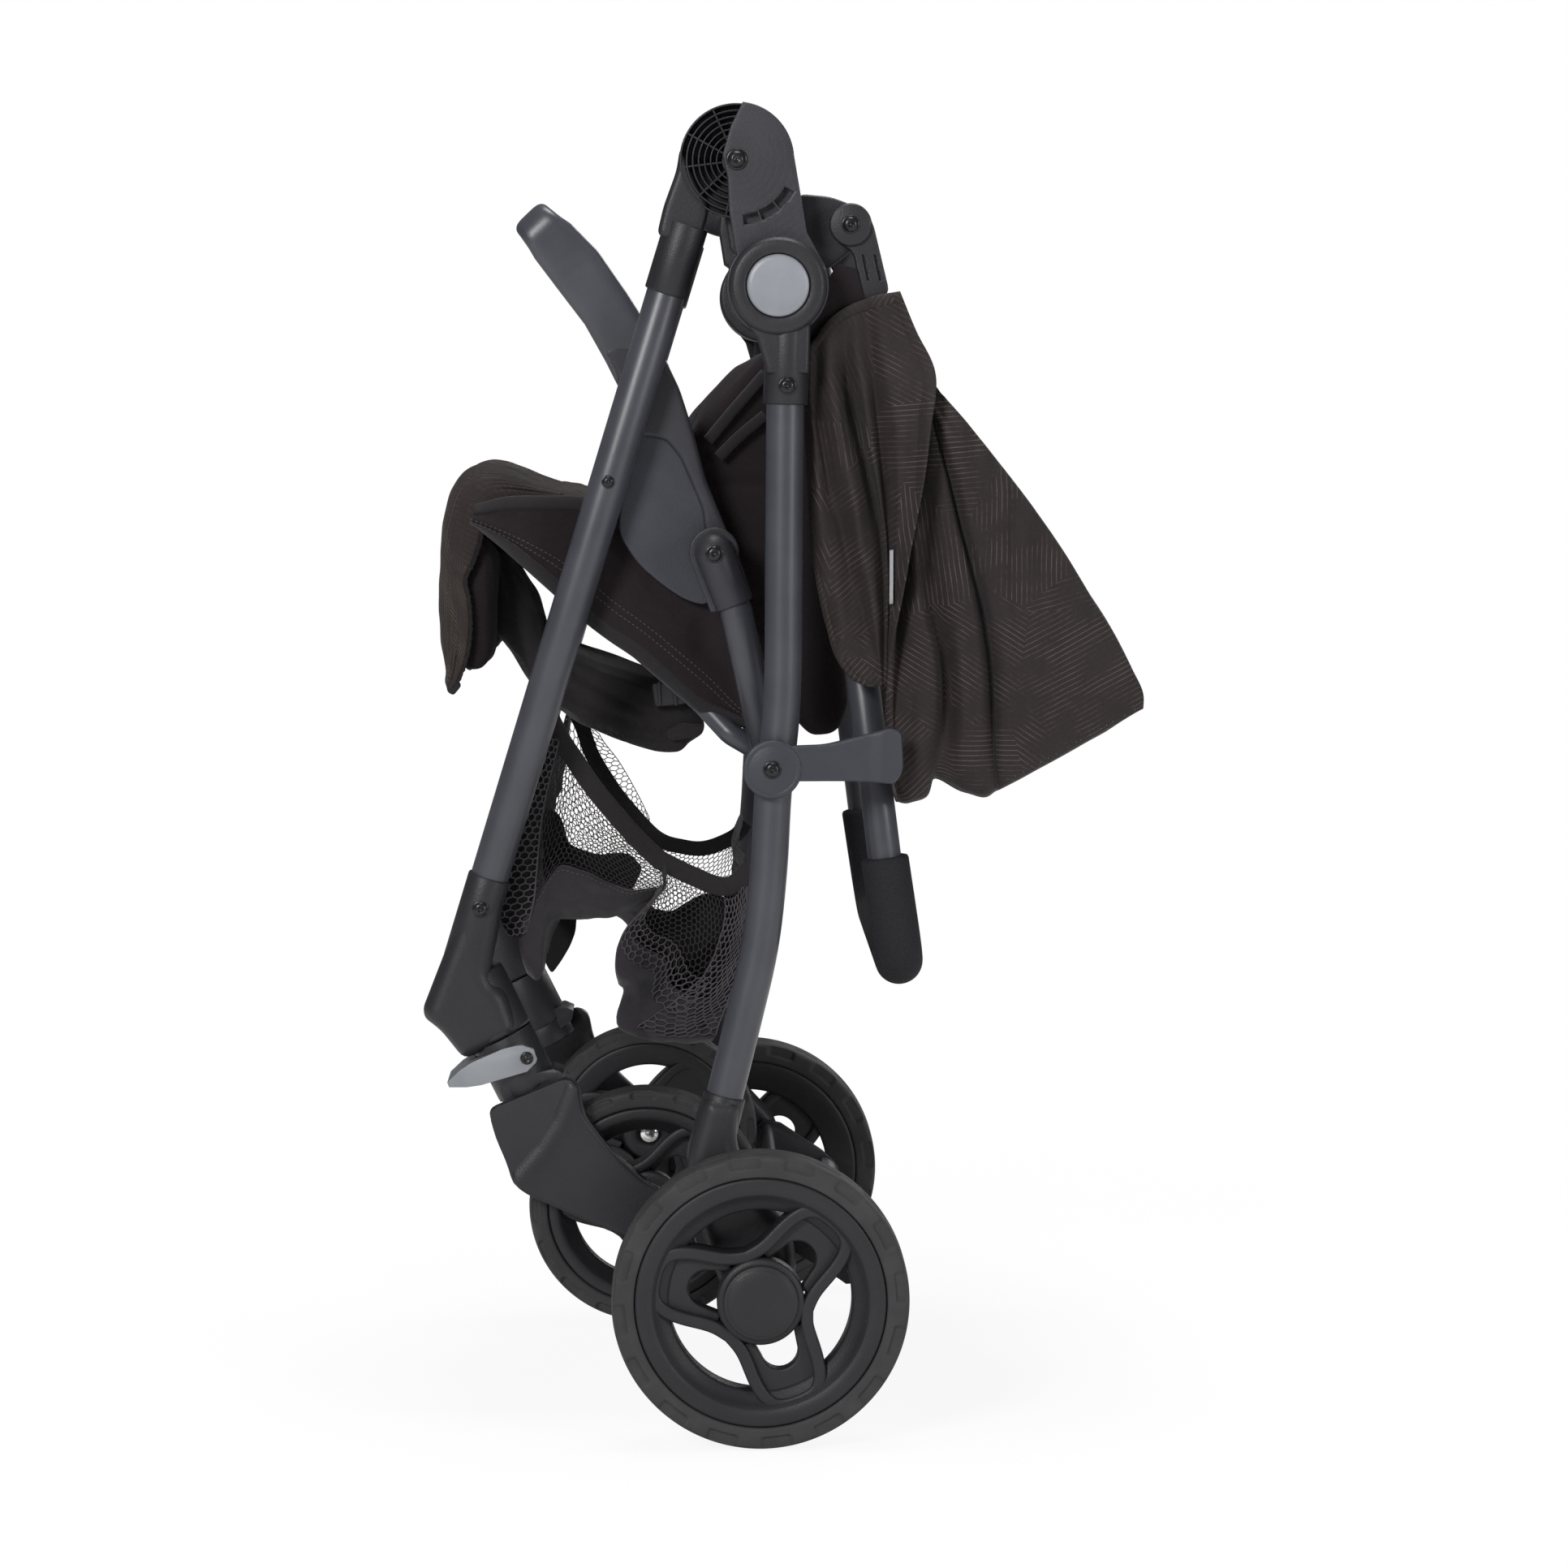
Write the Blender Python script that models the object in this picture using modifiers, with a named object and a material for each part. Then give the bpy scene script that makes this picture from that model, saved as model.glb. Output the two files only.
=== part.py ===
# Compact stroller, folded and standing on its rear wheels. Metres, +Z up, forward is -X, left is -Y.
# The side view (X, Z) holds the linkage, and every paired piece is made at the left and mirrored to the right.
import bpy
import bmesh
from math import pi, sin, cos, radians, hypot, atan2, ceil
from mathutils import Matrix, Vector

MM = 0.001
GAP = 0.3 * MM


def at(x, z):
    """A place in the side view, given in millimetres."""
    return Vector((x, z)) * MM


# Wheels
WHEEL_SIDES = 28
REAR_RADIUS = 100 * MM
REAR_TYRE_DEPTH = 16 * MM
REAR_WIDTH = 36 * MM
FRONT_RADIUS = 81 * MM
FRONT_TYRE_DEPTH = 13 * MM
FRONT_WIDTH = 30 * MM
HUB_CAP_RADIUS = 25 * MM
AXLE_RADIUS = 6 * MM
RUNNING = 0.4 * MM

# Pivots of the fold, side view
FOLD_PIVOT = at(-31, 855)
REAR_PIVOT = at(-4, 772)
SEAT_PIVOT = at(-8, 452)
LINK_PIVOT = at(-95, 712)
CANOPY_PIVOT = at(45, 813)
REAR_AXLE = Vector((-16.5 * MM, REAR_RADIUS * cos(pi / WHEEL_SIDES)))
LOCK_PIVOT = at(-174, 250)
BRAKE_PIVOT = at(-3, 137)
CALF_PIVOT = at(-201, 620)

# Half widths, measured from the middle plane
REAR_WHEEL_Y = 256 * MM
FRONT_WHEEL_Y = 150 * MM
REAR_LEG_Y = 218 * MM
FRONT_LEG_TOP_Y = 192 * MM
FRONT_LEG_LOW_Y = 160 * MM
HANDLE_Y = 175 * MM
SEAT_TUBE_Y = 188 * MM
BASE_TUBE_Y = 150 * MM
CALF_WIDTH = 264 * MM
BACKREST_WIDTH = 292 * MM
SLING_WIDTH = 166 * MM
BASKET_WIDTH = 268 * MM
BOW_SPREAD = 10.9 * MM
FRONT_RIM_SAG = 68 * MM
HOUSING_IN_Y = 163 * MM
SLOT_IN_Y = 190 * MM
BRACKET_Y = 189.2 * MM
SLOT_OUT_Y = 206 * MM
COVER_OUT_Y = 221 * MM
DISC_OUT_Y = 236 * MM

# Tubes
REAR_TUBE = 12.5 * MM
FRONT_TUBE = 13 * MM
FRONT_SLEEVE = FRONT_TUBE + 1.6 * MM
HANDLE_TUBE = 11.3 * MM
SEAT_TUBE = 11 * MM
BASE_TUBE = 7.5 * MM
CROSS_TUBE = 8 * MM
AXLE_TUBE = 6.5 * MM
WALL = 2.2 * MM

# The folded front tyre rests just clear of the rear axle tube
TYRE_CLEARANCE = 1.145 * MM
FRONT_AXLE = REAR_AXLE + at(-76, 45.6288).normalized() * (FRONT_RADIUS + AXLE_TUBE + TYRE_CLEARANCE)

# Hinge parts
HEAD_RADIUS = 38 * MM
LUG_RADIUS = 34 * MM
DISC_RADIUS = 32.5 * MM
REFLECTOR_RADIUS = 20.7 * MM
PIN_RADIUS = 5 * MM
BOSS_RADIUS = 9 * MM
SWIVEL_RADIUS = 22.5 * MM
HEAD_BARREL = 21.7 * MM


def collection(name):
    made = bpy.data.collections.new(name)
    bpy.context.scene.collection.children.link(made)
    return made


for old in list(bpy.data.objects):
    bpy.data.objects.remove(old, do_unlink=True)
PARTS = collection("compact_stroller")
CUTTERS = collection("cutters")


def material(name, color, roughness, metallic=0.0):
    made = bpy.data.materials.new(name)
    made.use_nodes = True
    shader = made.node_tree.nodes["Principled BSDF"]
    shader.inputs["Base Color"].default_value = (*color, 1)
    shader.inputs["Roughness"].default_value = roughness
    shader.inputs["Metallic"].default_value = metallic
    made.diffuse_color = (*color, 1)
    return made


TUBE_PAINT = material("tube_paint", (0.045, 0.046, 0.055), 0.45, 0.3)
PLASTIC = material("frame_plastic", (0.028, 0.028, 0.032), 0.5)
RIM_PLASTIC = material("rim_plastic", (0.03, 0.03, 0.034), 0.5)
TYRE_RUBBER = material("tyre_rubber", (0.02, 0.019, 0.018), 0.8)
LEVER_GREY = material("lever_grey", (0.21, 0.22, 0.24), 0.45, 0.4)
CAP_GREY = material("reflector_grey", (0.3, 0.32, 0.35), 0.4)
CHROME = material("chrome", (0.7, 0.7, 0.7), 0.12, 1.0)
FOAM = material("grip_foam", (0.015, 0.015, 0.017), 0.9)
SIDE_GREY = material("side_grey", (0.06, 0.065, 0.08), 0.5)
FABRIC = material("seat_fabric", (0.02, 0.016, 0.017), 0.85)
CANOPY_FABRIC = material("canopy_fabric", (0.025, 0.019, 0.017), 0.75)
NET = material("basket_net", (0.015, 0.014, 0.014), 0.85)


# Modelling helpers
def link(obj, group=PARTS):
    group.objects.link(obj)
    return obj


def plain(obj, weld=False):
    """The object as it is evaluated, as one clean mesh at the world's origin."""
    bpy.context.view_layer.update()
    mesh = bpy.data.meshes.new_from_object(obj.evaluated_get(bpy.context.evaluated_depsgraph_get()))
    mesh.transform(obj.matrix_world)
    work = bmesh.new()
    work.from_mesh(mesh)
    if obj.type == "CURVE" or weld:
        bmesh.ops.remove_doubles(work, verts=work.verts, dist=0.002 * MM)
    bmesh.ops.recalc_face_normals(work, faces=work.faces)
    if work.calc_volume(signed=True) < 0:
        bmesh.ops.reverse_faces(work, faces=work.faces)
    work.to_mesh(mesh)
    work.free()
    made = link(bpy.data.objects.new(obj.name, mesh))
    bpy.data.objects.remove(obj, do_unlink=True)
    return made


def helper(obj):
    """Moves the object to the cutters, out of sight."""
    for group in list(obj.users_collection):
        group.objects.unlink(obj)
    CUTTERS.objects.link(obj)
    obj.hide_render = True
    obj.display_type = "WIRE"
    return obj


def boolean(obj, others, operation, solver):
    for other in others:
        step = obj.modifiers.new(operation.lower(), "BOOLEAN")
        step.operation = operation
        step.solver = solver
        step.object = helper(other)
    return plain(obj)


def joined(obj, *others, solver="EXACT"):
    return boolean(obj, others, "UNION", solver)


def cut(obj, *others, solver="EXACT"):
    return boolean(obj, others, "DIFFERENCE", solver)


def finish(obj, name, paint, pivot=None, angle=35):
    """Names and shades the object and puts its origin on its joint's axis."""
    obj.name = name
    obj.data.name = name
    obj.data.materials.clear()
    obj.data.materials.append(paint)
    obj.data.shade_smooth()
    obj.data.set_sharp_from_angle(angle=radians(angle))
    if pivot is not None:
        place = Vector((pivot.x, 0, pivot.y))
        obj.data.transform(Matrix.Translation(-place))
        obj.location = place
    return obj


def pair(obj, name, paint, pivot=None):
    """The left piece and its mirror image at the right."""
    mesh = obj.data.copy()
    mesh.transform(Matrix.Scale(-1, 4, (0, 1, 0)))
    mesh.flip_normals()
    right = link(bpy.data.objects.new("copy", mesh))
    return finish(obj, name + "_left", paint, pivot), finish(right, name + "_right", paint, pivot)


def lift(points, y):
    return [Vector((p.x, y, p.y)) for p in points]


def tube(path, radius, sides=4):
    """A round tube on a POLY path of 3-D points."""
    curve = bpy.data.curves.new("tube", "CURVE")
    curve.dimensions = "3D"
    curve.bevel_depth = radius
    curve.bevel_resolution = sides
    curve.use_fill_caps = True
    line = curve.splines.new("POLY")
    line.points.add(len(path) - 1)
    for point, place in zip(line.points, path):
        point.co = (*place, 1)
    return plain(link(bpy.data.objects.new("tube", curve)))


def smooth(points, steps=4):
    """A Catmull-Rom curve through the points."""
    ends = [2 * points[0] - points[1]] + list(points) + [2 * points[-1] - points[-2]]
    out = []
    for a, b, c, d in zip(ends, ends[1:], ends[2:], ends[3:]):
        for i in range(steps):
            t = i / steps
            out.append(
                0.5 * (2 * b + (c - a) * t + (2 * a - 5 * b + 4 * c - d) * t * t + (3 * b - a - 3 * c + d) * t ** 3)
            )
    return out + [points[-1].copy()]


def rounded(points, radius, steps=4):
    """A polyline whose inner corners are arcs of about this radius."""
    out = [points[0].copy()]
    for before, here, after in zip(points, points[1:], points[2:]):
        back, ahead = (before - here).normalized(), (after - here).normalized()
        turn = pi - back.angle(ahead)
        reach = min(radius * abs(sin(turn / 2) / max(cos(turn / 2), 1e-6)), (before - here).length * 0.49,
                    (after - here).length * 0.49)
        start, end = here + back * reach, here + ahead * reach
        for i in range(steps + 1):
            t = i / steps
            out.append((1 - t) ** 2 * start + 2 * t * (1 - t) * here + t * t * end)
    return out + [points[-1].copy()]


def arc(centre, radius, start, end, steps=8):
    """Points on an arc in the side view, in degrees from +X towards +Z."""
    return [
        centre + radius * Vector((cos(radians(a)), sin(radians(a))))
        for a in (start + (end - start) * i / steps for i in range(steps + 1))
    ]


def soft_outline(corners, radius):
    """A closed outline with each corner rounded, or cut straight where it is small."""
    steps = 2 if radius > 6 * MM else 1
    out = []
    for i, here in enumerate(corners):
        before, after = corners[i - 1], corners[(i + 1) % len(corners)]
        back, ahead = (before - here), (after - here)
        reach = min(radius, back.length * 0.45, ahead.length * 0.45)
        start, end = here + back.normalized() * reach, here + ahead.normalized() * reach
        out += [(1 - t) ** 2 * start + 2 * t * (1 - t) * here + t * t * end
                for t in (j / steps for j in range(steps + 1))]
    return out


def plate(outline, near, far, bevel=0.0, segments=1):
    """A flat piece between two half widths on the left side, from its outline in the side view."""
    curve = bpy.data.curves.new("plate", "CURVE")
    curve.dimensions = "2D"
    curve.fill_mode = "BOTH"
    curve.extrude = abs(far - near) / 2
    line = curve.splines.new("POLY")
    line.points.add(len(outline) - 1)
    for point, place in zip(line.points, outline):
        point.co = (place.x, place.y, 0, 1)
    line.use_cyclic_u = True
    obj = link(bpy.data.objects.new("plate", curve))
    obj.rotation_euler = (pi / 2, 0, 0)
    obj.location = (0, -(near + far) / 2, 0)
    obj = plain(obj)
    if bevel:
        edge = obj.modifiers.new("bevel", "BEVEL")
        edge.width = bevel
        edge.segments = segments
        edge.limit_method = "ANGLE"
        edge.angle_limit = radians(50)
        obj = plain(obj)
    return obj


def turned(profile, centre, steps=24, phase=0.0):
    """A ring or disc about an axis along Y: the profile holds (radius, half width) on the left side."""
    mesh = bpy.data.meshes.new("turned")
    closed = all(r > 1e-6 for r, _ in (profile[0], profile[-1]))
    count = len(profile)
    edges = [(i, i + 1) for i in range(count - 1)] + ([(count - 1, 0)] if closed else [])
    mesh.from_pydata([(r * cos(phase), r * sin(phase), y) for r, y in profile], edges, [])
    obj = link(bpy.data.objects.new("turned", mesh))
    spin = obj.modifiers.new("spin", "SCREW")
    spin.steps = spin.render_steps = steps
    spin.use_merge_vertices = True
    spin.merge_threshold = 0.01 * MM
    obj.rotation_euler = (pi / 2, 0, 0)
    obj.location = (centre.x, 0, centre.y)
    return plain(obj)


def disc(centre, radius, near, far, steps=32, chamfer=0.0):
    c = chamfer
    return turned([(0, near), (radius - c, near), (radius, near + c), (radius, far - c), (radius - c, far), (0, far)]
                  if c else [(0, near), (radius, near), (radius, far), (0, far)], centre, steps)


def rod(start, end, radius, sides=24):
    """A cylinder between two 3-D points."""
    length = (end - start).length
    mesh = bpy.data.meshes.new("rod")
    work = bmesh.new()
    bmesh.ops.create_cone(work, cap_ends=True, segments=sides, radius1=radius, radius2=radius, depth=length)
    work.to_mesh(mesh)
    work.free()
    obj = link(bpy.data.objects.new("rod", mesh))
    obj.rotation_euler = (end - start).to_track_quat("Z", "Y").to_euler()
    obj.location = (start + end) / 2
    return plain(obj)


def box(low, high):
    mesh = bpy.data.meshes.new("box")
    work = bmesh.new()
    bmesh.ops.create_cube(work, size=1)
    work.to_mesh(mesh)
    work.free()
    low, high = Vector(low), Vector(high)
    mesh.transform(Matrix.Translation((low + high) / 2) @ Matrix.Diagonal((*(high - low), 1)))
    return link(bpy.data.objects.new("box", mesh))


def along(start, end, share):
    return start + (end - start) * share


def flat(p):
    return Vector((p.x, p.z))


# Lines that several pieces share
REAR_LEG_TOP = Vector((0, -56 * MM)) + REAR_PIVOT + Vector((6 * MM, 0))
REAR_LEG_LINE = [
    REAR_LEG_TOP,
    REAR_PIVOT + at(5, -82),
    REAR_PIVOT + at(4, -187),
    SEAT_PIVOT + at(7, 47),
    SEAT_PIVOT + at(1, -17),
    SEAT_PIVOT + at(-2, -69),
    SEAT_PIVOT + at(-8, -121),
    SEAT_PIVOT + at(-20, -174),
    REAR_AXLE + at(-26, 120),
]
FRONT_LEG_HIGH = Vector((-73 * MM, -FRONT_LEG_TOP_Y, 784 * MM))
FRONT_LEG_LOW = Vector((-216 * MM, -FRONT_LEG_LOW_Y, 318 * MM))
HANDLE_HIGH = Vector((20 * MM, -HANDLE_Y, 780 * MM))
HANDLE_LOW = Vector((69.5 * MM, -HANDLE_Y, 389 * MM))
GRIP_END = Vector((81 * MM, -HANDLE_Y, 312 * MM))
SWIVEL_HIGH = Vector((-192 * MM, -FRONT_WHEEL_Y - 2 * MM, 262 * MM))
SWIVEL_LOW = Vector((-170 * MM, -FRONT_WHEEL_Y - 2 * MM, 218 * MM))
SWIVEL_DIRECTION = (SWIVEL_LOW - SWIVEL_HIGH).normalized()


def clover(inner, outer, width, lobes=(48, 167.5, 290), samples=30):
    """Outline pair of a looped three-spoke: its outer edge and the same edge drawn in by the band's width."""
    def radius(angle):
        near = min(abs((angle - lobe + 180) % 360 - 180) for lobe in lobes)
        return inner + (outer - inner) / (1 + (near / 25) ** 4)

    edge = [Vector((cos(radians(a)), sin(radians(a)))) * radius(a) for a in
            (360 * i / samples for i in range(samples))]
    drawn = []
    for i, here in enumerate(edge):
        tangent = (edge[(i + 1) % samples] - edge[i - 1]).normalized()
        drawn.append(here + Vector((-tangent.y, tangent.x)) * width)
    return edge, drawn


def wheel(name, centre, middle, radius, depth, width, hub_pin, ring_depth):
    """Rim with looped spokes, and its tyre, for the left side."""
    half = width / 2
    seat = radius - depth
    phase = pi / 2 + pi / WHEEL_SIDES
    inner, outer = middle - half, middle + half
    rim_in, rim_out = inner + 2 * MM, outer - 1.5 * MM
    lip = 2.5 * MM
    ring = turned([
        (seat, rim_in), (seat, rim_out), (seat - ring_depth * 0.5, rim_out - 1.5 * MM),
        (seat - ring_depth, rim_out - 9 * MM), (seat - ring_depth, rim_in + 6 * MM),
    ], centre, WHEEL_SIDES, phase)
    edge, drawn = clover(HUB_CAP_RADIUS * 1.12, seat - lip - 4 * MM, 6.5 * MM)
    if radius < REAR_RADIUS:
        edge, drawn = clover(HUB_CAP_RADIUS * 0.85, seat - lip - 4 * MM, 5.5 * MM)
    band_in, band_out = rim_in + 8 * MM, rim_out - 4.4 * MM
    band = plate([centre + p for p in edge], band_in, band_out)
    hole = plate([centre + p for p in drawn], inner - 5 * MM, outer + 5 * MM)
    hub_radius = HUB_CAP_RADIUS - 0.5 * MM if radius == REAR_RADIUS else HUB_CAP_RADIUS * 0.8
    hub = disc(centre, hub_radius, rim_in, rim_out - 3 * MM, 16)
    bore = disc(centre, hub_pin + RUNNING, inner - 5 * MM, outer - 12 * MM if radius == REAR_RADIUS else outer + 5 * MM, 16)
    spokes = cut(joined(cut(band, hole), hub), bore)
    rim = joined(ring, spokes, solver="MANIFOLD")
    tyre = turned([
        (seat + GAP, inner + 2 * MM), (seat + GAP, outer - 1.5 * MM), (radius - 5 * MM, outer),
        (radius, outer - 9 * MM), (radius, inner + 9 * MM), (radius - 5 * MM, inner),
    ], centre, WHEEL_SIDES, phase)
    pair(rim, name + "_rim", RIM_PLASTIC, centre)
    pair(tyre, name + "_tyre", TYRE_RUBBER, centre)
    return rim_out


def rear_wheels():
    rim_out = wheel("rear", REAR_AXLE, REAR_WHEEL_Y, REAR_RADIUS, REAR_TYRE_DEPTH, REAR_WIDTH, AXLE_RADIUS, 23 * MM)
    face = rim_out - 3 * MM + GAP
    r = HUB_CAP_RADIUS
    cap = turned([(0, face), (r - 1 * MM, face), (r, face + 1 * MM), (r, face + 3 * MM),
                  (r - 3 * MM, face + 4.4 * MM), (0, face + 4.4 * MM)], REAR_AXLE, 16)
    pair(cap, "rear_hub_cap", RIM_PLASTIC, REAR_AXLE)


def front_wheels():
    wheel("front", FRONT_AXLE, FRONT_WHEEL_Y, FRONT_RADIUS, FRONT_TYRE_DEPTH, FRONT_WIDTH, 4 * MM, 17 * MM)


def rear_legs():
    leg = tube(lift(REAR_LEG_LINE, -REAR_LEG_Y), REAR_TUBE, 4)
    pair(leg, "rear_leg", TUBE_PAINT)


def rear_leg_heads():
    """The disc over the hinge, its pin, and the socket that takes the leg's top."""
    dish = 3.2 * MM
    face = COVER_OUT_Y + GAP
    cup = REFLECTOR_RADIUS + GAP
    body = turned([
        (0, SLOT_OUT_Y + 1 * MM), (BOSS_RADIUS, SLOT_OUT_Y + 1 * MM), (BOSS_RADIUS, face), (DISC_RADIUS, face),
        (DISC_RADIUS, DISC_OUT_Y - 4 * MM), (DISC_RADIUS - 3 * MM, DISC_OUT_Y), (cup, DISC_OUT_Y),
        (cup, DISC_OUT_Y - dish), (0, DISC_OUT_Y - dish),
    ], REAR_PIVOT, 24)
    socket_top = REAR_PIVOT.y - LUG_RADIUS - 1.5 * MM
    socket = REAR_TUBE + WALL + GAP
    low, high = REAR_LEG_LINE[1], REAR_LEG_TOP
    lean = (high.x - low.x) / (high.y - low.y)
    mid = low.x + lean * (socket_top - low.y)
    start = Vector((low.x, -REAR_LEG_Y, low.y + 4 * MM))
    end = Vector((mid, -REAR_LEG_Y, socket_top))
    sleeve = rod(start, end, socket, 16)
    neck = plate([Vector((mid - socket * 0.92, socket_top - 20 * MM)), Vector((mid + socket * 0.92, socket_top - 20 * MM)),
                  Vector((REAR_PIVOT.x + DISC_RADIUS * 0.62, REAR_PIVOT.y - DISC_RADIUS * 0.7)),
                  Vector((REAR_PIVOT.x - DISC_RADIUS * 0.62, REAR_PIVOT.y - DISC_RADIUS * 0.7))],
                 face, REAR_LEG_Y + socket - 1.5 * MM)
    bore_end = Vector((REAR_LEG_TOP.x, -REAR_LEG_Y, REAR_LEG_TOP.y + GAP))
    bore = rod(start - Vector((0, 0, 10 * MM)) - Vector((lean * 10 * MM, 0, 0)), bore_end, REAR_TUBE + GAP, 16)
    head = cut(joined(body, sleeve, neck), bore)
    pair(head, "rear_leg_head", PLASTIC)
    cap_in = DISC_OUT_Y - dish + GAP
    r = REFLECTOR_RADIUS
    cap = turned([(0, cap_in), (r, cap_in), (r, cap_in + 1.6 * MM), (r - 1.5 * MM, cap_in + 2.8 * MM),
                  (0, cap_in + 3.4 * MM)], REAR_PIVOT, 24)
    pair(cap, "reflector_cap", CAP_GREY)


def hinge_outline(grow=0.0, fill=0.0):
    """Side view of the hinge cover: a round top over the fold pivot, drawn to the lug below."""
    p, q = FOLD_PIVOT, REAR_PIVOT
    top = arc(p, HEAD_RADIUS, 84, 4, 5)
    lug = arc(q, LUG_RADIUS, 32, -218, 12)
    left = [p + at(-6, -12), p + at(-9.5, 3), p + at(-4, 22)]
    out = top + [q + at(19.5, 35)] + lug + [q + at(-28, 24) - Vector((fill, 0)), p + at(-5, -34) - Vector((fill, 0))] + left
    if grow:
        middle = sum(out, Vector((0, 0))) / len(out)
        out = [v + (v - middle).normalized() * grow for v in out]
    return out


def hinge_housings():
    """The inner body with the handle's socket and canopy bracket, the outer cover with its arc slot, and the pin."""
    p, q = FOLD_PIVOT, REAR_PIVOT
    inner = plate(hinge_outline(fill=3 * MM), HOUSING_IN_Y, SLOT_IN_Y)
    lug = disc(q, LUG_RADIUS - 0.7 * MM, SLOT_IN_Y - 3 * MM, SLOT_OUT_Y - GAP, 24)
    bracket_corners = [q + at(14, 62), q + at(36, 60), CANOPY_PIVOT + at(3, 13), CANOPY_PIVOT + at(13.5, 2),
                       CANOPY_PIVOT + at(6, -13), q + at(38, 14), q + at(20, 4)]
    bracket = plate(soft_outline(bracket_corners, 6 * MM), SLOT_IN_Y - 12 * MM, BRACKET_Y)
    direction = (HANDLE_LOW - HANDLE_HIGH).normalized()
    socket = rod(HANDLE_HIGH - direction * 12 * MM, HANDLE_HIGH + direction * 62 * MM, HANDLE_TUBE + WALL, 16)
    bore = rod(HANDLE_HIGH, HANDLE_HIGH + direction * 80 * MM, HANDLE_TUBE + GAP, 16)
    pin_hole = disc(p, PIN_RADIUS + GAP, HOUSING_IN_Y - 5 * MM, COVER_OUT_Y + 5 * MM, 16)
    boss_hole = disc(q, BOSS_RADIUS + RUNNING, SLOT_OUT_Y - 10 * MM, COVER_OUT_Y + 5 * MM, 20)
    body = cut(joined(inner, lug, bracket, socket), bore, pin_hole, boss_hole)
    pair(body, "hinge_housing", PLASTIC, q)
    cover = plate(hinge_outline(), SLOT_OUT_Y, COVER_OUT_Y)
    slots = []
    middle, half = HEAD_RADIUS + 2 * MM, 2.4 * MM
    for start, end in ((-84, -68), (-66.5, -50), (-48.5, -29)):
        outline = arc(p, middle + half, start, end, 3) + arc(p, middle - half, end, start, 3)
        slots.append(plate(outline, SLOT_OUT_Y - 5 * MM, COVER_OUT_Y + 5 * MM))
    pin_hole = disc(p, PIN_RADIUS + GAP, HOUSING_IN_Y - 5 * MM, COVER_OUT_Y + 5 * MM, 16)
    boss_hole = disc(q, BOSS_RADIUS + RUNNING, SLOT_OUT_Y - 10 * MM, COVER_OUT_Y + 5 * MM, 20)
    cover = cut(cover, pin_hole, boss_hole, *slots)
    pair(cover, "hinge_cover", PLASTIC, q)
    pin = turned([(0, HOUSING_IN_Y + 2 * MM), (PIN_RADIUS, HOUSING_IN_Y + 2 * MM), (PIN_RADIUS, COVER_OUT_Y + GAP),
                  (PIN_RADIUS + 1.6 * MM, COVER_OUT_Y + GAP), (PIN_RADIUS + 1.4 * MM, COVER_OUT_Y + 1.6 * MM),
                  (PIN_RADIUS - 1 * MM, COVER_OUT_Y + 2.6 * MM), (0, COVER_OUT_Y + 2.9 * MM)], p, 12)
    pair(pin, "fold_pin", CHROME)


def front_leg_heads():
    """The ribbed disc that turns in the hinge's slot, and the collar on the leg's top."""
    p = FOLD_PIVOT
    near, floor, top = SLOT_IN_Y + GAP, SLOT_IN_Y + 7 * MM, SLOT_OUT_Y - GAP
    profile = [(0, near), (HEAD_RADIUS, near)]
    ribs = 2
    pitch = (HEAD_RADIUS - PIN_RADIUS - 5 * MM) / ribs
    rib = 1.6 * MM
    for i in range(ribs):
        outside = HEAD_RADIUS - i * pitch
        profile += [(outside, top), (outside - rib, top), (outside - rib, floor), (outside - pitch, floor)]
    profile += [(profile[-1][0], top), (0, top)]
    body = turned(profile, p, 24)
    axis = (FRONT_LEG_LOW - FRONT_LEG_HIGH).normalized()
    collar_r = FRONT_TUBE + WALL
    collar_top = FRONT_LEG_HIGH - axis * 30 * MM
    collar_low = FRONT_LEG_HIGH + axis * 27 * MM
    collar = rod(collar_top, collar_low, collar_r, 16)
    corner = flat(collar_top)
    side = Vector((-flat(axis).normalized().y, flat(axis).normalized().x))
    if side.x < 0:
        side = -side
    neck = plate(soft_outline([
        p + at(-35, 12), p + at(-30, -24), corner + side * collar_r * 0.93 + at(4, 6),
        corner + side * collar_r * 0.93 - at(5, 16), corner - side * collar_r * 0.93 - at(5, 16),
        corner - side * collar_r * 0.93 + at(4, 14)], 5 * MM), near + 0.6 * MM, top - 0.8 * MM)
    bore = rod(FRONT_LEG_HIGH - axis * GAP, FRONT_LEG_HIGH + axis * 60 * MM, FRONT_TUBE + GAP, 16)
    pin_hole = disc(p, PIN_RADIUS + RUNNING, SLOT_IN_Y - 5 * MM, SLOT_OUT_Y + 5 * MM, 16)
    head = cut(joined(body, neck, collar, solver="MANIFOLD"), bore, pin_hole, solver="MANIFOLD")
    pair(head, "front_leg_head", PLASTIC, p)


def front_legs():
    leg = rod(FRONT_LEG_HIGH, FRONT_LEG_LOW, FRONT_TUBE, 16)
    pair(leg, "front_leg", TUBE_PAINT)


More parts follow.
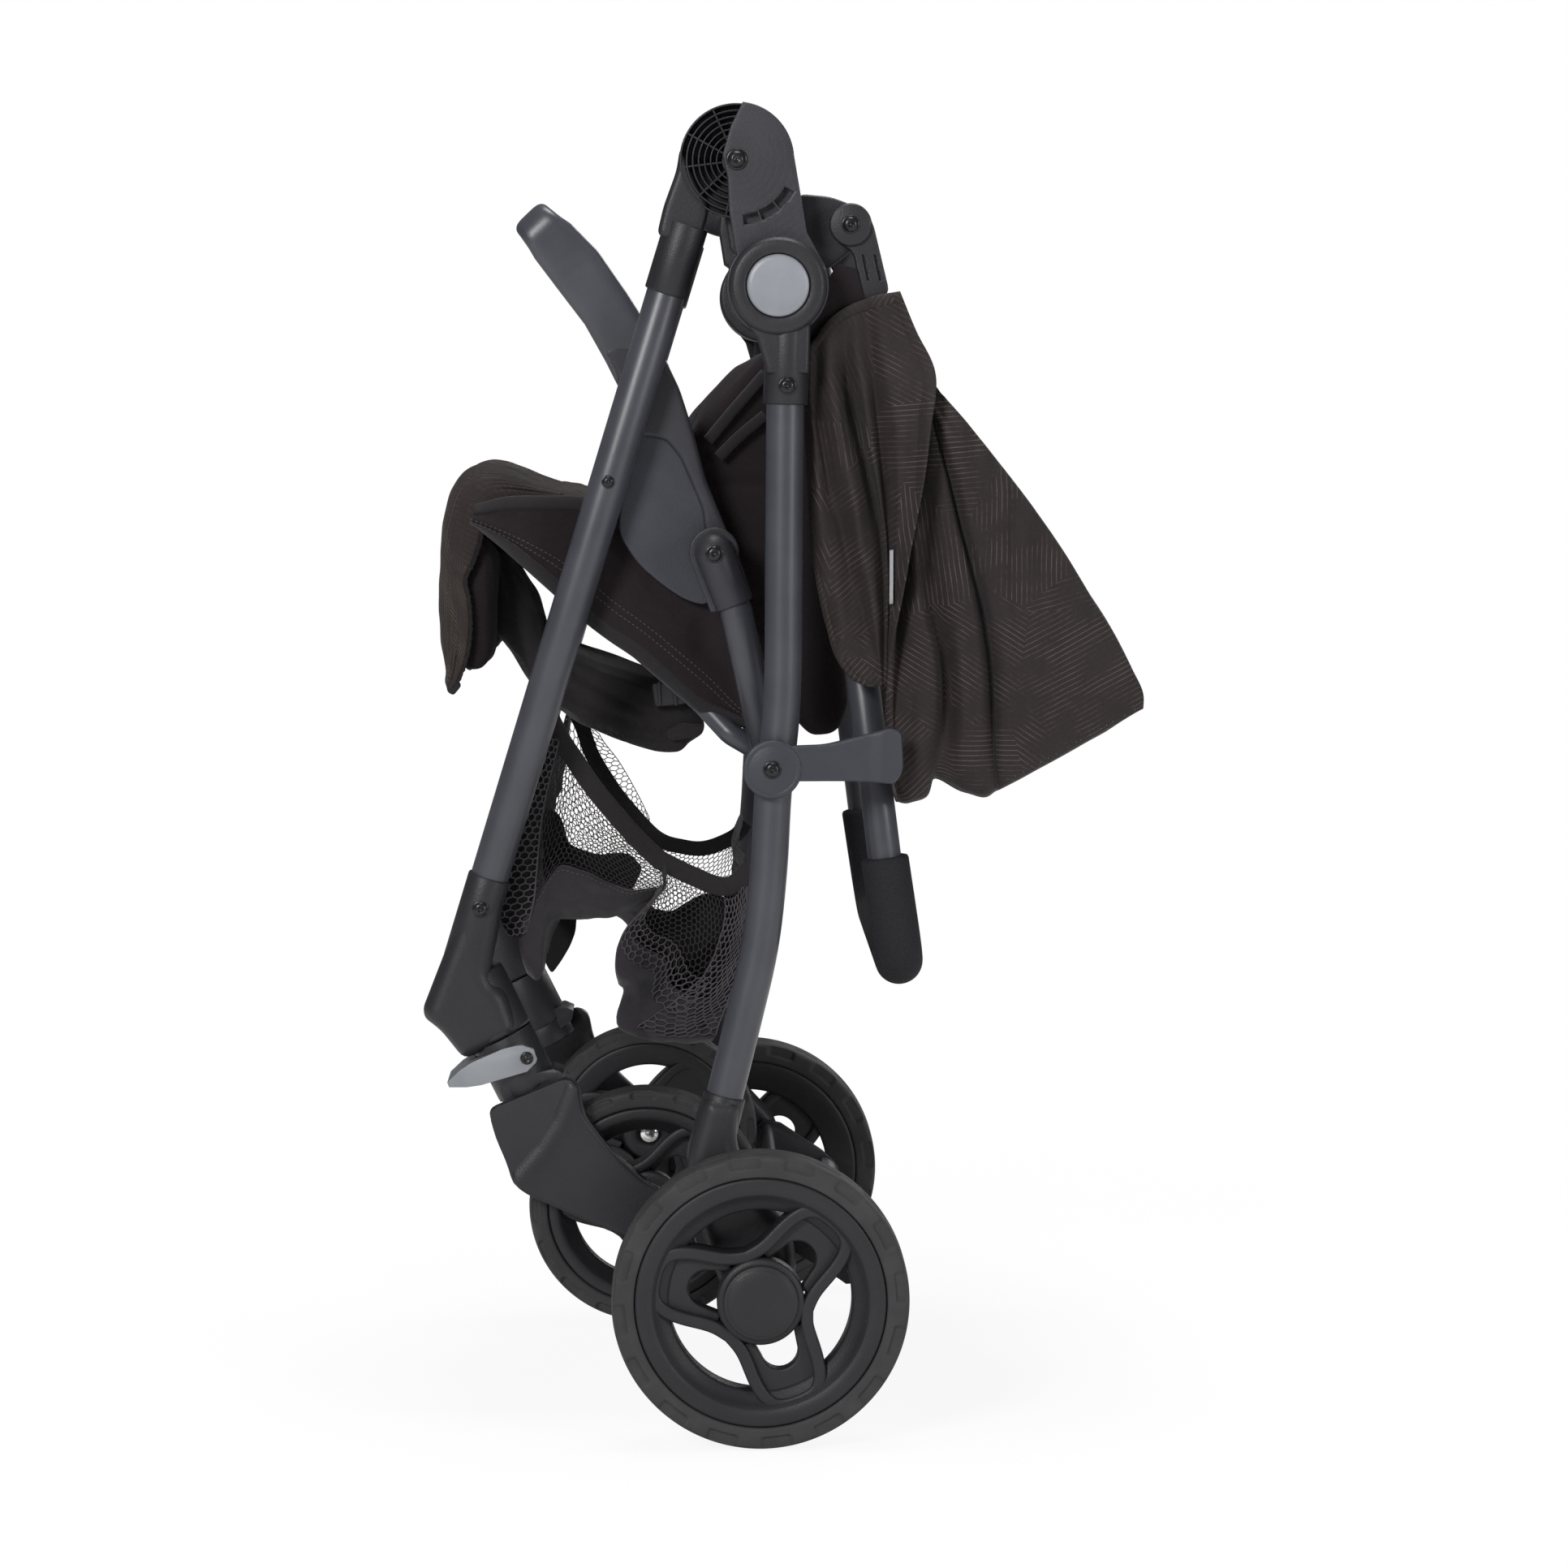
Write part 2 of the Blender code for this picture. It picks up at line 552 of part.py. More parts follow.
def front_feet():
    """The moulded foot: a sleeve on the leg that runs out over the swivel's barrel."""
    axis = (FRONT_LEG_LOW - FRONT_LEG_HIGH).normalized()
    sleeve_r = FRONT_SLEEVE
    length = (FRONT_LEG_LOW - FRONT_LEG_HIGH).length
    top = FRONT_LEG_HIGH + axis * (length - 58 * MM)
    sleeve = rod(top, FRONT_LEG_LOW + axis * 10 * MM, sleeve_r, 16)
    barrel_top = SWIVEL_HIGH - SWIVEL_DIRECTION * 46 * MM
    barrel = rod(barrel_top, SWIVEL_HIGH, SWIVEL_RADIUS, 20)
    low = flat(FRONT_LEG_LOW)
    shin = plate(soft_outline([
        low + at(-11, 16), low + at(10, 4), low + at(16, -20), low + at(22, -34), low + at(-4, -44),
        low + at(-26, -34), low + at(-27, -28)], 8 * MM),
        FRONT_LEG_LOW_Y - 16 * MM, FRONT_LEG_LOW_Y + 12.5 * MM, 5 * MM)
    bore = rod(FRONT_LEG_HIGH, FRONT_LEG_LOW + axis * GAP, FRONT_TUBE + GAP, 16)
    seam = rod(SWIVEL_HIGH, SWIVEL_HIGH + SWIVEL_DIRECTION * 60 * MM, SWIVEL_RADIUS * 3, 16)
    foot = cut(joined(barrel, shin, sleeve), bore, seam)
    pair(foot, "front_foot", PLASTIC)


def casters():
    """Swivel head with the one-sided fork, lock lever and axle bolt."""
    start = SWIVEL_HIGH + SWIVEL_DIRECTION * 0.5 * MM
    head_end = SWIVEL_HIGH + SWIVEL_DIRECTION * 40 * MM
    head = rod(start, head_end, HEAD_BARREL, 28)
    skirt = rod(head_end - SWIVEL_DIRECTION * 2 * MM, head_end + SWIVEL_DIRECTION * 15 * MM, SWIVEL_RADIUS - 2 * MM, 20)
    a, wheel_out = FRONT_AXLE, FRONT_WHEEL_Y + FRONT_WIDTH / 2
    root = flat(head_end)
    outline = soft_outline([
        a + at(-108, 69), a + at(-55, 91), a + at(-46, 86), a + at(-42, 65), a + at(-24, 41), a + at(0, 19),
        a + at(13, 11), a + at(15, -6), a + at(7, -16), a + at(-6, -19), a + at(-20, -17), a + at(-82, 11),
        a + at(-91, 18), a + at(-96, 34), a + at(-103, 50),
    ], 7 * MM)
    arm = plate(outline, wheel_out + 2.5 * MM, wheel_out + 13 * MM)
    shoulder = plate(soft_outline([root + at(-21, 6), root + at(22, 16), root + at(27, 8), root + at(-9, -22)], 6 * MM),
                     FRONT_WHEEL_Y - 14 * MM, wheel_out + 6 * MM)
    room = disc(a, FRONT_RADIUS + 4 * MM, FRONT_WHEEL_Y - 40 * MM, wheel_out + 1.5 * MM, 28)
    bolt_hole = disc(a, 4 * MM + GAP, wheel_out - 5 * MM, wheel_out + 9 * MM, 16)
    fork = cut(joined(head, skirt, shoulder, arm), room, bolt_hole)
    pair(fork, "caster_fork", PLASTIC)
    inside = FRONT_WHEEL_Y - FRONT_WIDTH / 2
    bolt = turned([(0, inside - 3 * MM), (5 * MM, inside - 2.6 * MM), (7.2 * MM, inside - 1 * MM), (7.2 * MM, inside + 1 * MM),
                   (4 * MM, inside + 1 * MM), (4 * MM, wheel_out + 8.5 * MM), (0, wheel_out + 8.5 * MM)], a, 16)
    pair(bolt, "front_axle_bolt", CHROME, a)
    k = LOCK_PIVOT
    blade = plate(soft_outline([k + at(8, 3), k + at(5, -8), k + at(-10, -12.5), k + at(-36, -20), k + at(-58, -20),
                                k + at(-42, -5), k + at(-12, 8), k + at(1, 9)], 5 * MM),
                  FRONT_WHEEL_Y - 22 * MM, FRONT_WHEEL_Y + 27.5 * MM)
    above = rod(SWIVEL_HIGH - SWIVEL_DIRECTION * 60 * MM, SWIVEL_HIGH + SWIVEL_DIRECTION * 1 * MM, SWIVEL_RADIUS + GAP, 28)
    swivel = rod(SWIVEL_HIGH, SWIVEL_HIGH + SWIVEL_DIRECTION * 70 * MM, HEAD_BARREL + 0.8 * MM, 28)
    middle = box((k.x - 22 * MM, -(FRONT_WHEEL_Y + 23 * MM), k.y - 40 * MM), (k.x + 20 * MM, 0, k.y + 20 * MM))
    lever = cut(blade, above, swivel, middle)
    pair(lever, "swivel_lock_lever", LEVER_GREY, k)


def rear_feet():
    """Moulded foot at each rear leg's end, with the stub axle and the brake's seat."""
    a = REAR_AXLE
    wheel_in = REAR_WHEEL_Y - REAR_WIDTH / 2
    near, far = REAR_LEG_Y - 15 * MM, wheel_in - 2.5 * MM
    ankle = REAR_LEG_LINE[-1]
    outline = soft_outline([
        ankle + at(-12, 12), ankle + at(15, 8), ankle + at(12, -20), a + at(3, 56), a + at(24, 44), a + at(26, 18),
        a + at(18, -16), a + at(-14, -20), a + at(-30, 0), a + at(-45, 50), a + at(-49, 84)], 9 * MM)
    body = plate(outline, near, far)
    direction = (REAR_LEG_LINE[-1] - REAR_LEG_LINE[-2]).normalized()
    top = ankle - direction * 12 * MM
    sleeve = rod(Vector((top.x, -REAR_LEG_Y, top.y)), Vector((ankle.x, -REAR_LEG_Y, ankle.y)) +
                 Vector((direction.x, 0, direction.y)) * 30 * MM, REAR_TUBE + 1.8 * MM, 16)
    stub = disc(a, AXLE_RADIUS, far - 4 * MM, REAR_WHEEL_Y + REAR_WIDTH / 2 - 14 * MM, 20)
    collar = disc(a, AXLE_RADIUS + 5 * MM, far - 4 * MM, wheel_in + 1.5 * MM, 20)
    leg = tube(lift(REAR_LEG_LINE, -REAR_LEG_Y), REAR_TUBE + GAP, 4)
    axle_hole = disc(a, AXLE_TUBE + GAP, near - 5 * MM, near + 8 * MM, 20)
    foot = cut(joined(body, sleeve, collar, stub, solver="MANIFOLD"), leg, axle_hole, solver="MANIFOLD")
    pair(foot, "rear_foot", PLASTIC, a)


def cross_tubes():
    a = REAR_AXLE
    near = REAR_LEG_Y - 15 * MM + 6 * MM
    finish(rod(Vector((a.x, -near, a.y)), Vector((a.x, near, a.y)), AXLE_TUBE, 16), "rear_axle_tube", TUBE_PAINT)
    height = SEAT_PIVOT.y - 121 * MM
    middle = SEAT_PIVOT.x - 8 * MM
    reach = REAR_LEG_Y - REAR_TUBE - GAP
    finish(rod(Vector((middle, -reach, height)), Vector((middle, reach, height)), CROSS_TUBE, 16),
           "rear_cross_tube", TUBE_PAINT)
    share = 24 * MM / (FRONT_LEG_HIGH.z - FRONT_LEG_LOW.z)
    here = along(FRONT_LEG_LOW, FRONT_LEG_HIGH, share)
    foot = flat(here)
    reach = -here.y - FRONT_SLEEVE - GAP
    finish(rod(Vector((foot.x, -reach, foot.y)), Vector((foot.x, reach, foot.y)), CROSS_TUBE, 16),
           "front_cross_tube", TUBE_PAINT)


def brake():
    """One bar across both rear feet: pivots at the feet, arms to the rear and a pedal between them."""
    k = BRAKE_PIVOT
    reach = REAR_LEG_Y - 15 * MM - 0.4 * MM
    arm = plate(soft_outline([k + at(-9, 7), k + at(6, 8), k + at(48, -20), k + at(58, -34), k + at(50, -42),
                              k + at(36, -32), k + at(-6, -7)], 6 * MM), reach - 8 * MM, reach)
    other = plate(soft_outline([k + at(-9, 7), k + at(6, 8), k + at(48, -20), k + at(58, -34), k + at(50, -42),
                                k + at(36, -32), k + at(-6, -7)], 6 * MM), -reach + 8 * MM, -reach)
    bar = plate(soft_outline([k + at(38, -20), k + at(50, -22), k + at(57, -33), k + at(51, -41), k + at(40, -34)],
                             4 * MM), -reach + 3 * MM, reach - 3 * MM)
    shaft = rod(Vector((k.x, -reach + 4 * MM, k.y)), Vector((k.x, reach - 4 * MM, k.y)), 5 * MM, 16)
    finish(joined(bar, arm, other, shaft), "brake_pedal", PLASTIC, k)


def storage_latch():
    """The paddle that catches the folded handle, on the left leg only."""
    s = SEAT_PIVOT
    near = REAR_LEG_Y + REAR_TUBE + GAP
    hub = disc(s, 19.6 * MM, near, near + 8 * MM, 24)
    blade = plate(soft_outline([s + at(10, 15.5), s + at(35, 17), s + at(51, 21), s + at(78, 27), s + at(86, 22),
                                s + at(87, 0), s + at(81, -10), s + at(64, -8.5), s + at(52, -8), s + at(10, -8)],
                               5 * MM), near + 1 * MM, near + 7 * MM)
    catch = plate(soft_outline([s + at(64, 16), s + at(80, 16), s + at(80, -4), s + at(64, -4)], 3 * MM),
                  near - 6 * MM, near + 3 * MM)
    finish(joined(hub, blade, catch), "storage_latch", PLASTIC, s)


def handle():
    """One tube from hinge to hinge round the grip, and the foam grip with its side drops."""
    bend = 34 * MM
    inner = HANDLE_HIGH + (HANDLE_LOW - HANDLE_HIGH).normalized() * 1 * MM
    left = [inner, HANDLE_LOW, GRIP_END]
    right = [Vector((p.x, -p.y, p.z)) for p in reversed(left)]
    path = rounded(left + right, bend, 4)
    finish(tube(path, HANDLE_TUBE, 3), "handle_tube", TUBE_PAINT, REAR_PIVOT)
    down = (GRIP_END - HANDLE_LOW).normalized()
    grip_start = HANDLE_LOW + down * 1 * MM
    end = [grip_start, GRIP_END]
    path = rounded(end + [Vector((p.x, -p.y, p.z)) for p in reversed(end)], bend, 4)
    skin = tube(path, HANDLE_TUBE + 5 * MM, 3)
    bore = tube(rounded([HANDLE_HIGH, HANDLE_LOW, GRIP_END] + right[:2] + [Vector((HANDLE_HIGH.x, HANDLE_Y, HANDLE_HIGH.z))],
                        bend, 4), HANDLE_TUBE + GAP, 3)
    finish(cut(skin, bore), "handle_grip", FOAM, REAR_PIVOT)


def seat_sides():
    """Moulded side: bumper stub, sector and the round boss that takes the seat tube's end piece."""
    k, q = LINK_PIVOT, SEAT_PIVOT
    near, far = 156 * MM, 168.5 * MM
    knuckle = q + at(-38, 142)
    side = plate(soft_outline([
        k + at(-19, 74), k + at(0, 28), k + at(17, 11), k + at(26, -8), k + at(35, -36), k + at(44, -70),
        knuckle + at(18, 4), knuckle + at(14, -18), k + at(45, -155), k + at(16, -142), k + at(-2, -127), k + at(-16, -106),
        k + at(-9, -50), k + at(-14, -6), k + at(-29, 16), k + at(-44, 42)], 10 * MM), near, far)
    cheek = disc(knuckle, 20 * MM, far - 2 * MM, 174.5 * MM, 32, 1 * MM)
    boss = disc(k, 10 * MM, far - 2 * MM, 173.2 * MM, 16)
    start, tip = k + at(-34, 50), k + at(-47, 74)
    ahead = (tip - start).normalized()
    clear = rod(Vector((start.x, -far, start.y)) - Vector((ahead.x, 0, ahead.y)) * GAP,
                Vector((start.x, -far, start.y)) + Vector((ahead.x, 0, ahead.y)) * 80 * MM, 70 * MM, 12)
    pair(cut(joined(side, cheek, boss, solver="MANIFOLD"), clear, solver="MANIFOLD"), "seat_side", SIDE_GREY, SEAT_PIVOT)


def bumper_bar():
    """The arched guard between both sides: oval arms that swing out to the front."""
    k = LINK_PIVOT
    arm_y = 166.5 * MM
    line = [k + at(-34, 50), k + at(-47, 74), k + at(-66, 97), k + at(-79, 109)]
    left = lift(line, -arm_y)
    right = [Vector((p.x, -p.y, p.z)) for p in reversed(left)]
    bar = tube(rounded(left + right, 46 * MM, 3), 15 * MM, 3)
    finish(bar, "bumper_bar", PLASTIC, SEAT_PIVOT)


def seat_tubes():
    """Seat tube from its end piece down to the seat pivot, with the boss that bears on the rear leg."""
    q = SEAT_PIVOT
    knuckle = q + at(-38, 142)
    collar_end = q + at(-24, 107)
    low = q + at(-1, 4)
    high = Vector((knuckle.x, -SEAT_TUBE_Y, knuckle.y))
    joint = Vector((collar_end.x, -SEAT_TUBE_Y, collar_end.y))
    end = Vector((low.x, -SEAT_TUBE_Y, low.y))
    direction = (joint - high).normalized()
    cup = joined(rod(high, joint, SEAT_TUBE + WALL, 16),
                 disc(knuckle, SEAT_TUBE + WALL, 177.5 * MM, SEAT_TUBE_Y + SEAT_TUBE + WALL - 1.5 * MM, 28, 1 * MM))
    line = rounded([high + direction * 12 * MM, joint, end], 60 * MM, 3)
    bore = tube([line[0] - direction * GAP] + line[1:], SEAT_TUBE + GAP, 3)
    cup = cut(cup, bore)
    pair(cup, "seat_tube_cap", PLASTIC)
    boss = disc(q, 14 * MM, BASE_TUBE_Y + 20 * MM, REAR_LEG_Y - REAR_TUBE - GAP, 28, 1 * MM)
    pair(joined(tube(line, SEAT_TUBE, 3), boss), "seat_tube", TUBE_PAINT, q)


def seat_base_tube():
    """The bent tube under the seat, from pivot to pivot round the seat's front edge."""
    q = SEAT_PIVOT
    wide = BASE_TUBE_Y + 12 * MM
    left = [Vector((q.x + 2 * MM, -wide, q.y + 1 * MM)), Vector((q.x - 27 * MM, -wide, q.y + 18 * MM)),
            Vector((q.x - 46 * MM, -BASE_TUBE_Y, q.y + 38 * MM)), Vector((CALF_PIVOT.x, -BASE_TUBE_Y, CALF_PIVOT.y))]
    right = [Vector((p.x, -p.y, p.z)) for p in reversed(left)]
    bar = tube(rounded(left + right, 14 * MM, 2), BASE_TUBE, 2)
    ends = [disc(q, 11 * MM, wide - 6 * MM, BASE_TUBE_Y + 20 * MM - GAP, 20),
            disc(q, 11 * MM, -wide + 6 * MM, -(BASE_TUBE_Y + 20 * MM) + GAP, 20)]
    finish(joined(bar, *ends), "seat_base_tube", TUBE_PAINT, q)


def canopy_frame():
    """Moulded arms on the canopy pivots and the wire bow that holds the hood's front edge."""
    k = CANOPY_PIVOT
    near = BRACKET_Y + GAP
    arm = plate(soft_outline([k + at(-13, 4), k + at(-6, 13), k + at(7, 13), k + at(15, 2), k + at(26, -46),
                              k + at(8, -52), k + at(2, -17), k + at(-12, -9)], 6 * MM), near, near + 10 * MM)
    wire = 3.2 * MM
    arm_y = near + 5 * MM
    start = Vector((k.x + 16 * MM, -arm_y, k.y - 44 * MM))
    elbow = Vector((k.x + 38 * MM, -arm_y, k.y - 92 * MM))
    end = Vector((k.x + 188 * MM, -arm_y - 4 * MM, k.y - 316 * MM))
    middle = along(elbow, end, 0.5) - Vector((0, BOW_SPREAD, 0))
    hole = rod(start - (elbow - start).normalized() * 0, elbow, wire + GAP, 16)
    pair(cut(arm, hole), "canopy_arm", PLASTIC, k)
    left = [start + (elbow - start).normalized() * GAP, elbow, middle, end]
    right = [Vector((p.x, -p.y, p.z)) for p in reversed(left)]
    finish(tube(rounded(left + right, 45 * MM, 3), wire, 1), "canopy_bow", TUBE_PAINT, k)


def blend_line(points, share):
    """A point on a polyline at a share of its length."""
    lengths = [(b - a).length for a, b in zip(points, points[1:])]
    goal = share * sum(lengths)
    for a, b, length in zip(points, points[1:], lengths):
        if goal <= length or b is points[-1]:
            return along(a, b, min(goal / length, 1))
        goal -= length


def sheet(rows, thickness):
    """An open grid of 3-D points made solid, its thickness on both sides."""
    columns = len(rows[0])
    mesh = bpy.data.meshes.new("sheet")
    faces = [(r * columns + c, r * columns + c + 1, (r + 1) * columns + c + 1, (r + 1) * columns + c)
             for r in range(len(rows) - 1) for c in range(columns - 1)]
    mesh.from_pydata([tuple(p) for row in rows for p in row], [], faces)
    obj = link(bpy.data.objects.new("sheet", mesh))
    wall = obj.modifiers.new("wall", "SOLIDIFY")
    wall.thickness = thickness
    wall.offset = 0
    return plain(obj)


CANOPY_REAR = [at(23, 744), at(21, 704), at(27, 620), at(36, 540), at(58, 490), at(90, 438)]
CANOPY_FRONT = [at(81, 763), at(92, 714), at(128, 671), at(165, 628), at(196, 584), at(222, 540), at(242, 487)]
CANOPY_HEM = [at(90, 438), at(112, 431), at(146, 434), at(196, 460), at(242, 487)]
CANOPY_TOP = [at(23, 744), at(50, 756), at(81, 763)]


def canopy_point(across, down):
    """A place on the hood's side panel in the side view, between its four edges."""
    rear, front = blend_line(CANOPY_REAR, down), blend_line(CANOPY_FRONT, down)
    top, hem = blend_line(CANOPY_TOP, across), blend_line(CANOPY_HEM, across)
    corners = along(along(CANOPY_TOP[0], CANOPY_TOP[-1], across), along(CANOPY_HEM[0], CANOPY_HEM[-1], across), down)
    return along(rear, front, across) + along(top, hem, down) - corners


def canopy():
    """The hood hanging folded: a side panel at each side, bound across the bottom, with its main folds."""
    section = [(0.0, 207.6), (0.25, 211), (0.5, 212), (0.75, 212), (0.91, 208), (0.965, 200), (0.992, 178), (1.0, 130),
               (1.0, 0)]
    columns = 12
    rows = []
    for down, y in section:
        row = []
        for i in range(columns + 1):
            across = i / columns
            place = canopy_point(across, down)
            depth = sin(min(down * 1.1, 1) * pi * 0.5) * (1 - across) ** 0.6
            fold = 3.2 * MM * depth * sin(across * 7 * pi)
            side = -(y * MM + (fold if y > 190 else 0))
            lift_up = 0 if y > 190 else 4 * MM * (1 - across) * sin(across * 7 * pi)
            row.append(Vector((place.x, side, place.y + lift_up)))
        rows.append(row)
    rows += [[Vector((p.x, -p.y, p.z)) for p in row] for row in reversed(rows[:-1])]
    finish(sheet(rows, 2.4 * MM), "canopy_hood", CANOPY_FABRIC, CANOPY_PIVOT, 60)


def cushion(outline, half_width, crown, steps=2):
    """A padded slab across the seat: its outline drawn in at both ends so that it crowns between them."""
    middle = sum(outline, Vector((0, 0))) / len(outline)
    rows = []
    shares = [(-1, 0.5), (-0.9, 0.88), (-0.5, 1.0), (0.5, 1.0), (0.9, 0.88), (1, 0.5)]
    for y, share in shares:
        ring = [middle + (p - middle) * 1.0 + (middle - p).normalized() * crown * (1 - share) for p in outline]
        rows.append([Vector((p.x, y * half_width, p.y)) for p in ring])
    count = len(outline)
    mesh = bpy.data.meshes.new("cushion")
    faces = [(r * count + c, r * count + (c + 1) % count, (r + 1) * count + (c + 1) % count, (r + 1) * count + c)
             for r in range(len(rows) - 1) for c in range(count)]
    faces += [tuple(range(count)), tuple(reversed(range((len(rows) - 1) * count, len(rows) * count)))]
    mesh.from_pydata([tuple(p) for row in rows for p in row], [], faces)
    return plain(link(bpy.data.objects.new("cushion", mesh)))


def soft_parts():
    q = SEAT_PIVOT
    pan = soft_outline([at(-162, 587), at(-120, 549), at(-60, 496), at(-42, 504), at(-40, 540), at(-84, 590),
                        at(-136, 631), at(-158, 649), at(-167, 641)], 12 * MM)
    pad = cushion(pan, BASE_TUBE_Y - BASE_TUBE + GAP, 9 * MM)
    sling = soft_outline([at(-195, 578), at(-184, 542), at(-168, 504), at(-146, 482), at(-110, 474), at(-64, 460),
                          at(-54, 472), at(-54, 516), at(-68, 516), at(-72, 496), at(-104, 494), at(-140, 498),
                          at(-160, 512), at(-177, 546), at(-187, 582)], 5 * MM)
    finish(joined(pad, cushion(sling, SLING_WIDTH / 2, 3 * MM)), "seat_pan", FABRIC, q)
    c = CALF_PIVOT
    hem = BASE_TUBE + 5 * MM
    calf = soft_outline([c + at(-4, 30), c + at(-22, 26), c + at(-29, -4), c + at(-30, -60), c + at(-27, -106),
                         c + at(-24, -121), c + at(-14, -112), c + at(-2, -104), c + at(3, -84), c + at(-3, -44),
                         c + Vector((hem * 0.7, -hem * 1.2)), c + Vector((hem, 0)), c + Vector((hem * 0.7, hem))], 8 * MM)
    loop = rod(Vector((c.x, -0.2, c.y)), Vector((c.x, 0.2, c.y)), BASE_TUBE + GAP, 16)
    finish(cut(cushion(calf, CALF_WIDTH / 2, 7 * MM), loop), "calf_rest", FABRIC, c)
    lower = soft_outline([at(-19, 718), at(-55, 674), at(-38, 655), at(-28, 600), at(-27, 540), at(-32, 496),
                          at(-18, 492), at(-2, 500), at(6, 600), at(5, 712)], 8 * MM)
    finish(cushion(lower, BACKREST_WIDTH / 2, 5 * MM), "backrest_lower", FABRIC)
    upper = soft_outline([at(6.8, 716), at(6.8, 600), at(10, 486), at(38, 470), at(46, 486), at(40, 600), at(26, 716)],
                         8 * MM)
    finish(cushion(upper, HANDLE_Y - HANDLE_TUBE + 0.5 * MM, 5 * MM), "backrest_upper", FABRIC, REAR_PIVOT)


def basket():
    """The sagging net tray: open on top, its rim low at the sides, crumpled between the folded legs."""
    rim = [(-156, 450), (-130, 424), (-104, 396), (-80, 384), (-52, 376), (-25.9, 378)]
    floor = [(-170, 330), (-140, 318), (-116, 296), (-96, 268), (-62, 258), (-25.9, 259)]
    half = BASKET_WIDTH / 2
    count = 10
    rows = []
    for level, share in enumerate((0, 0.35, 0.7, 0.92)):
        ring = []
        inset = (0, 0, 4, 16)[level] * MM
        for i in range(count + 1):
            t = i / count
            top, low = blend_line([at(*p) for p in rim], t), blend_line([at(*p) for p in floor], t)
            p = along(top, low, share)
            sag = 5 * MM * sin(t * 3 * pi + level) * (level in (1, 2))
            ring.append(Vector((p.x, -(half - inset + sag), p.y)))
        front, rear = ring[0], ring[-1]
        across = 4
        end = [along(rear, Vector((rear.x, -rear.y, rear.z)), j / across) for j in range(1, across)]
        start = [along(Vector((front.x, -front.y, front.z)), front, j / across) for j in range(1, across)]
        if level == 0:
            start = [p - Vector((0, 0, FRONT_RIM_SAG)) for p in start]
        rows.append(ring + end + [Vector((p.x, -p.y, p.z)) for p in reversed(ring)] + start)
    count = len(rows[0])
    mesh = bpy.data.meshes.new("basket")
    faces = [(r * count + c, (r + 1) * count + c, (r + 1) * count + (c + 1) % count, r * count + (c + 1) % count)
             for r in range(len(rows) - 1) for c in range(count)]
    base = (len(rows) - 1) * count
    side = 11
    left = [base + i for i in range(side)]
    right = [base + side + across - 1 + side - 1 - i for i in range(side)]
    faces += [(left[i], left[i + 1], right[i + 1], right[i]) for i in range(side - 1)]
    rear_edge = [left[-1]] + [base + side + j for j in range(across - 1)] + [right[-1]]
    front_edge = [right[0]] + [base + side + across - 1 + side + j for j in range(across - 1)] + [left[0]]
    faces += [tuple(reversed(rear_edge)), tuple(reversed(front_edge))]
    mesh.from_pydata([tuple(p) for row in rows for p in row], [], faces)
    obj = link(bpy.data.objects.new("basket", mesh))
    wall = obj.modifiers.new("wall", "SOLIDIFY")
    wall.thickness = 2.4 * MM
    wall.offset = 0
    finish(plain(obj), "basket", NET, None, 60)


rear_wheels()
front_wheels()
rear_legs()
rear_leg_heads()
hinge_housings()
front_leg_heads()
front_legs()
front_feet()
casters()
rear_feet()
cross_tubes()
brake()
storage_latch()
handle()
seat_sides()
bumper_bar()
seat_tubes()
seat_base_tube()
canopy_frame()
canopy()
soft_parts()
basket()
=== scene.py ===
import bpy
import bmesh
import numpy as np
from math import copysign, cos, hypot, pi, radians, sin, sqrt, tan
from mathutils import Matrix, Vector, noise
from mathutils.geometry import delaunay_2d_cdt


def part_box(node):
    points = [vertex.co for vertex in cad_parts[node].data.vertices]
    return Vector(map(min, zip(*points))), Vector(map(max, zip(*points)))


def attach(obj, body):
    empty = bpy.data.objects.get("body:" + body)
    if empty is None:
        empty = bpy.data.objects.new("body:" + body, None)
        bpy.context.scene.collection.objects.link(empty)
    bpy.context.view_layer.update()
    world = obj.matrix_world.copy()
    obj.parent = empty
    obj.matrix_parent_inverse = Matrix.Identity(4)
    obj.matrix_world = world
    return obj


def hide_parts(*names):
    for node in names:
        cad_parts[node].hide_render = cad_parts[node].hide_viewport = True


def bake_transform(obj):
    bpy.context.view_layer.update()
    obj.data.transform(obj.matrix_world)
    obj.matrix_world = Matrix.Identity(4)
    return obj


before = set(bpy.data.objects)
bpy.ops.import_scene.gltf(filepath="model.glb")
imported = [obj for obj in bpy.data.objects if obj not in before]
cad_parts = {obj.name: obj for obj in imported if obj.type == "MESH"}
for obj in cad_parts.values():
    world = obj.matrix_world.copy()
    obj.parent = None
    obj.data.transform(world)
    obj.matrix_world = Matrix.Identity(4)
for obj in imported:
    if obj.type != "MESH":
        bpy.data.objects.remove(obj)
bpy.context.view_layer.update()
mm = 0.001
scene = bpy.context.scene
scene.view_settings.view_transform = "Standard"
print("frame loaded:", len(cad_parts), "nodes")


# Shader helpers: a wrapped socket takes plain arithmetic, and one method makes every other node
class Signal:
    def __init__(self, finish, socket):
        self.finish, self.socket = finish, socket

    def maths(self, operation, *values):
        return self.finish.node("ShaderNodeMath", {"operation": operation}, dict(enumerate(values)))

    def sine(self):
        return self.maths("SINE", self)

    def cosine(self):
        return self.maths("COSINE", self)

    def step(self, low, high):
        return self.finish.node("ShaderNodeMapRange", {"interpolation_type": "SMOOTHSTEP"}, {0: self, 1: low, 2: high})


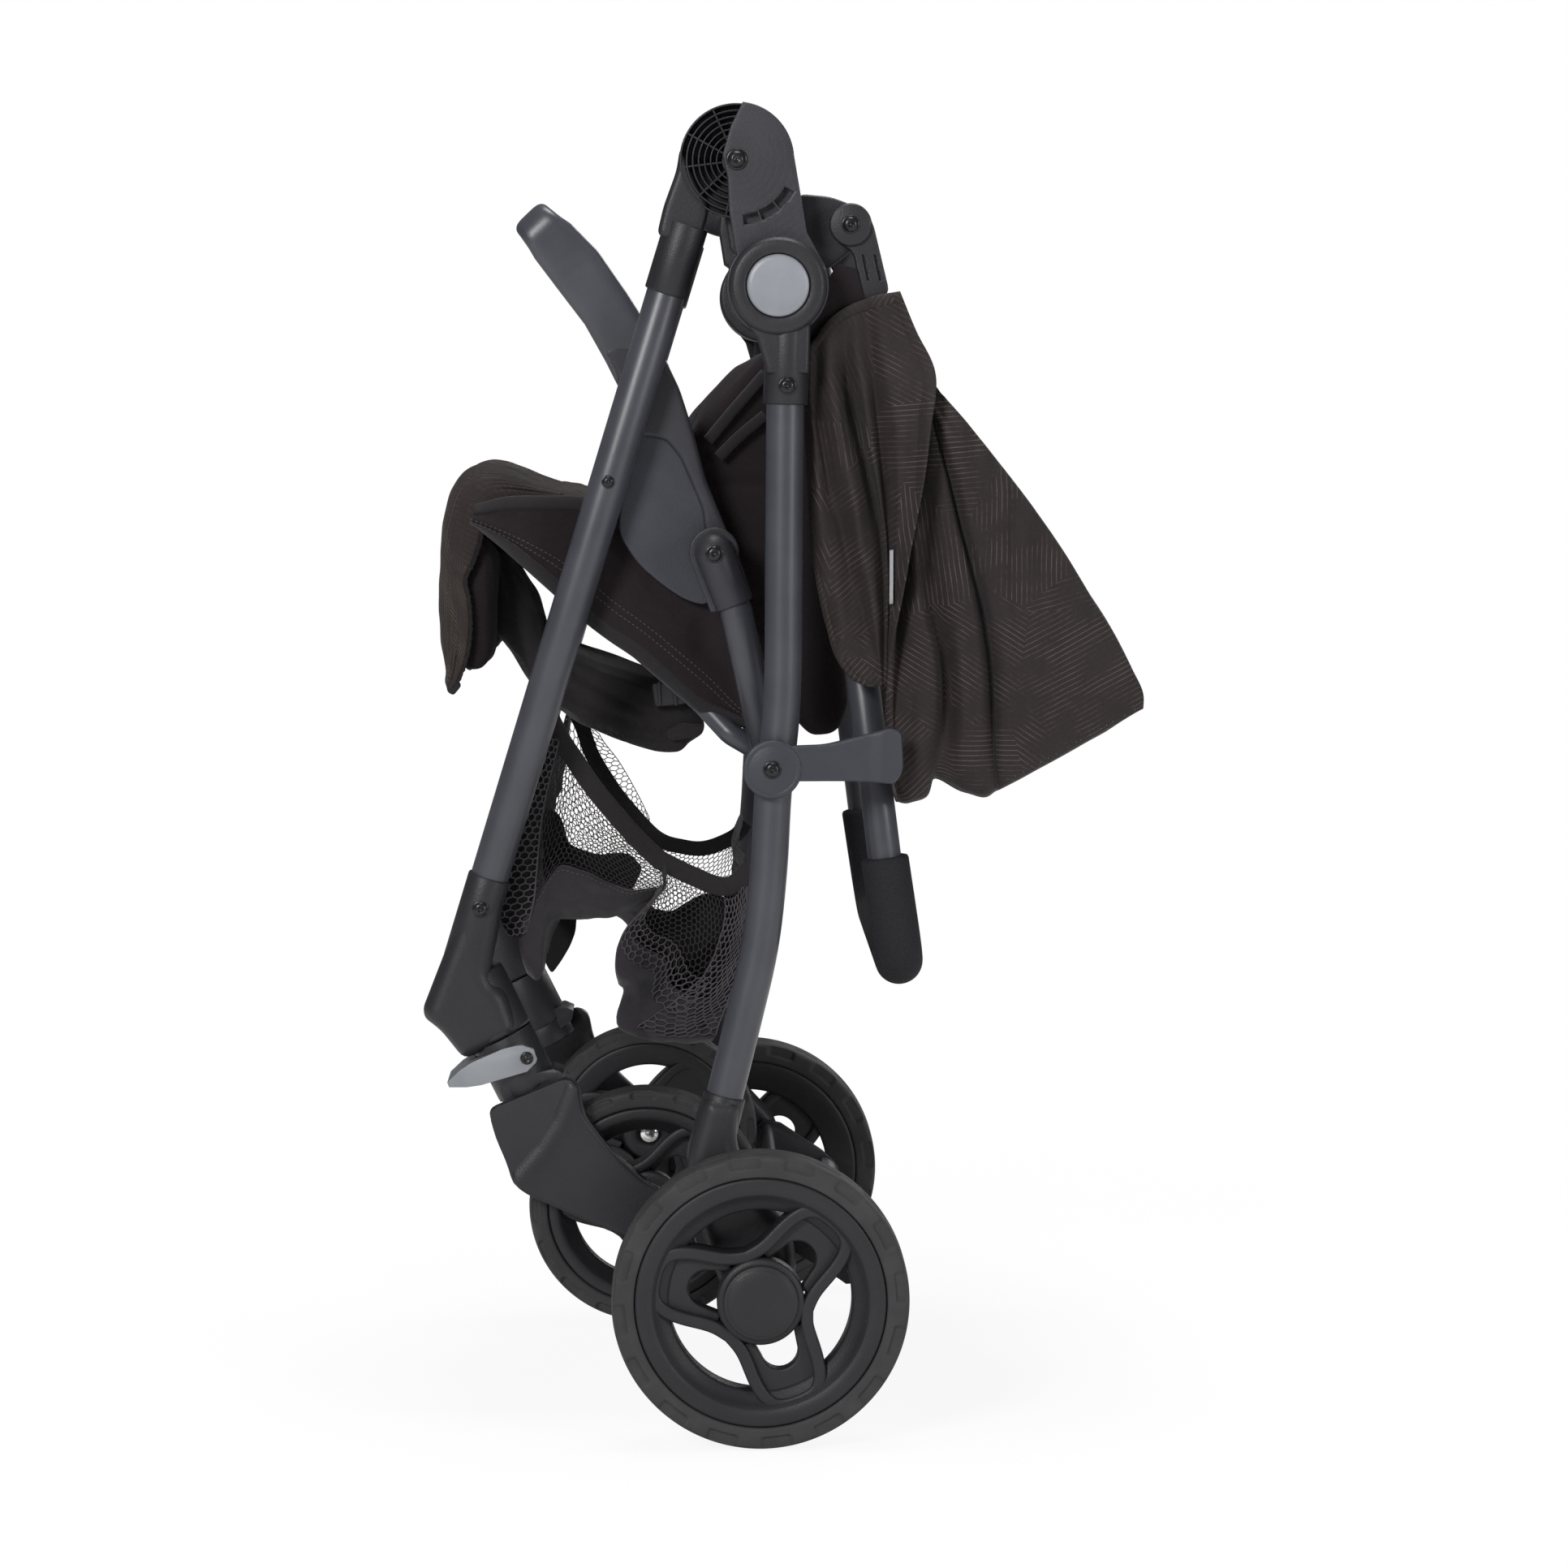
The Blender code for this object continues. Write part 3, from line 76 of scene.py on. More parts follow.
for sign, operation in (("add", "ADD"), ("sub", "SUBTRACT"), ("mul", "MULTIPLY"), ("truediv", "DIVIDE"), ("pow", "POWER")):
    setattr(Signal, f"__{sign}__", lambda self, other, operation=operation: self.maths(operation, self, other))
    setattr(Signal, f"__r{sign}__", lambda self, other, operation=operation: self.maths(operation, other, self))


class Finish:
    def __init__(self, name, **sockets):
        self.material = bpy.data.materials.new(name)
        self.material.use_nodes = True
        self.tree = self.material.node_tree
        self.shader = self.tree.nodes["Principled BSDF"]
        for key, value in sockets.items():
            self.put(self.shader.inputs[key.replace("_", " ")], value)

    def put(self, socket, value):
        if isinstance(value, Signal):
            self.tree.links.new(value.socket, socket)
        elif isinstance(value, (tuple, list)) and len(socket.default_value) == 4:
            socket.default_value = (*value[:3], 1)
        else:
            socket.default_value = value

    def node(self, kind, settings, inputs, output=0):
        made = self.tree.nodes.new(kind)
        for key, value in settings.items():
            if key == "stops":
                while len(made.color_ramp.elements) < len(value):
                    made.color_ramp.elements.new(0.5)
                for stop, (where, shade) in zip(made.color_ramp.elements, value):
                    stop.position, stop.color = where, (*shade, 1)
            else:
                setattr(made, key, value)
        for key, value in inputs.items():
            self.put(made.inputs[key], value)
        return Signal(self, made.outputs[output])

    def places(self, kind="Object"):
        return self.node("ShaderNodeTexCoord", {}, {}, kind)

    def axes(self, vector):
        return [self.node("ShaderNodeSeparateXYZ", {}, {0: vector}, i) for i in range(3)]

    def noise(self, vector, scale, detail=3.0, roughness=0.55):
        return self.node("ShaderNodeTexNoise", {}, {"Vector": vector, "Scale": scale, "Detail": detail,
            "Roughness": roughness})

    def cells(self, vector, scale, output="Distance", feature="F1"):
        return self.node("ShaderNodeTexVoronoi", {"feature": feature}, {"Vector": vector, "Scale": scale}, output)

    def blend(self, share, first, second):
        made = self.tree.nodes.new("ShaderNodeMix")
        made.data_type = "RGBA"
        for key, value in ((0, share), (6, first), (7, second)):
            self.put(made.inputs[key], value)
        return Signal(self, made.outputs[2])

    def bump(self, height, depth, strength=1.0, under=None):
        inputs = {"Height": height, "Distance": depth, "Strength": strength}
        if under:
            inputs["Normal"] = under
        return self.node("ShaderNodeBump", {}, inputs)

    def wear(self, color=None, roughness=None, normal=None):
        for key, value in (("Base Color", color), ("Roughness", roughness), ("Normal", normal)):
            if value is not None:
                self.put(self.shader.inputs[key], value)
        return self.material


def times(shade, factor, lift=0):
    return [part * factor + lift for part in shade]


def paintFinish(name, shade, rough=0.42, metal=0.0, grain=1500):
    f = Finish(name, Metallic=metal, Specular_IOR_Level=0.45)
    at = f.places()
    cloud, speck = f.noise(at, 26, 3), f.noise(at, grain, 2)
    tone = f.blend(cloud.step(0.3, 0.75), times(shade, 0.9), times(shade, 1.12))
    return f.wear(tone, cloud * 0.08 + speck * 0.1 + (rough - 0.09), f.bump(speck, 0.00012, 0.5))


def plasticFinish(name, shade, rough=0.5, grain=900, depth=0.00015, rings=None):
    f = Finish(name, Specular_IOR_Level=0.32)
    at = f.places()
    pebble, cloud = f.cells(at, grain), f.noise(at, 18, 4)
    rub = f.noise(at, 140, 5, 0.7).step(0.62, 0.85)
    tone = f.blend(cloud.step(0.3, 0.7), times(shade, 0.88), times(shade, 1.14))
    tone = f.blend(rub * 0.35, tone, times(shade, 1.5, 0.004))
    normal = f.bump(pebble, depth, 0.55)
    if rings:
        x, z = f.axes(at)[::2]
        dx, dz = x - rings[0] * mm, z - rings[1] * mm
        far = (dx * dx + dz * dz) ** 0.5
        wave = (far * (2 * pi / (rings[2] * mm))).sine()
        normal = f.bump(wave * far.step(0.010, 0.014), 0.00006, 0.25, normal)
    return f.wear(tone, cloud * 0.12 + (rough - 0.06) + rub * 0.06, normal)


def rubberFinish(name, shade):
    f = Finish(name, Specular_IOR_Level=0.35)
    at = f.places()
    dust, fine = f.noise(at, 35, 5, 0.65), f.noise(at, 1100, 2)
    tone = f.blend(dust.step(0.35, 0.8), shade, times(shade, 1.45, 0.003))
    return f.wear(tone, dust * 0.16 + 0.62, f.bump(fine + dust * 0.6, 0.00022, 0.5))


def foamFinish(name, shade):
    f = Finish(name, Specular_IOR_Level=0.2)
    at = f.places()
    pore, dent = f.cells(at, 1300), f.noise(at, 60, 3)
    return f.wear(f.blend(pore.step(0.1, 0.6), times(shade, 0.6), times(shade, 1.3)), 0.93,
        f.bump(pore + dent * 0.8, 0.0003, 0.8))


def weave(f, at, pitch):
    u, v = f.axes(at)[:2]
    k = pi / (pitch * mm)
    return (u * k).sine() * (v * k).sine()


def clothFinish(name, shade, pitch=0.9, sheen=0.05, thread=1.25, twill=False):
    f = Finish(name, Specular_IOR_Level=0.14, Sheen_Weight=sheen, Sheen_Roughness=0.5)
    at = f.places("UV")
    cross = weave(f, at, pitch)
    if twill:
        u, v = f.axes(at)[:2]
        cross = ((u + v) * (2 * pi / (pitch * 1.6 * mm))).sine()
    slub = f.noise(at, 260, 4, 0.7)
    fade = f.noise(at, 9, 3)
    tone = f.blend(slub.step(0.35, 0.75), shade, times(shade, thread))
    tone = f.blend(fade.step(0.35, 0.75) * 0.5, tone, times(shade, 1.5, 0.002))
    return f.wear(tone, slub * 0.1 + 0.78, f.bump(cross + slub * 0.7, 0.00016, 0.6))


def linedFinish(name, shade, line, spacing=2.6, patch=11.0):
    f = Finish(name, Specular_IOR_Level=0.2, Sheen_Weight=0.05, Sheen_Roughness=0.45)
    at = f.places("UV")
    turn = f.axes(f.cells(at, patch, "Color"))
    u, v = f.axes(at)[:2]
    sway = f.noise(at, 14, 2) * 0.004
    angle = turn[0] * pi
    run = u * angle.cosine() + v * angle.sine() + sway
    thin = (run * (2 * pi / (spacing * mm))).sine().step(0.72, 0.97)
    broken = f.noise(at, 40, 4).step(0.38, 0.66) * turn[1].step(0.0, 0.2)
    cross, slub = weave(f, at, 0.8), f.noise(at, 320, 4, 0.7)
    fade = f.noise(at, 12, 3)
    tone = f.blend(slub.step(0.35, 0.75), shade, times(shade, 1.3))
    tone = f.blend(fade.step(0.3, 0.75) * 0.5, tone, times(shade, 1.55, 0.002))
    tone = f.blend(thin * broken * 0.75, tone, line)
    return f.wear(tone, slub * 0.1 + 0.66 - thin * broken * 0.14, f.bump(cross + slub * 0.6 + thin * broken * 1.2,
        0.00018, 0.6))


finishes = {
    "tube": paintFinish("tubePaint", (0.040, 0.041, 0.050), 0.36),
    "plastic": plasticFinish("mouldedPlastic", (0.0155, 0.0155, 0.0185), 0.45),
    "hinge": plasticFinish("hingePlastic", (0.026, 0.026, 0.032), 0.46, rings=(-31, 855, 4.6)),
    "rim": plasticFinish("rimPlastic", (0.0130, 0.0125, 0.0145), 0.5),
    "rubber": rubberFinish("tyreRubber", (0.0235, 0.023, 0.0235)),
    "lever": paintFinish("leverSilver", (0.20, 0.21, 0.225), 0.42, 0.35),
    "reflector": paintFinish("reflectorGrey", (0.205, 0.215, 0.235), 0.38),
    "side": plasticFinish("sideGrey", (0.031, 0.0325, 0.041), 0.46),
    "chrome": paintFinish("polishedChrome", (0.75, 0.74, 0.73), 0.16, 1.0, 400),
    "screw": paintFinish("blackScrew", (0.02, 0.02, 0.022), 0.28, 0.6, 600),
    "foam": foamFinish("gripFoam", (0.014, 0.014, 0.016)),
    "seat": clothFinish("seatCloth", (0.0105, 0.0075, 0.0088)),
    "canopy": linedFinish("canopyCloth", (0.0150, 0.0110, 0.0115), (0.088, 0.070, 0.056), 3.4, 12.5),
    "calf": linedFinish("quiltCloth", (0.0165, 0.0120, 0.0115), (0.125, 0.092, 0.064), 2.8, 7.0),
    "binding": clothFinish("bindingTape", (0.014, 0.0125, 0.0135), 1.1, 0.08, twill=True),
    "net": clothFinish("netStrand", (0.020, 0.018, 0.019), 0.5, 0.1),
    "thread": clothFinish("sewingThread", (0.062, 0.052, 0.048), 0.5, 0.2),
    "tag": clothFinish("plainTag", (0.27, 0.27, 0.28), 0.6, 0.05),
    "coarse": clothFinish("coarseStrand", (0.050, 0.046, 0.050), 0.5, 0.1),
    # very dark cloth: the lining behind the coarse net, and painted shade on the fold sheets inside the bag
    "dark": clothFinish("darkLining", (0.006, 0.0055, 0.006)),
    "floorCloth": clothFinish("basketCloth", (0.019, 0.017, 0.020), 0.7, 0.15),
}
print("finishes made:", len(finishes))


# Mesh helpers
def shown(name, mesh):
    made = bpy.data.objects.new(name, mesh)
    scene.collection.objects.link(made)
    return made


def addObject(name, points, faces, merge=0.0, outward=True):
    mesh = bpy.data.meshes.new(name)
    mesh.from_pydata([tuple(p) for p in points], [], faces)
    if merge or outward:
        work = bmesh.new()
        work.from_mesh(mesh)
        if merge:
            bmesh.ops.remove_doubles(work, verts=work.verts, dist=merge * mm)
        if outward:
            bmesh.ops.recalc_face_normals(work, faces=work.faces)
            if work.calc_volume(signed=True) < 0:
                bmesh.ops.reverse_faces(work, faces=work.faces)
        work.to_mesh(mesh)
        work.free()
    mesh.shade_smooth()
    return shown(name, mesh)


def frozen(obj, name=None):
    bpy.context.view_layer.update()
    mesh = bpy.data.meshes.new_from_object(obj.evaluated_get(bpy.context.evaluated_depsgraph_get()))
    mesh.transform(obj.matrix_world)
    made = shown(name or obj.name, mesh)
    bpy.data.objects.remove(obj, do_unlink=True)
    return made


def gathered(name, *parts):
    work = bmesh.new()
    for part in parts:
        work.from_mesh(part.data)
        bpy.data.objects.remove(part, do_unlink=True)
    mesh = bpy.data.meshes.new(name)
    work.to_mesh(mesh)
    work.free()
    return shown(name, mesh)


def mirrored(obj, name):
    mesh = obj.data.copy()
    mesh.transform(Matrix.Scale(-1, 4, (0, 1, 0)))
    mesh.flip_normals()
    return shown(name, mesh)


def softened(obj, width, segments=2, angle=38):
    edge = obj.modifiers.new("soft edge", "BEVEL")
    edge.width, edge.segments, edge.limit_method, edge.angle_limit = width * mm, segments, "ANGLE", radians(angle)
    edge.use_clamp_overlap = edge.harden_normals = True
    return frozen(obj)


def cutAway(obj, *cutters):
    for cutter in cutters:
        step = obj.modifiers.new("cut", "BOOLEAN")
        step.operation, step.solver, step.object = "DIFFERENCE", "EXACT", cutter
    made = frozen(obj)
    for cutter in cutters:
        bpy.data.objects.remove(cutter, do_unlink=True)
    return made


def dress(obj, body, finish, slot, *nodes):
    obj.name = obj.name.split(".")[0]
    obj.data.materials.clear()
    obj.data.materials.append(finishes[finish])
    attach(obj, body)
    if nodes:
        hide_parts(*nodes)
    return obj


def dressPair(obj, body, finish, slot, *nodes):
    # {} in a body or node name stands for the side
    name = obj.name.split(".")[0]
    other = mirrored(obj, name + "_right")
    obj.name = name + "_left"
    for piece, side in ((obj, "left"), (other, "right")):
        dress(piece, body.format(side), finish, slot, *[node.format(side) for node in nodes])
    return obj, other


def lathe(name, centre, profile, steps=72):
    # profile holds (radius, distance from the middle) at the left side
    points, faces, rings = [], [], []
    x, z = centre
    for radius, y in profile:
        if radius < 0.01:
            points.append((x * mm, -y * mm, z * mm))
            rings.append([len(points) - 1] * steps)
            continue
        start = len(points)
        points += [((x + radius * cos(2 * pi * i / steps)) * mm, -y * mm, (z + radius * sin(2 * pi * i / steps)) * mm)
            for i in range(steps)]
        rings.append(list(range(start, start + steps)))
    pairs = list(zip(rings, rings[1:]))
    if profile[0][0] > 0.01 and profile[-1][0] > 0.01:
        pairs.append((rings[-1], rings[0]))
    for a, b in pairs:
        for i in range(steps):
            j = (i + 1) % steps
            face = [a[i], a[j], b[j], b[i]]
            face = [p for k, p in enumerate(face) if p not in face[:k]]
            if len(face) > 2:
                faces.append(face)
    return addObject(name, points, faces)


def cornerCurve(start, here, end, steps):
    return [(1 - t) ** 2 * start + 2 * t * (1 - t) * here + t * t * end for t in (i / steps for i in range(steps + 1))]


def bent(points, radius, steps=8):
    # a polyline with its inner corners rounded
    points = [Vector(p) for p in points]
    out = [points[0].copy()]
    for before, here, after in zip(points, points[1:], points[2:]):
        back, ahead = (before - here).normalized(), (after - here).normalized()
        turn = pi - back.angle(ahead)
        reach = min(radius * tan(turn / 2) if turn < 3 else radius, (before - here).length * 0.49,
            (after - here).length * 0.49)
        out += cornerCurve(here + back * reach, here, here + ahead * reach, steps)
    return out + [points[-1].copy()]


def eased(points, steps=6, closed=False):
    # a smooth curve through the points
    points = [Vector(p) for p in points]
    if closed:
        ends = [points[-1]] + points + points[:2]
    else:
        ends = [2 * points[0] - points[1]] + points + [2 * points[-1] - points[-2]]
    out = []
    for a, b, c, d in zip(ends, ends[1:], ends[2:], ends[3:]):
        for i in range(steps):
            t = i / steps
            out.append(0.5 * (2 * b + (c - a) * t + (2 * a - 5 * b + 4 * c - d) * t * t + (3 * b - a - 3 * c + d) * t ** 3))
    return out if closed else out + [points[-1].copy()]


def sweep(name, path, section, closed=False, up=(0, 1, 0)):
    # section is a list of (side, up) offsets, or a function of the share of the path that gives one
    path = [Vector(p) for p in path]
    count = len(path)
    normal = Vector(up)
    points, faces, rings = [], [], []
    for i, here in enumerate(path):
        before = path[i - 1] if closed or i else here
        after = path[(i + 1) % count] if closed or i < count - 1 else here
        along = (after - before).normalized()
        normal = (normal - along * normal.dot(along)).normalized()
        side = along.cross(normal)
        shape = section(i / (count - 1)) if callable(section) else section
        rings.append(list(range(len(points), len(points) + len(shape))))
        points += [(here + side * a + normal * b) * mm for a, b in shape]
    size = len(rings[0])
    for a, b in list(zip(rings, rings[1:])) + ([(rings[-1], rings[0])] if closed else []):
        faces += [(a[i], a[(i + 1) % size], b[(i + 1) % size], b[i]) for i in range(size)]
    if not closed:
        faces += [rings[0][::-1], rings[-1]]
    return addObject(name, points, faces)


def circle(radius, sides=32, flat=1.0):
    return [(radius * cos(2 * pi * i / sides), radius * flat * sin(2 * pi * i / sides)) for i in range(sides)]


def tube(name, path, radius, sides=36):
    return sweep(name, path, circle(radius, sides))


def rounded(corners, radius, steps=4):
    # a closed outline with round corners
    corners = [Vector(c) for c in corners]
    out = []
    for i, here in enumerate(corners):
        back, ahead = corners[i - 1] - here, corners[(i + 1) % len(corners)] - here
        reach = min(radius, back.length * 0.46, ahead.length * 0.46)
        out += cornerCurve(here + back.normalized() * reach, here, here + ahead.normalized() * reach, steps)
    return out


def stepped(outline, pitch):
    # a closed outline resampled to even steps
    outline = [Vector(p) for p in outline]
    out = []
    for a, b in zip(outline, outline[1:] + outline[:1]):
        pieces = max(1, round((b - a).length / pitch))
        out += [a.lerp(b, i / pieces) for i in range(pieces)]
    return out


def edgeDistances(points, outline):
    # how far each point is from the closed outline
    p = np.array([(q[0], q[1]) for q in points])[:, None, :]
    a = np.array([(q[0], q[1]) for q in outline])[None, :, :]
    run = np.roll(a, -1, axis=1) - a
    t = np.clip(((p - a) * run).sum(-1) / np.maximum((run * run).sum(-1), 1e-9), 0, 1)
    return np.sqrt((((p - a) - run * t[..., None]) ** 2).sum(-1).min(1))


def within(points, outline):
    p = np.array([(q[0], q[1]) for q in points])[:, None, :]
    a = np.array([(q[0], q[1]) for q in outline])[None, :, :]
    b = np.roll(a, -1, axis=1)
    rise = np.where(a[..., 1] == b[..., 1], 1e-9, b[..., 1] - a[..., 1])
    hit = ((a[..., 1] > p[..., 1]) != (b[..., 1] > p[..., 1])) & (p[..., 0] < a[..., 0]
        + (p[..., 1] - a[..., 1]) / rise * (b[..., 0] - a[..., 0]))
    return hit.sum(1) % 2 == 1


def moulded(name, outline, near, far, edge=1.5, back=0.6, pitch=3.0, relief=None):
    # a plate with rounded edges and, where given, a relief on its outer face
    outline = stepped(outline, pitch * 0.7)
    count = len(outline)
    area = sum(a.x * b.y - b.x * a.y for a, b in zip(outline, outline[1:] + outline[:1]))
    tries, wanted = [], []
    for share in (1 - cos(radians(a)) for a in (25, 50, 72, 90)):
        for i, here in enumerate(outline):
            run = (outline[(i + 1) % count] - outline[i - 1]).normalized()
            tries.append(here + Vector((-run.y, run.x)) * (edge * share if area > 0 else -edge * share))
            wanted.append(edge * share)
    wanted = np.array(wanted)
    fit = (np.abs(edgeDistances(tries, outline) - wanted) < wanted * 0.12 + 0.01) & within(tries, outline)
    points = list(outline) + [p for p, good in zip(tries, fit) if good]
    low = Vector((min(p.x for p in outline), min(p.y for p in outline)))
    high = Vector((max(p.x for p in outline), max(p.y for p in outline)))
    grid = [low + Vector(((column + (row % 2) * 0.5) * pitch, row * pitch * 0.87))
        for row in range(int((high.y - low.y) / (pitch * 0.87)) + 1) for column in range(int((high.x - low.x) / pitch) + 1)]
    fit = within(grid, outline) & (edgeDistances(grid, outline) > edge + pitch * 0.4)
    points += [p for p, good in zip(grid, fit) if good]
    flat, triangles = delaunay_2d_cdt(points, [(i, (i + 1) % count) for i in range(count)], [], 1, 1e-4)[:3:2]
    deep = edgeDistances(flat, outline)
    front = edge - np.sqrt(np.maximum(edge * edge - np.maximum(edge - deep, 0) ** 2, 0))
    rear = back - np.sqrt(np.maximum(back * back - np.maximum(back - deep, 0) ** 2, 0))
    verts = [(p.x * mm, -(far - drop + (relief(p.x, p.y, d) if relief else 0)) * mm, p.y * mm)
        for p, d, drop in zip(flat, deep, front)]
    verts += [(p.x * mm, -(near + drop) * mm, p.y * mm) for p, drop in zip(flat, rear)]
    size = len(flat)
    uses = {}
    for t in triangles:
        for a, b in zip(t, list(t[1:]) + [t[0]]):
            uses[(min(a, b), max(a, b))] = uses.get((min(a, b), max(a, b)), 0) + 1
    faces = [tuple(t) for t in triangles] + [tuple(i + size for i in reversed(t)) for t in triangles]
    faces += [(a, b, b + size, a + size) for (a, b), n in uses.items() if n == 1]
    return addObject(name, verts, faces)


def rod(name, start, end, radius, sides=40, edge=0.0):
    start, end = Vector(start), Vector(end)
    along = (end - start).normalized()
    if not edge:
        return tube(name, [start, end], radius, sides)
    shares = [(0, radius - edge), (edge * 0.3, radius - edge * 0.3), (edge, radius)]
    length = (end - start).length
    steps = shares + [(length - a, r) for a, r in reversed(shares)]
    it = iter([r for a, r in steps])
    return sweep(name, [start + along * a for a, r in steps], lambda share: circle(next(it), sides))


def side(x, z, y):
    return Vector((x, -y, z))


def acrossBoth(left):
    return [Vector(p) for p in left] + [Vector((x, -y, z)) for x, y, z in reversed(left)]


# Places that several pieces share, as (x, z)
foldPivot, rearPivot, seatPivot = Vector((-31, 855)), Vector((-4, 772)), (-8, 452)
canopyPivot, knucklePivot = (45, 813), (-46, 594)

# Wheels
wheelSizes = {
    "rear": {"centre": (-16.5, 99.37), "middle": 256, "radius": 99.3, "seat": 84, "half": 18, "ring": 23,
     "clover": (30, 42), "band": 8.4, "bandDepth": (248, 268.1), "hub": 29.2, "slot": (12.4, 49), "pocketAt": 6.6,
     "pocket": (94.0, 3.9, 10.5)},
    "front": {"centre": (-92.5, 145), "middle": 150, "radius": 81, "seat": 68, "half": 15, "ring": 17,
     "clover": (24.5, 36), "band": 6.8, "bandDepth": (139, 161), "hub": 23.4, "slot": (10.2, 40), "pocketAt": 2.0,
     "pocket": (76.6, 2.8, 8.6)},
}
cloverLobes = (48, 167.5, 290)
pockets = 16


def sunk(across, along, corner, depth):
    # how deep a pocket with round corners is, at distances from the start of its corners
    beyond = hypot(max(across, 0), max(along, 0)) + min(max(across, along), 0) - corner
    return depth * min(max(-beyond / 0.8, 0), 1)


def wheelTyre(name, wheel):
    # sidewalls with sunk pockets, and a crown with a centre groove and staggered lugs
    radius, seat, half = wheel["radius"], wheel["seat"] + 0.35, wheel["half"]
    shape = [(seat, half - 2.0), (seat + 0.8, half - 1.5), (seat + 2.2, half - 1.0)]
    steps, low, high = 13, seat + 3.5, radius - 3.2
    shape += [(low + (high - low) * i / steps, half - 0.9 + 0.9 * sin(pi * 0.5 * i / steps)) for i in range(steps + 1)]
    shape += [(radius - 3.2 + 3.2 * sin(radians(a)), half - 9 + 9 * cos(radians(a))) for a in (15, 28, 42, 56, 70, 82)]
    shape += [(radius, half - 9 - 0.75 * i) for i in range(1, int((half - 9) / 0.75) + 1)] + [(radius, 0)]
    shape = shape + [(r, -y) for r, y in reversed(shape[:-1])]
    columns, gap = 448, 360 / pockets
    at, tall, long = wheel["pocket"]
    wallStart, crownStart, corner, depth = half - 4.5, radius - 1.6, 2.2, 2.2
    x0, z0 = wheel["centre"]
    points, faces = [], []
    for i in range(columns):
        angle = 360 * i / columns
        for r, y in shape:
            off = (angle - wheel["pocketAt"] + gap / 2) % gap - gap / 2
            sink = 0
            if abs(y) > wallStart:
                sink = sunk(abs(radians(off) * at) - long + corner, abs(r - at) - tall + corner, corner, depth)
            elif r > crownStart:
                shifted = (angle - wheel["pocketAt"]) % gap - gap / 2
                lug = abs(abs(y) - half * 0.36) - half * 0.17 + 1.2
                sink = sunk(abs(radians(shifted) * radius) - long + 1.5, lug, 1.2, 0.8) + 0.7 * min(max(1.2 - abs(y), 0), 1)
            dr, dy = (0, 1 if y > 0 else -1) if abs(y) > wallStart else (1, 0)
            rr, yy = r - dr * sink, y - dy * sink
            points.append(((x0 + rr * cos(radians(angle))) * mm, -(wheel["middle"] + yy) * mm,
                (z0 + rr * sin(radians(angle))) * mm))
    size = len(shape)
    for i in range(columns):
        j = (i + 1) % columns
        faces += [(i * size + k, i * size + (k + 1) % size, j * size + (k + 1) % size, j * size + k) for k in range(size)]
    return addObject(name, points, faces)


def cloverRadius(wheel, angle):
    near = min(abs((angle - lobe + 180) % 360 - 180) for lobe in cloverLobes)
    return wheel["clover"][0] + wheel["clover"][1] / (1 + (near / 26) ** 4)


def wheelRim(name, wheel):
    x0, z0 = wheel["centre"]
    seat, half, middle = wheel["seat"], wheel["half"], wheel["middle"]
    low, top = middle - half + 2, middle + half - 1.5
    hole = seat - wheel["ring"]
    ring = lathe(name, wheel["centre"], [
        (seat, low + 1), (seat + 0.6, low + 2.5), (seat + 0.6, top - 4.5), (seat, top - 2.2), (seat - 0.5, top - 0.9),
        (seat - 1.2, top - 0.3), (seat - 2.2, top), (seat - 6, top), (seat - wheel["ring"] * 0.46, top - 0.6),
        (seat - wheel["ring"] * 0.52, top - 1.6), (seat - wheel["ring"] * 0.60, top - 4.2),
        (seat - wheel["ring"] * 0.80, top - 7.6), (hole + 1.8, top - 9.2), (hole + 0.5, top - 10.2), (hole, top - 11.6),
        (hole, low + 7), (hole + 0.6, low + 5.6), (hole + 2.4, low + 4.4), (seat - 9, low + 1.6), (seat - 3, low),
        (seat - 0.8, low + 0.2)], 160)
    path = [Vector((x0 + cloverRadius(wheel, a) * cos(radians(a)), -middle, z0 + cloverRadius(wheel, a) * sin(radians(a))))
        for a in (360 * i / 240 for i in range(240))]
    a, b = wheel["bandDepth"][0] - middle, wheel["bandDepth"][1] - middle
    h = wheel["band"] / 2
    band = sweep(name, path, [(-h, -a - 0.8), (-h, -b + 1.4), (-h * 0.86, -b + 0.5), (-h * 0.55, -b), (h * 0.55, -b),
        (h * 0.86, -b + 0.5), (h, -b + 1.4), (h, -a - 0.8), (h * 0.7, -a), (-h * 0.7, -a)], closed=True)
    parts = [ring, band]
    hub = wheel["hub"]
    for lobe in cloverLobes:
        way, across = Vector((cos(radians(lobe)), sin(radians(lobe)))), Vector((-sin(radians(lobe)), cos(radians(lobe))))
        outer = []
        for i in range(-22, 23):
            bearing = radians(lobe + i * 2)
            outer.append(Vector((cos(bearing), sin(bearing))) * cloverRadius(wheel, lobe + i * 2))
        slot, end = wheel["slot"]
        inner = [way * (end - slot + slot * sin(radians(t))) + across * slot * cos(radians(t)) for t in range(0, 181, 12)]
        inner = [way * hub * 0.78 + across * slot * 1.18] + inner + [way * hub * 0.78 - across * slot * 1.18]
        corners = [Vector((x0, z0)) + p for p in outer + inner]
        parts.append(moulded(name, corners, wheel["bandDepth"][0] + 2, wheel["bandDepth"][1] - 6.5, 2.0, 0.6, 2.0))
    parts.append(lathe(name, wheel["centre"], [(6.6, low + 1), (6.6, top - 6), (0, top - 6), (0, top - 3.6),
        (hub - 4, top - 3.6), (hub - 1, top - 4.2), (hub, top - 5.6), (hub, middle - 2), (hub - 3.5, low + 4),
        (hub - 5, low + 1)], 72))
    return gathered(name, *parts)


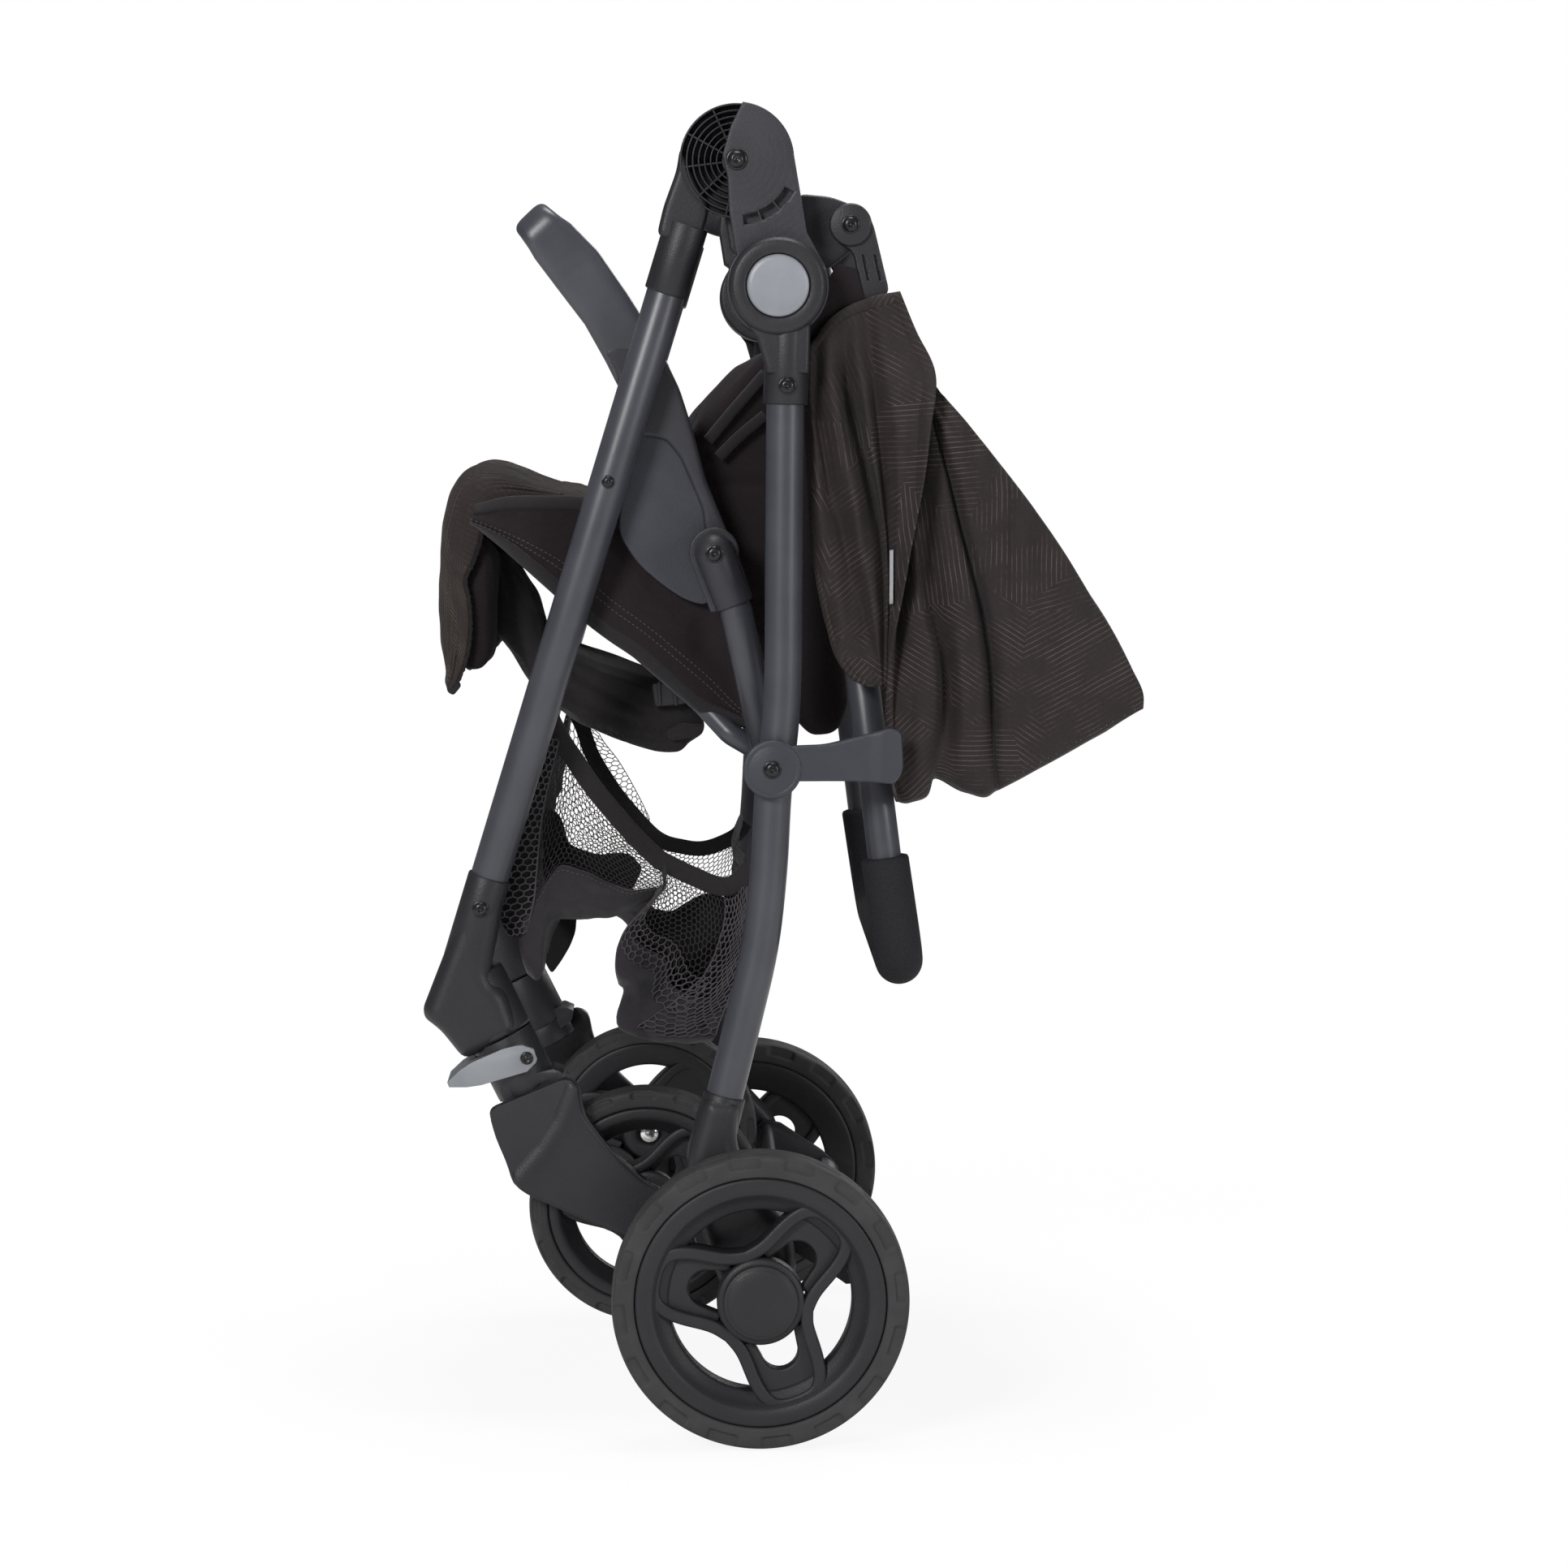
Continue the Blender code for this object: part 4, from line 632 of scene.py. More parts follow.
for end in ("rear", "front"):
    wheel = wheelSizes[end]
    spin = end + "_wheel_{}"
    dressPair(wheelTyre(end + "Tyre", wheel), spin, "rubber", "tyre_rubber", end + "_tyre_{}")
    dressPair(wheelRim(end + "Rim", wheel), spin, "rim", "rim_plastic", end + "_rim_{}")
hubCap = {"centre": wheelSizes["rear"]["centre"], "radius": 25, "near": 269.8, "far": 274.2}
r, low, top = hubCap["radius"], hubCap["near"], hubCap["far"]
cap = lathe("rearHubCap", hubCap["centre"], [(0, low), (r - 0.6, low), (r, low + 0.5), (r, low + 2.4),
    (r - 0.4, low + 3.1), (r - 1.2, low + 3.4), (r - 2.2, low + 3.5), (r - 2.8, top - 0.5), (r - 3.6, top),
    (r * 0.5, top), (0, top - 0.1)], 96)
dressPair(cap, "rear_wheel_{}", "rim", "rim_plastic", "rear_hub_cap_{}")
x, z = wheelSizes["front"]["centre"]
bolt = lathe("axleBolt", (x, z), [(0, 132.0), (3.4, 131.9), (5.6, 132.4), (6.9, 133.4), (7.2, 134.4), (7.2, 135.6),
    (4, 136.2), (4, 173), (0, 173)], 48)
dressPair(bolt, "caster_{}", "chrome", "chrome", "front_axle_bolt_{}")
print("wheels made")


# Tubes of the frame
tubeSizes = {
    "rearLeg": {"radius": 12.5, "y": 218, "line": [(2, 716), (1, 690), (0, 585), (-1, 499), (-7, 435), (-10, 383),
     (-16, 331), (-28, 278), (-42.5, 219.4)]},
    "frontLeg": {"radius": 13, "top": (-73, 784, 192), "low": (-216, 318, 160)},
    "handle": {"radius": 11.3, "y": 175, "line": [(20.2, 779), (69.5, 389), (81, 312)], "bend": 34},
    "seatTube": {"radius": 11, "y": 188, "line": [(-40.6, 582.2), (-32, 559), (-9, 456)]},
    "seatBase": {"radius": 7.5},
}
leg = tubeSizes["rearLeg"]
dressPair(tube("rearLeg", eased([side(x, z, leg["y"]) for x, z in leg["line"]], 6), leg["radius"], 40), "rear_frame",
    "tube", "tube_paint", "rear_leg_{}")
leg = tubeSizes["frontLeg"]
legTop, legLow = side(*leg["top"]), side(*leg["low"])
legAlong = (legLow - legTop).normalized()
dressPair(rod("frontLeg", legTop, legLow, leg["radius"], 40, 0.6), "front_frame", "tube", "tube_paint", "front_leg_{}")
bar = tubeSizes["handle"]
left = [side(x, z, bar["y"]) for x, z in bar["line"]]
dress(tube("handleTube", bent(acrossBoth(left), bar["bend"], 10), bar["radius"], 36), "handle_frame", "tube",
    "tube_paint", "handle_tube")
seat = tubeSizes["seatTube"]
dressPair(tube("seatTube", bent([side(x, z, seat["y"]) for x, z in seat["line"]], 60, 8), seat["radius"], 36),
    "seat_frame", "tube", "tube_paint")
boss = lathe("seatPivotBoss", seatPivot, [(0, 170), (13, 170), (14, 171), (14, 204.2), (13, 205.2), (0, 205.2)], 48)
dressPair(boss, "seat_frame", "tube", "tube_paint", "seat_tube_{}")
left = [(-6, -162, 453), (-35, -162, 470), (-54, -150, 490), (-201, -150, 620)]
under = tube("seatBaseTube", bent(acrossBoth(left), 16, 8), tubeSizes["seatBase"]["radius"], 28)
ends = lathe("seatBaseEnd", seatPivot, [(0, 156), (10.2, 156), (11, 156.8), (11, 168.9), (10.2, 169.7), (0, 169.7)], 40)
dress(gathered("seatBaseTube", under, mirrored(ends, "end"), ends), "seat_frame", "tube", "tube_paint", "seat_base_tube")
x, z = wheelSizes["rear"]["centre"]
dress(rod("rearAxleTube", (x, -209, z), (x, 209, z), 6.5, 28, 0.5), "rear_frame", "tube", "tube_paint", "rear_axle_tube")
dress(rod("rearCrossTube", (-16, -205.2, 331), (-16, 205.2, 331), 8, 32, 0.5), "rear_frame", "tube", "tube_paint",
    "rear_cross_tube")
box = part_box("front_cross_tube")
x, z = (box[0][0] + box[1][0]) / 2 / mm, (box[0][2] + box[1][2]) / 2 / mm
dress(rod("frontCrossTube", (x, box[0][1] / mm, z), (x, box[1][1] / mm, z), 8, 32, 0.5), "front_frame", "tube",
    "tube_paint", "front_cross_tube")
print("tubes made")


# Repeats made with Geometry Nodes
def nodeTree(name, inputs):
    tree = bpy.data.node_groups.new(name, "GeometryNodeTree")
    tree.interface.new_socket("Geometry", in_out="INPUT", socket_type="NodeSocketGeometry")
    for label, kind, value in inputs:
        made = tree.interface.new_socket(label, in_out="INPUT", socket_type=kind)
        if value is not None:
            made.default_value = value
    tree.interface.new_socket("Geometry", in_out="OUTPUT", socket_type="NodeSocketGeometry")
    return tree


def treeNode(tree, kind, settings={}, **inputs):
    # an input is named by its label, or by its number after an underscore
    made = tree.nodes.new(kind)
    for key, value in settings.items():
        setattr(made, key, value)
    for key, value in inputs.items():
        socket = made.inputs[int(key[1:])] if key[0] == "_" else made.inputs[key.replace("_", " ")]
        if isinstance(value, bpy.types.NodeSocket):
            tree.links.new(value, socket)
        else:
            socket.default_value = value
    return made


def endTree(tree, start, geometry):
    # real geometry that carries its finish
    real = treeNode(tree, "GeometryNodeRealizeInstances", Geometry=geometry)
    dressed = treeNode(tree, "GeometryNodeSetMaterial", Geometry=real.outputs[0], Material=start.outputs["Finish"])
    treeNode(tree, "NodeGroupOutput", _0=dressed.outputs[0])


def throughTree(name, mesh, tree, values):
    obj = shown(name, mesh)
    step = obj.modifiers.new("tree", "NODES")
    step.node_group = tree
    for item in tree.interface.items_tree:
        if item.in_out == "INPUT" and item.name in values:
            step[item.identifier] = values[item.name]
    made = frozen(obj, name)
    made.data.materials.clear()
    return made


# copies of a template on the points, each turned by its stored angles
repeatTree = nodeTree("repeat on points", [("Template", "NodeSocketObject", None), ("Size", "NodeSocketFloat", 1.0),
    ("Finish", "NodeSocketMaterial", None)])
start = treeNode(repeatTree, "NodeGroupInput")
template = treeNode(repeatTree, "GeometryNodeObjectInfo", {"transform_space": "ORIGINAL"}, Object=start.outputs["Template"])
turn = treeNode(repeatTree, "GeometryNodeInputNamedAttribute", {"data_type": "FLOAT_VECTOR"}, Name="turn")
rotation = treeNode(repeatTree, "FunctionNodeEulerToRotation", Euler=turn.outputs["Attribute"])
copies = treeNode(repeatTree, "GeometryNodeInstanceOnPoints", Points=start.outputs["Geometry"],
    Instance=template.outputs["Geometry"], Rotation=rotation.outputs[0], Scale=start.outputs["Size"])
endTree(repeatTree, start, copies.outputs[0])


def repeats(name, template, places, finish, size=1.0):
    # places holds (point, angles) in millimetres and radians
    mesh = bpy.data.meshes.new(name)
    mesh.from_pydata([tuple(Vector(p) * mm) for p, turn in places], [], [])
    turns = mesh.attributes.new("turn", "FLOAT_VECTOR", "POINT")
    turns.data.foreach_set("vector", [v for p, turn in places for v in turn])
    return throughTree(name, mesh, repeatTree, {"Template": template, "Size": size, "Finish": finishes[finish]})


# Domed screw heads, each on the outer face of its piece at the left side
screwSizes = {"radius": 5.2, "dome": 2.6, "socket": 1.7}
r, h, inset = screwSizes["radius"], screwSizes["dome"], screwSizes["socket"]
screwTemplate = lathe("screwTemplate", (0, 0), [(0, -0.3), (r + 1.0, -0.3), (r + 1.0, 0.25), (r + 0.4, 0.5), (r, 0.45),
    (r * 0.97, 0.9), (r * 0.86, h * 0.62), (r * 0.66, h * 0.88), (inset + 0.5, h), (inset, h - 0.1),
    (inset * 0.9, h - 1.3), (0, h - 1.4)], 28)
screwPlaces = {
    "rear_frame": [(2.1, 706, 233.0, 1.0)],
    "front_frame": [(-117, 642, 195.2, 0.72), (-205, 352, 176.9, 0.95)],
    "seat_frame": [(*knucklePivot, 201.2, 1.0)],
    "canopy": [(*canopyPivot, 203.0, 1.0)],
}
for body, places in screwPlaces.items():
    parts = [repeats(body + "Screw", screwTemplate, [(side(x, z, y), (0, 0, 0))], "screw", size)
        for x, z, y, size in places]
    dressPair(gathered(body.replace("_frame", "") + "Screws", *parts), body, "screw", "frame_plastic")
dress(repeats("latchScrew", screwTemplate, [(side(*seatPivot, 238.8), (0, 0, 0))], "screw"), "latch", "screw",
    "frame_plastic")
bpy.data.objects.remove(screwTemplate, do_unlink=True)


# Hinges at the top
hinge = {"head": 38, "lug": 34, "slotRadius": 39.7, "slotHalf": 3.3, "cover": (206, 221), "housing": (163, 190),
    "ribs": 7, "ribWidth": 1.0}


def arcOf(centre, radius, start, end, steps):
    turns = [start + (end - start) * i / steps for i in range(steps + 1)]
    return [centre + radius * Vector((cos(radians(a)), sin(radians(a)))) for a in turns]


def hingeOutline(fill=0):
    p, q = foldPivot, rearPivot
    head, lug = arcOf(p, hinge["head"], 84, 4, 24), arcOf(q, hinge["lug"], 32, -218, 48)
    front = [p + Vector(step) for step in ((-5 - fill, -34), (-6, -12), (-9.5, 3), (-4, 22))]
    return head + [q + Vector((19.5, 35))] + lug + [q + Vector((-28 - fill, 24))] + front


cover = moulded("hingeCover", hingeOutline(), *hinge["cover"], 1.3, 0.5, 3.0)
cutters = []
outside, inside = hinge["slotRadius"] + hinge["slotHalf"], hinge["slotRadius"] - hinge["slotHalf"]
for start, end in ((-84, -68.2), (-66.8, -49.8), (-48.4, -29)):
    outline = arcOf(foldPivot, outside, start, end, 8) + arcOf(foldPivot, inside, end, start, 8)
    cutters.append(moulded("slot", outline, 215, 226, 0.3, 0.0, 3.0))
cover = cutAway(cover, *cutters)
dressPair(cover, "handle_frame", "hinge", "frame_plastic", "hinge_cover_{}")
inner = moulded("hingeHousing", hingeOutline(3), *hinge["housing"], 2.2, 2.2, 4.0)
lug = lathe("lug", rearPivot, [(0, 187), (33.3, 187), (33.3, 205.2), (32.6, 205.7), (0, 205.7)], 72)
bracket = moulded("bracket", rounded([(10, 834), (32, 832), (48, 826), (58.5, 815), (51, 800), (34, 786), (16, 776)], 6),
    178, 189.2, 2.0, 1.0, 3.0)
mouth = side(20, 780, bar["y"])
way = (side(*bar["line"][1], bar["y"]) - mouth).normalized()
socket = rod("socket", mouth - way * 12, mouth + way * 62, 13.5, 36, 1.2)
dressPair(gathered("hingeHousing", inner, lug, bracket, socket), "handle_frame", "plastic", "frame_plastic",
    "hinge_housing_{}")
pin = lathe("foldPin", foldPivot, [(0, 165), (5, 165), (5, 221.1), (7.0, 221.1), (7.1, 221.9), (6.4, 222.4), (5.9, 222.3),
    (5.7, 223.0), (4.9, 224.3), (3.4, 225.2), (1.9, 225.5), (1.6, 225.0), (0, 224.9)], 40)
dressPair(pin, "handle_frame", "screw", "chrome", "fold_pin_{}")

# Ribbed head of the front leg
rise, floor, top = 190.3, 197.0, 205.5
profile = [(5.4, rise), (37.4, rise), (37.9, rise + 0.6), (37.9, top - 0.5), (37.5, top), (36.6, top)]
pitch = (37 - 9) / hinge["ribs"]
for i in range(hinge["ribs"]):
    edge = 36.6 - i * pitch
    profile += [(edge, top - 0.2), (edge - 0.25, floor), (edge - pitch + hinge["ribWidth"] + 0.25, floor),
        (edge - pitch + hinge["ribWidth"], top - 0.2)]
profile += [(8.4, top - 0.2), (5.4, top - 0.2)]
disc = lathe("legHeadDisc", foldPivot, profile, 96)
spoke = addObject("spoke", [(x * mm, y * mm, z * mm) for x in (10, 37) for y in (-0.3, 7.6) for z in (-0.5, 0.5)],
    [(0, 1, 3, 2), (4, 6, 7, 5), (0, 4, 5, 1), (2, 3, 7, 6), (0, 2, 6, 4), (1, 5, 7, 3)])
spoke.data.shade_flat()
spokes = repeats("legHeadSpokes", spoke, [(side(*foldPivot, 204.6), (0, radians(-a), 0)) for a in range(43, 403, 36)],
    "plastic")
bpy.data.objects.remove(spoke, do_unlink=True)
neck = moulded("neck", rounded([(-68.4, 864), (-71, 848), (-79.5, 825), (-84, 806), (-57.5, 797), (-51, 815), (-49, 824),
    (-57, 838)], 5), 190.9, 204.9, 4.2, 2.0, 2.5)
collar = rod("collar", legTop - legAlong * 31, legTop + legAlong * 17, 14.8, 44, 1.0)
dressPair(gathered("frontLegHead", disc, spokes, neck, collar), "front_frame", "plastic", "frame_plastic",
    "front_leg_head_{}")

# Head of the rear leg with its reflector
disc = lathe("rearLegHead", rearPivot, [(0, 207), (9, 207), (9, 221.3), (31.8, 221.3), (32.6, 222), (32.6, 231.2),
    (32.3, 232.4), (31, 234.4), (29.6, 235.6), (28.4, 236), (22.6, 236), (21.7, 235.7), (21.2, 234.8), (21.1, 232.8),
    (0, 232.8)], 96)
sleeve = rod("sleeve", side(1.15, 694, 218), side(3.4, 758, 218), 15, 44, 1.0)
neck = moulded("neck", [(-11, 714), (16.6, 714), (17.5, 748), (-25.5, 748), (-18, 738)], 221.3, 231.8, 3.0, 0.0, 3.0)
dressPair(gathered("rearLegHead", disc, sleeve, neck), "rear_frame", "plastic", "frame_plastic", "rear_leg_head_{}")
cap = lathe("reflector", rearPivot, [(0, 233.1), (20.6, 233.1), (20.7, 234.0), (20.3, 235.0), (19.4, 235.7), (17, 236.1),
    (9, 236.4), (0, 236.5)], 96)
dressPair(cap, "rear_frame", "reflector", "reflector_grey", "reflector_cap_{}")
print("hinges made")


def refined(name, node, edge, angle=38):
    # the CAD node's own shape with its edges rounded
    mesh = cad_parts[node].data.copy()
    made = shown(name, mesh)
    work = bmesh.new()
    work.from_mesh(mesh)
    bmesh.ops.remove_doubles(work, verts=work.verts, dist=0.01 * mm)
    bmesh.ops.dissolve_limit(work, angle_limit=radians(1.5), verts=work.verts, edges=work.edges)
    work.to_mesh(mesh)
    work.free()
    mesh.shade_smooth()
    return softened(made, edge, 3, angle)


# Front foot, caster fork and lock lever
legLength = 488.5
footSizes = {"outline": [(-211, 370), (-245, 283), (-244, 276), (-233, 267.5), (-217, 247), (-178, 266), (-188, 295),
    (-199, 304), (-188, 366)], "y": (142, 175.4)}
shin = moulded("shin", rounded(footSizes["outline"], 7), *footSizes["y"], 11.5, 11.5, 3.0)
sleeve = rod("sleeve", legTop + legAlong * (legLength - 58), legTop + legAlong * 492, 14.6, 44, 1.2)
swivelHigh = side(-192, 262, 152)
swivelWay = Vector((0.4472, 0, -0.8944))
barrel = rod("barrel", swivelHigh - swivelWay * 46, swivelHigh - swivelWay * 0.2, 22.5, 56, 2.5)
dressPair(gathered("frontFoot", shin, sleeve, barrel), "front_frame", "plastic", "frame_plastic", "front_foot_{}")

forkSizes = {"outline": [(-201, 214), (-148, 236.5), (-139, 232), (-135, 210), (-116.5, 186), (-94, 165), (-79, 157),
    (-77, 139), (-85, 129), (-99, 126.5), (-112, 128), (-174, 156), (-184, 163), (-189, 179), (-196, 195)],
    "y": (167.2, 179.2), "ridge": [(-142, 236), (-153, 207), (-165, 188), (-182, 168)], "drop": 6.2}


def nearest(point, line):
    # how far a point is from a line of points, and a number whose sign tells on which hand of it
    best, hand = 1e9, 0
    for a, b in zip(line, line[1:]):
        run, here = Vector(b) - Vector(a), Vector(point) - Vector(a)
        t = min(max(here.dot(run) / run.length_squared, 0), 1)
        if (here - run * t).length < best:
            best, hand = (here - run * t).length, run.x * here.y - run.y * here.x
    return best, hand


def forkRelief(x, z, deep):
    # the outer face falls back to the swivel head on the front side of its ridge
    apart, hand = nearest((x, z), forkSizes["ridge"])
    ahead = -apart if hand < 0 else apart
    swell = 1.6 * max(0, 1 - abs(ahead - 4) / 14) ** 2 if ahead > -10 else 0
    share = min(max((-ahead + 1) / 15, 0), 1)
    return swell - forkSizes["drop"] * share * share * (3 - 2 * share)


blade = moulded("forkBlade", rounded(forkSizes["outline"], 6), *forkSizes["y"], 3.6, 1.2, 2.2, forkRelief)
head = rod("forkHead", swivelHigh + swivelWay * 0.5, swivelHigh + swivelWay * 39.5, 21.7, 56, 1.0)
skirt = rod("forkSkirt", swivelHigh + swivelWay * 39, swivelHigh + swivelWay * 56, 20.6, 56, 3.0)
root = refined("forkShoulder", "caster_fork_left", 0.8)
dressPair(gathered("casterFork", root, blade, head, skirt), "caster_{}", "plastic", "frame_plastic", "caster_fork_{}")
lever = refined("lockLever", "swivel_lock_lever_left", 1.4)
dressPair(lever, "swivel_lock_{}", "lever", "lever_grey", "swivel_lock_lever_{}")
rivet = lathe("leverRivet", (-174, 250), [(0, 175), (4.4, 175), (4.4, 178.2), (4.0, 178.8), (2.6, 179.0), (1.9, 178.4),
    (1.4, 178.4), (1.0, 179.0), (0, 179.1)], 32)
dressPair(rivet, "swivel_lock_{}", "screw", "frame_plastic")

# Rear foot
rearFoot = {"outline": [(-54, 232), (-29, 229), (-32, 206), (-31, 194), (-22, 172), (4, 144), (9, 118), (2, 88),
    (-16.5, 79.5), (-34, 86), (-46, 110), (-62, 160), (-66, 190)], "y": (203, 235.6)}
body = moulded("rearFoot", rounded(rearFoot["outline"], 9, 5), *rearFoot["y"], 11.0, 5.0, 3.0)
shinTop, ankle = [side(x, z, tubeSizes["rearLeg"]["y"]) for x, z in tubeSizes["rearLeg"]["line"][-2:]]
shinWay = (ankle - shinTop).normalized()
sleeve = rod("sleeve", ankle - shinWay * 12, ankle + shinWay * 26, 14.4, 44, 1.2)
hub = lathe("axleHub", wheelSizes["rear"]["centre"], [(0, 225), (15, 225), (15, 233), (12.5, 236), (11, 239.3),
    (6, 239.4), (6, 259.5), (0, 260)], 48)
dressPair(gathered("rearFoot", body, sleeve, hub), "rear_frame", "plastic", "frame_plastic", "rear_foot_{}")
dress(refined("brakeBar", "brake_pedal", 1.6), "brake", "plastic", "frame_plastic", "brake_pedal")
print("feet and fork made")

# Latch paddle, handle grip
paddle = {"blade": [(-2, 467.5), (27, 468.5), (45, 473), (71, 479.5), (78, 477), (79.5, 452), (74, 442), (57, 443.5),
    (44, 444), (-2, 444)]}


def paddleRelief(x, z, deep):
    return 1.5 * max(0, 1 - abs(x - 66) / 9) - 0.8 * max(0, 1 - abs(x - 30) / 22)


blade = moulded("paddle", rounded(paddle["blade"], 6), 231.2, 237.8, 2.0, 1.0, 2.5, paddleRelief)
hub = lathe("hub", seatPivot, [(0, 230.8), (19.2, 230.8), (19.7, 231.4), (19.7, 237.2), (19.2, 238.2), (18.2, 238.8),
    (16.4, 238.8), (16, 238.5), (15.4, 238.8), (0, 238.8)], 80)
catch = moulded("catch", rounded([(56, 468), (72, 468), (72, 448), (56, 448)], 3), 224.8, 233, 1.0, 1.0, 3.0)
dress(gathered("latchPaddle", blade, hub, catch), "latch", "side", "frame_plastic", "storage_latch")

gripSizes = {"line": [(69.7, 387), (81, 312)], "radius": 16.3}
left = [side(x, z, bar["y"]) for x, z in gripSizes["line"]]
path = bent(acrossBoth(left), bar["bend"], 12)
start, end = (path[1] - path[0]).normalized(), (path[-2] - path[-1]).normalized()
path = [path[0], path[0] + start * 0.7, path[0] + start * 2.4] + path[1:-1] + [path[-1] + end * 2.4, path[-1] + end * 0.7,
    path[-1]]
total = len(path) - 1
radii = {0: 13.6, 1: 15.6, total: 13.6, total - 1: 15.6}
grip = sweep("handleGrip", path, lambda share: circle(radii.get(round(share * total), gripSizes["radius"]), 40))
dress(grip, "handle_frame", "foam", "grip_foam", "handle_grip")

# Seat sides, bumper, seat tube ends
railOutline = [(-121, 729), (-100, 745), (-91, 748), (-78, 723), (-69, 704), (-60, 676), (-51, 642), (-38, 610),
    (-30, 592), (-50, 588), (-54, 623), (-62, 642), (-69, 658), (-79, 670), (-93, 672), (-106, 668), (-110, 706),
    (-113, 716)]
rail = moulded("rail", rounded(railOutline, 4, 3), 156, 169.5, 3.4, 2.0, 2.5)
sectorOutline = [(-112, 680), (-85, 690), (-60, 665), (-46, 625), (-34, 590), (-50, 557), (-65, 561), (-79, 570),
    (-97, 585), (-111, 606), (-108, 640)]
sector = moulded("seatSector", rounded(sectorOutline, 9, 5), 157.5, 165.4, 1.4, 1.0, 3.0)
cheek = lathe("cheek", knucklePivot, [(0, 166), (13.4, 166), (14, 166.6), (14, 173.6), (13.2, 174.5), (0, 174.5)], 64)
boss = lathe("linkBoss", (-95, 712), [(0, 166), (10, 166), (10, 172.2), (9, 173.2), (0, 173.2)], 48)
dressPair(gathered("seatRail", rail, cheek, boss), "seat_frame", "hinge", "side_grey", "seat_side_{}")
dressPair(sector, "seat_frame", "side", "side_grey")
bumper = {"line": [(-86, 699), (-93, 712), (-102.5, 731), (-118, 757), (-138, 784.5), (-154, 803), (-163.5, 813)],
    "y": 161, "bend": 44, "wide": [16, 18.6, 18.6, 17.8, 18.6, 17.0, 13.8], "thick": [5.4, 7.4, 8.5, 8.6, 8.8, 10.0, 12.0]}
left = [side(x, z, bumper["y"]) for x, z in bumper["line"]]
path = bent(acrossBoth(left), bumper["bend"], 14)
lengths = [(Vector(a) - Vector(b)).length for a, b in zip(bumper["line"], bumper["line"][1:])]
marks = [sum(lengths[:i]) for i in range(len(lengths) + 1)]
swept = [0.0]
for a, b in zip(path, path[1:]):
    swept.append(swept[-1] + (b - a).length)


def bumperSection(share):
    at = swept[min(int(round(share * (len(path) - 1))), len(path) - 1)]
    at = min(at, swept[-1] - at)
    wide, thick = np.interp(at, marks, bumper["wide"]), np.interp(at, marks, bumper["thick"])
    power = np.interp(at, [0, marks[-2], marks[-1] + 60], [0.34, 0.42, 0.72])
    turns = [2 * pi * i / 64 for i in range(64)]
    return [(wide * copysign(abs(cos(t)) ** power, cos(t)), thick * copysign(abs(sin(t)) ** power, sin(t))) for t in turns]


dress(sweep("bumperBar", path, bumperSection), "seat_frame", "tube", "frame_plastic", "bumper_bar")
knuckle, joint = side(*knucklePivot, seat["y"]), side(*seat["line"][1], seat["y"])
way = (joint - knuckle).normalized()
flange = moulded("flange", rounded(arcOf(Vector(knucklePivot), 17, -10, 190, 20)
    + [Vector((-48, 553)), Vector((-20, 564))], 2.5), 174.8, 181.5, 1.2, 0.4, 2.5)
steps = [(-13.2, 0.5), (-12.9, 2.9), (-11.9, 5.7), (-9.8, 8.8), (-6.6, 11.4), (-3, 12.8), (0, 13.2), (36.6, 13.2),
    (37.4, 12.8), (37.7, 12.2)]
it = iter(steps)
barrel = sweep("barrel", [knuckle + way * a for a, r in steps], lambda share: circle(next(it)[1], 44))
dressPair(gathered("seatTubeCap", flange, barrel), "seat_frame", "hinge", "frame_plastic", "seat_tube_cap_{}")

# Canopy arm and bow
arm = moulded("canopyArm", rounded([(31.6, 817), (39, 827), (52, 827), (60, 815), (71.5, 767), (53, 760.5), (47, 795),
    (33, 804)], 6), 189.5, 199.5, 1.6, 0.8, 2.5)
slits = [moulded("slit", [Vector((x, 793)), Vector((x + 1.3, 793)), Vector((x + 5, 776)), Vector((x + 3.7, 776))], 197.5,
    203, 0.05, 0.0, 3.0) for x in (52.5, 60.5)]
arm = cutAway(arm, *slits)
disc = lathe("disc", canopyPivot, [(0, 199), (13.8, 199), (14.2, 199.6), (14.2, 201.4), (13.6, 202.6), (12.6, 203),
    (0, 203)], 64)
dressPair(gathered("canopyArm", arm, disc), "canopy", "plastic", "frame_plastic", "canopy_arm_{}")
bow = [(61, -194.5, 769), (83, -194.5, 721), (153, -207.4, 609), (233, -198.5, 497)]
dress(tube("canopyBow", bent(acrossBoth(bow), 45, 8), 3.2, 16), "canopy", "tube", "tube_paint", "canopy_bow")
print("upper frame made")


# Cloth helpers
def curveThrough(points, count, knots=None):
    # a smooth run through points of any width, evenly spaced by length
    p = np.array(points, float)
    if knots is None:
        knots = np.concatenate([[0], np.cumsum(np.linalg.norm(np.diff(p, axis=0), axis=1) + 1e-6)])
    slopes = np.gradient(p, knots, axis=0)
    at = np.linspace(0, knots[-1], count) if np.isscalar(count) else np.array(count) * knots[-1]
    i = np.clip(np.searchsorted(knots, at, "right") - 1, 0, len(p) - 2)
    h = knots[i + 1] - knots[i]
    t = (at - knots[i]) / h
    shape = (-1,) + (1,) * (p.ndim - 1)
    a, b, c, d = [w.reshape(shape) for w in (2 * t ** 3 - 3 * t ** 2 + 1, (t ** 3 - 2 * t ** 2 + t) * h,
        -2 * t ** 3 + 3 * t ** 2, (t ** 3 - t ** 2) * h)]
    return a * p[i] + b * slopes[i] + c * p[i + 1] + d * slopes[i + 1]


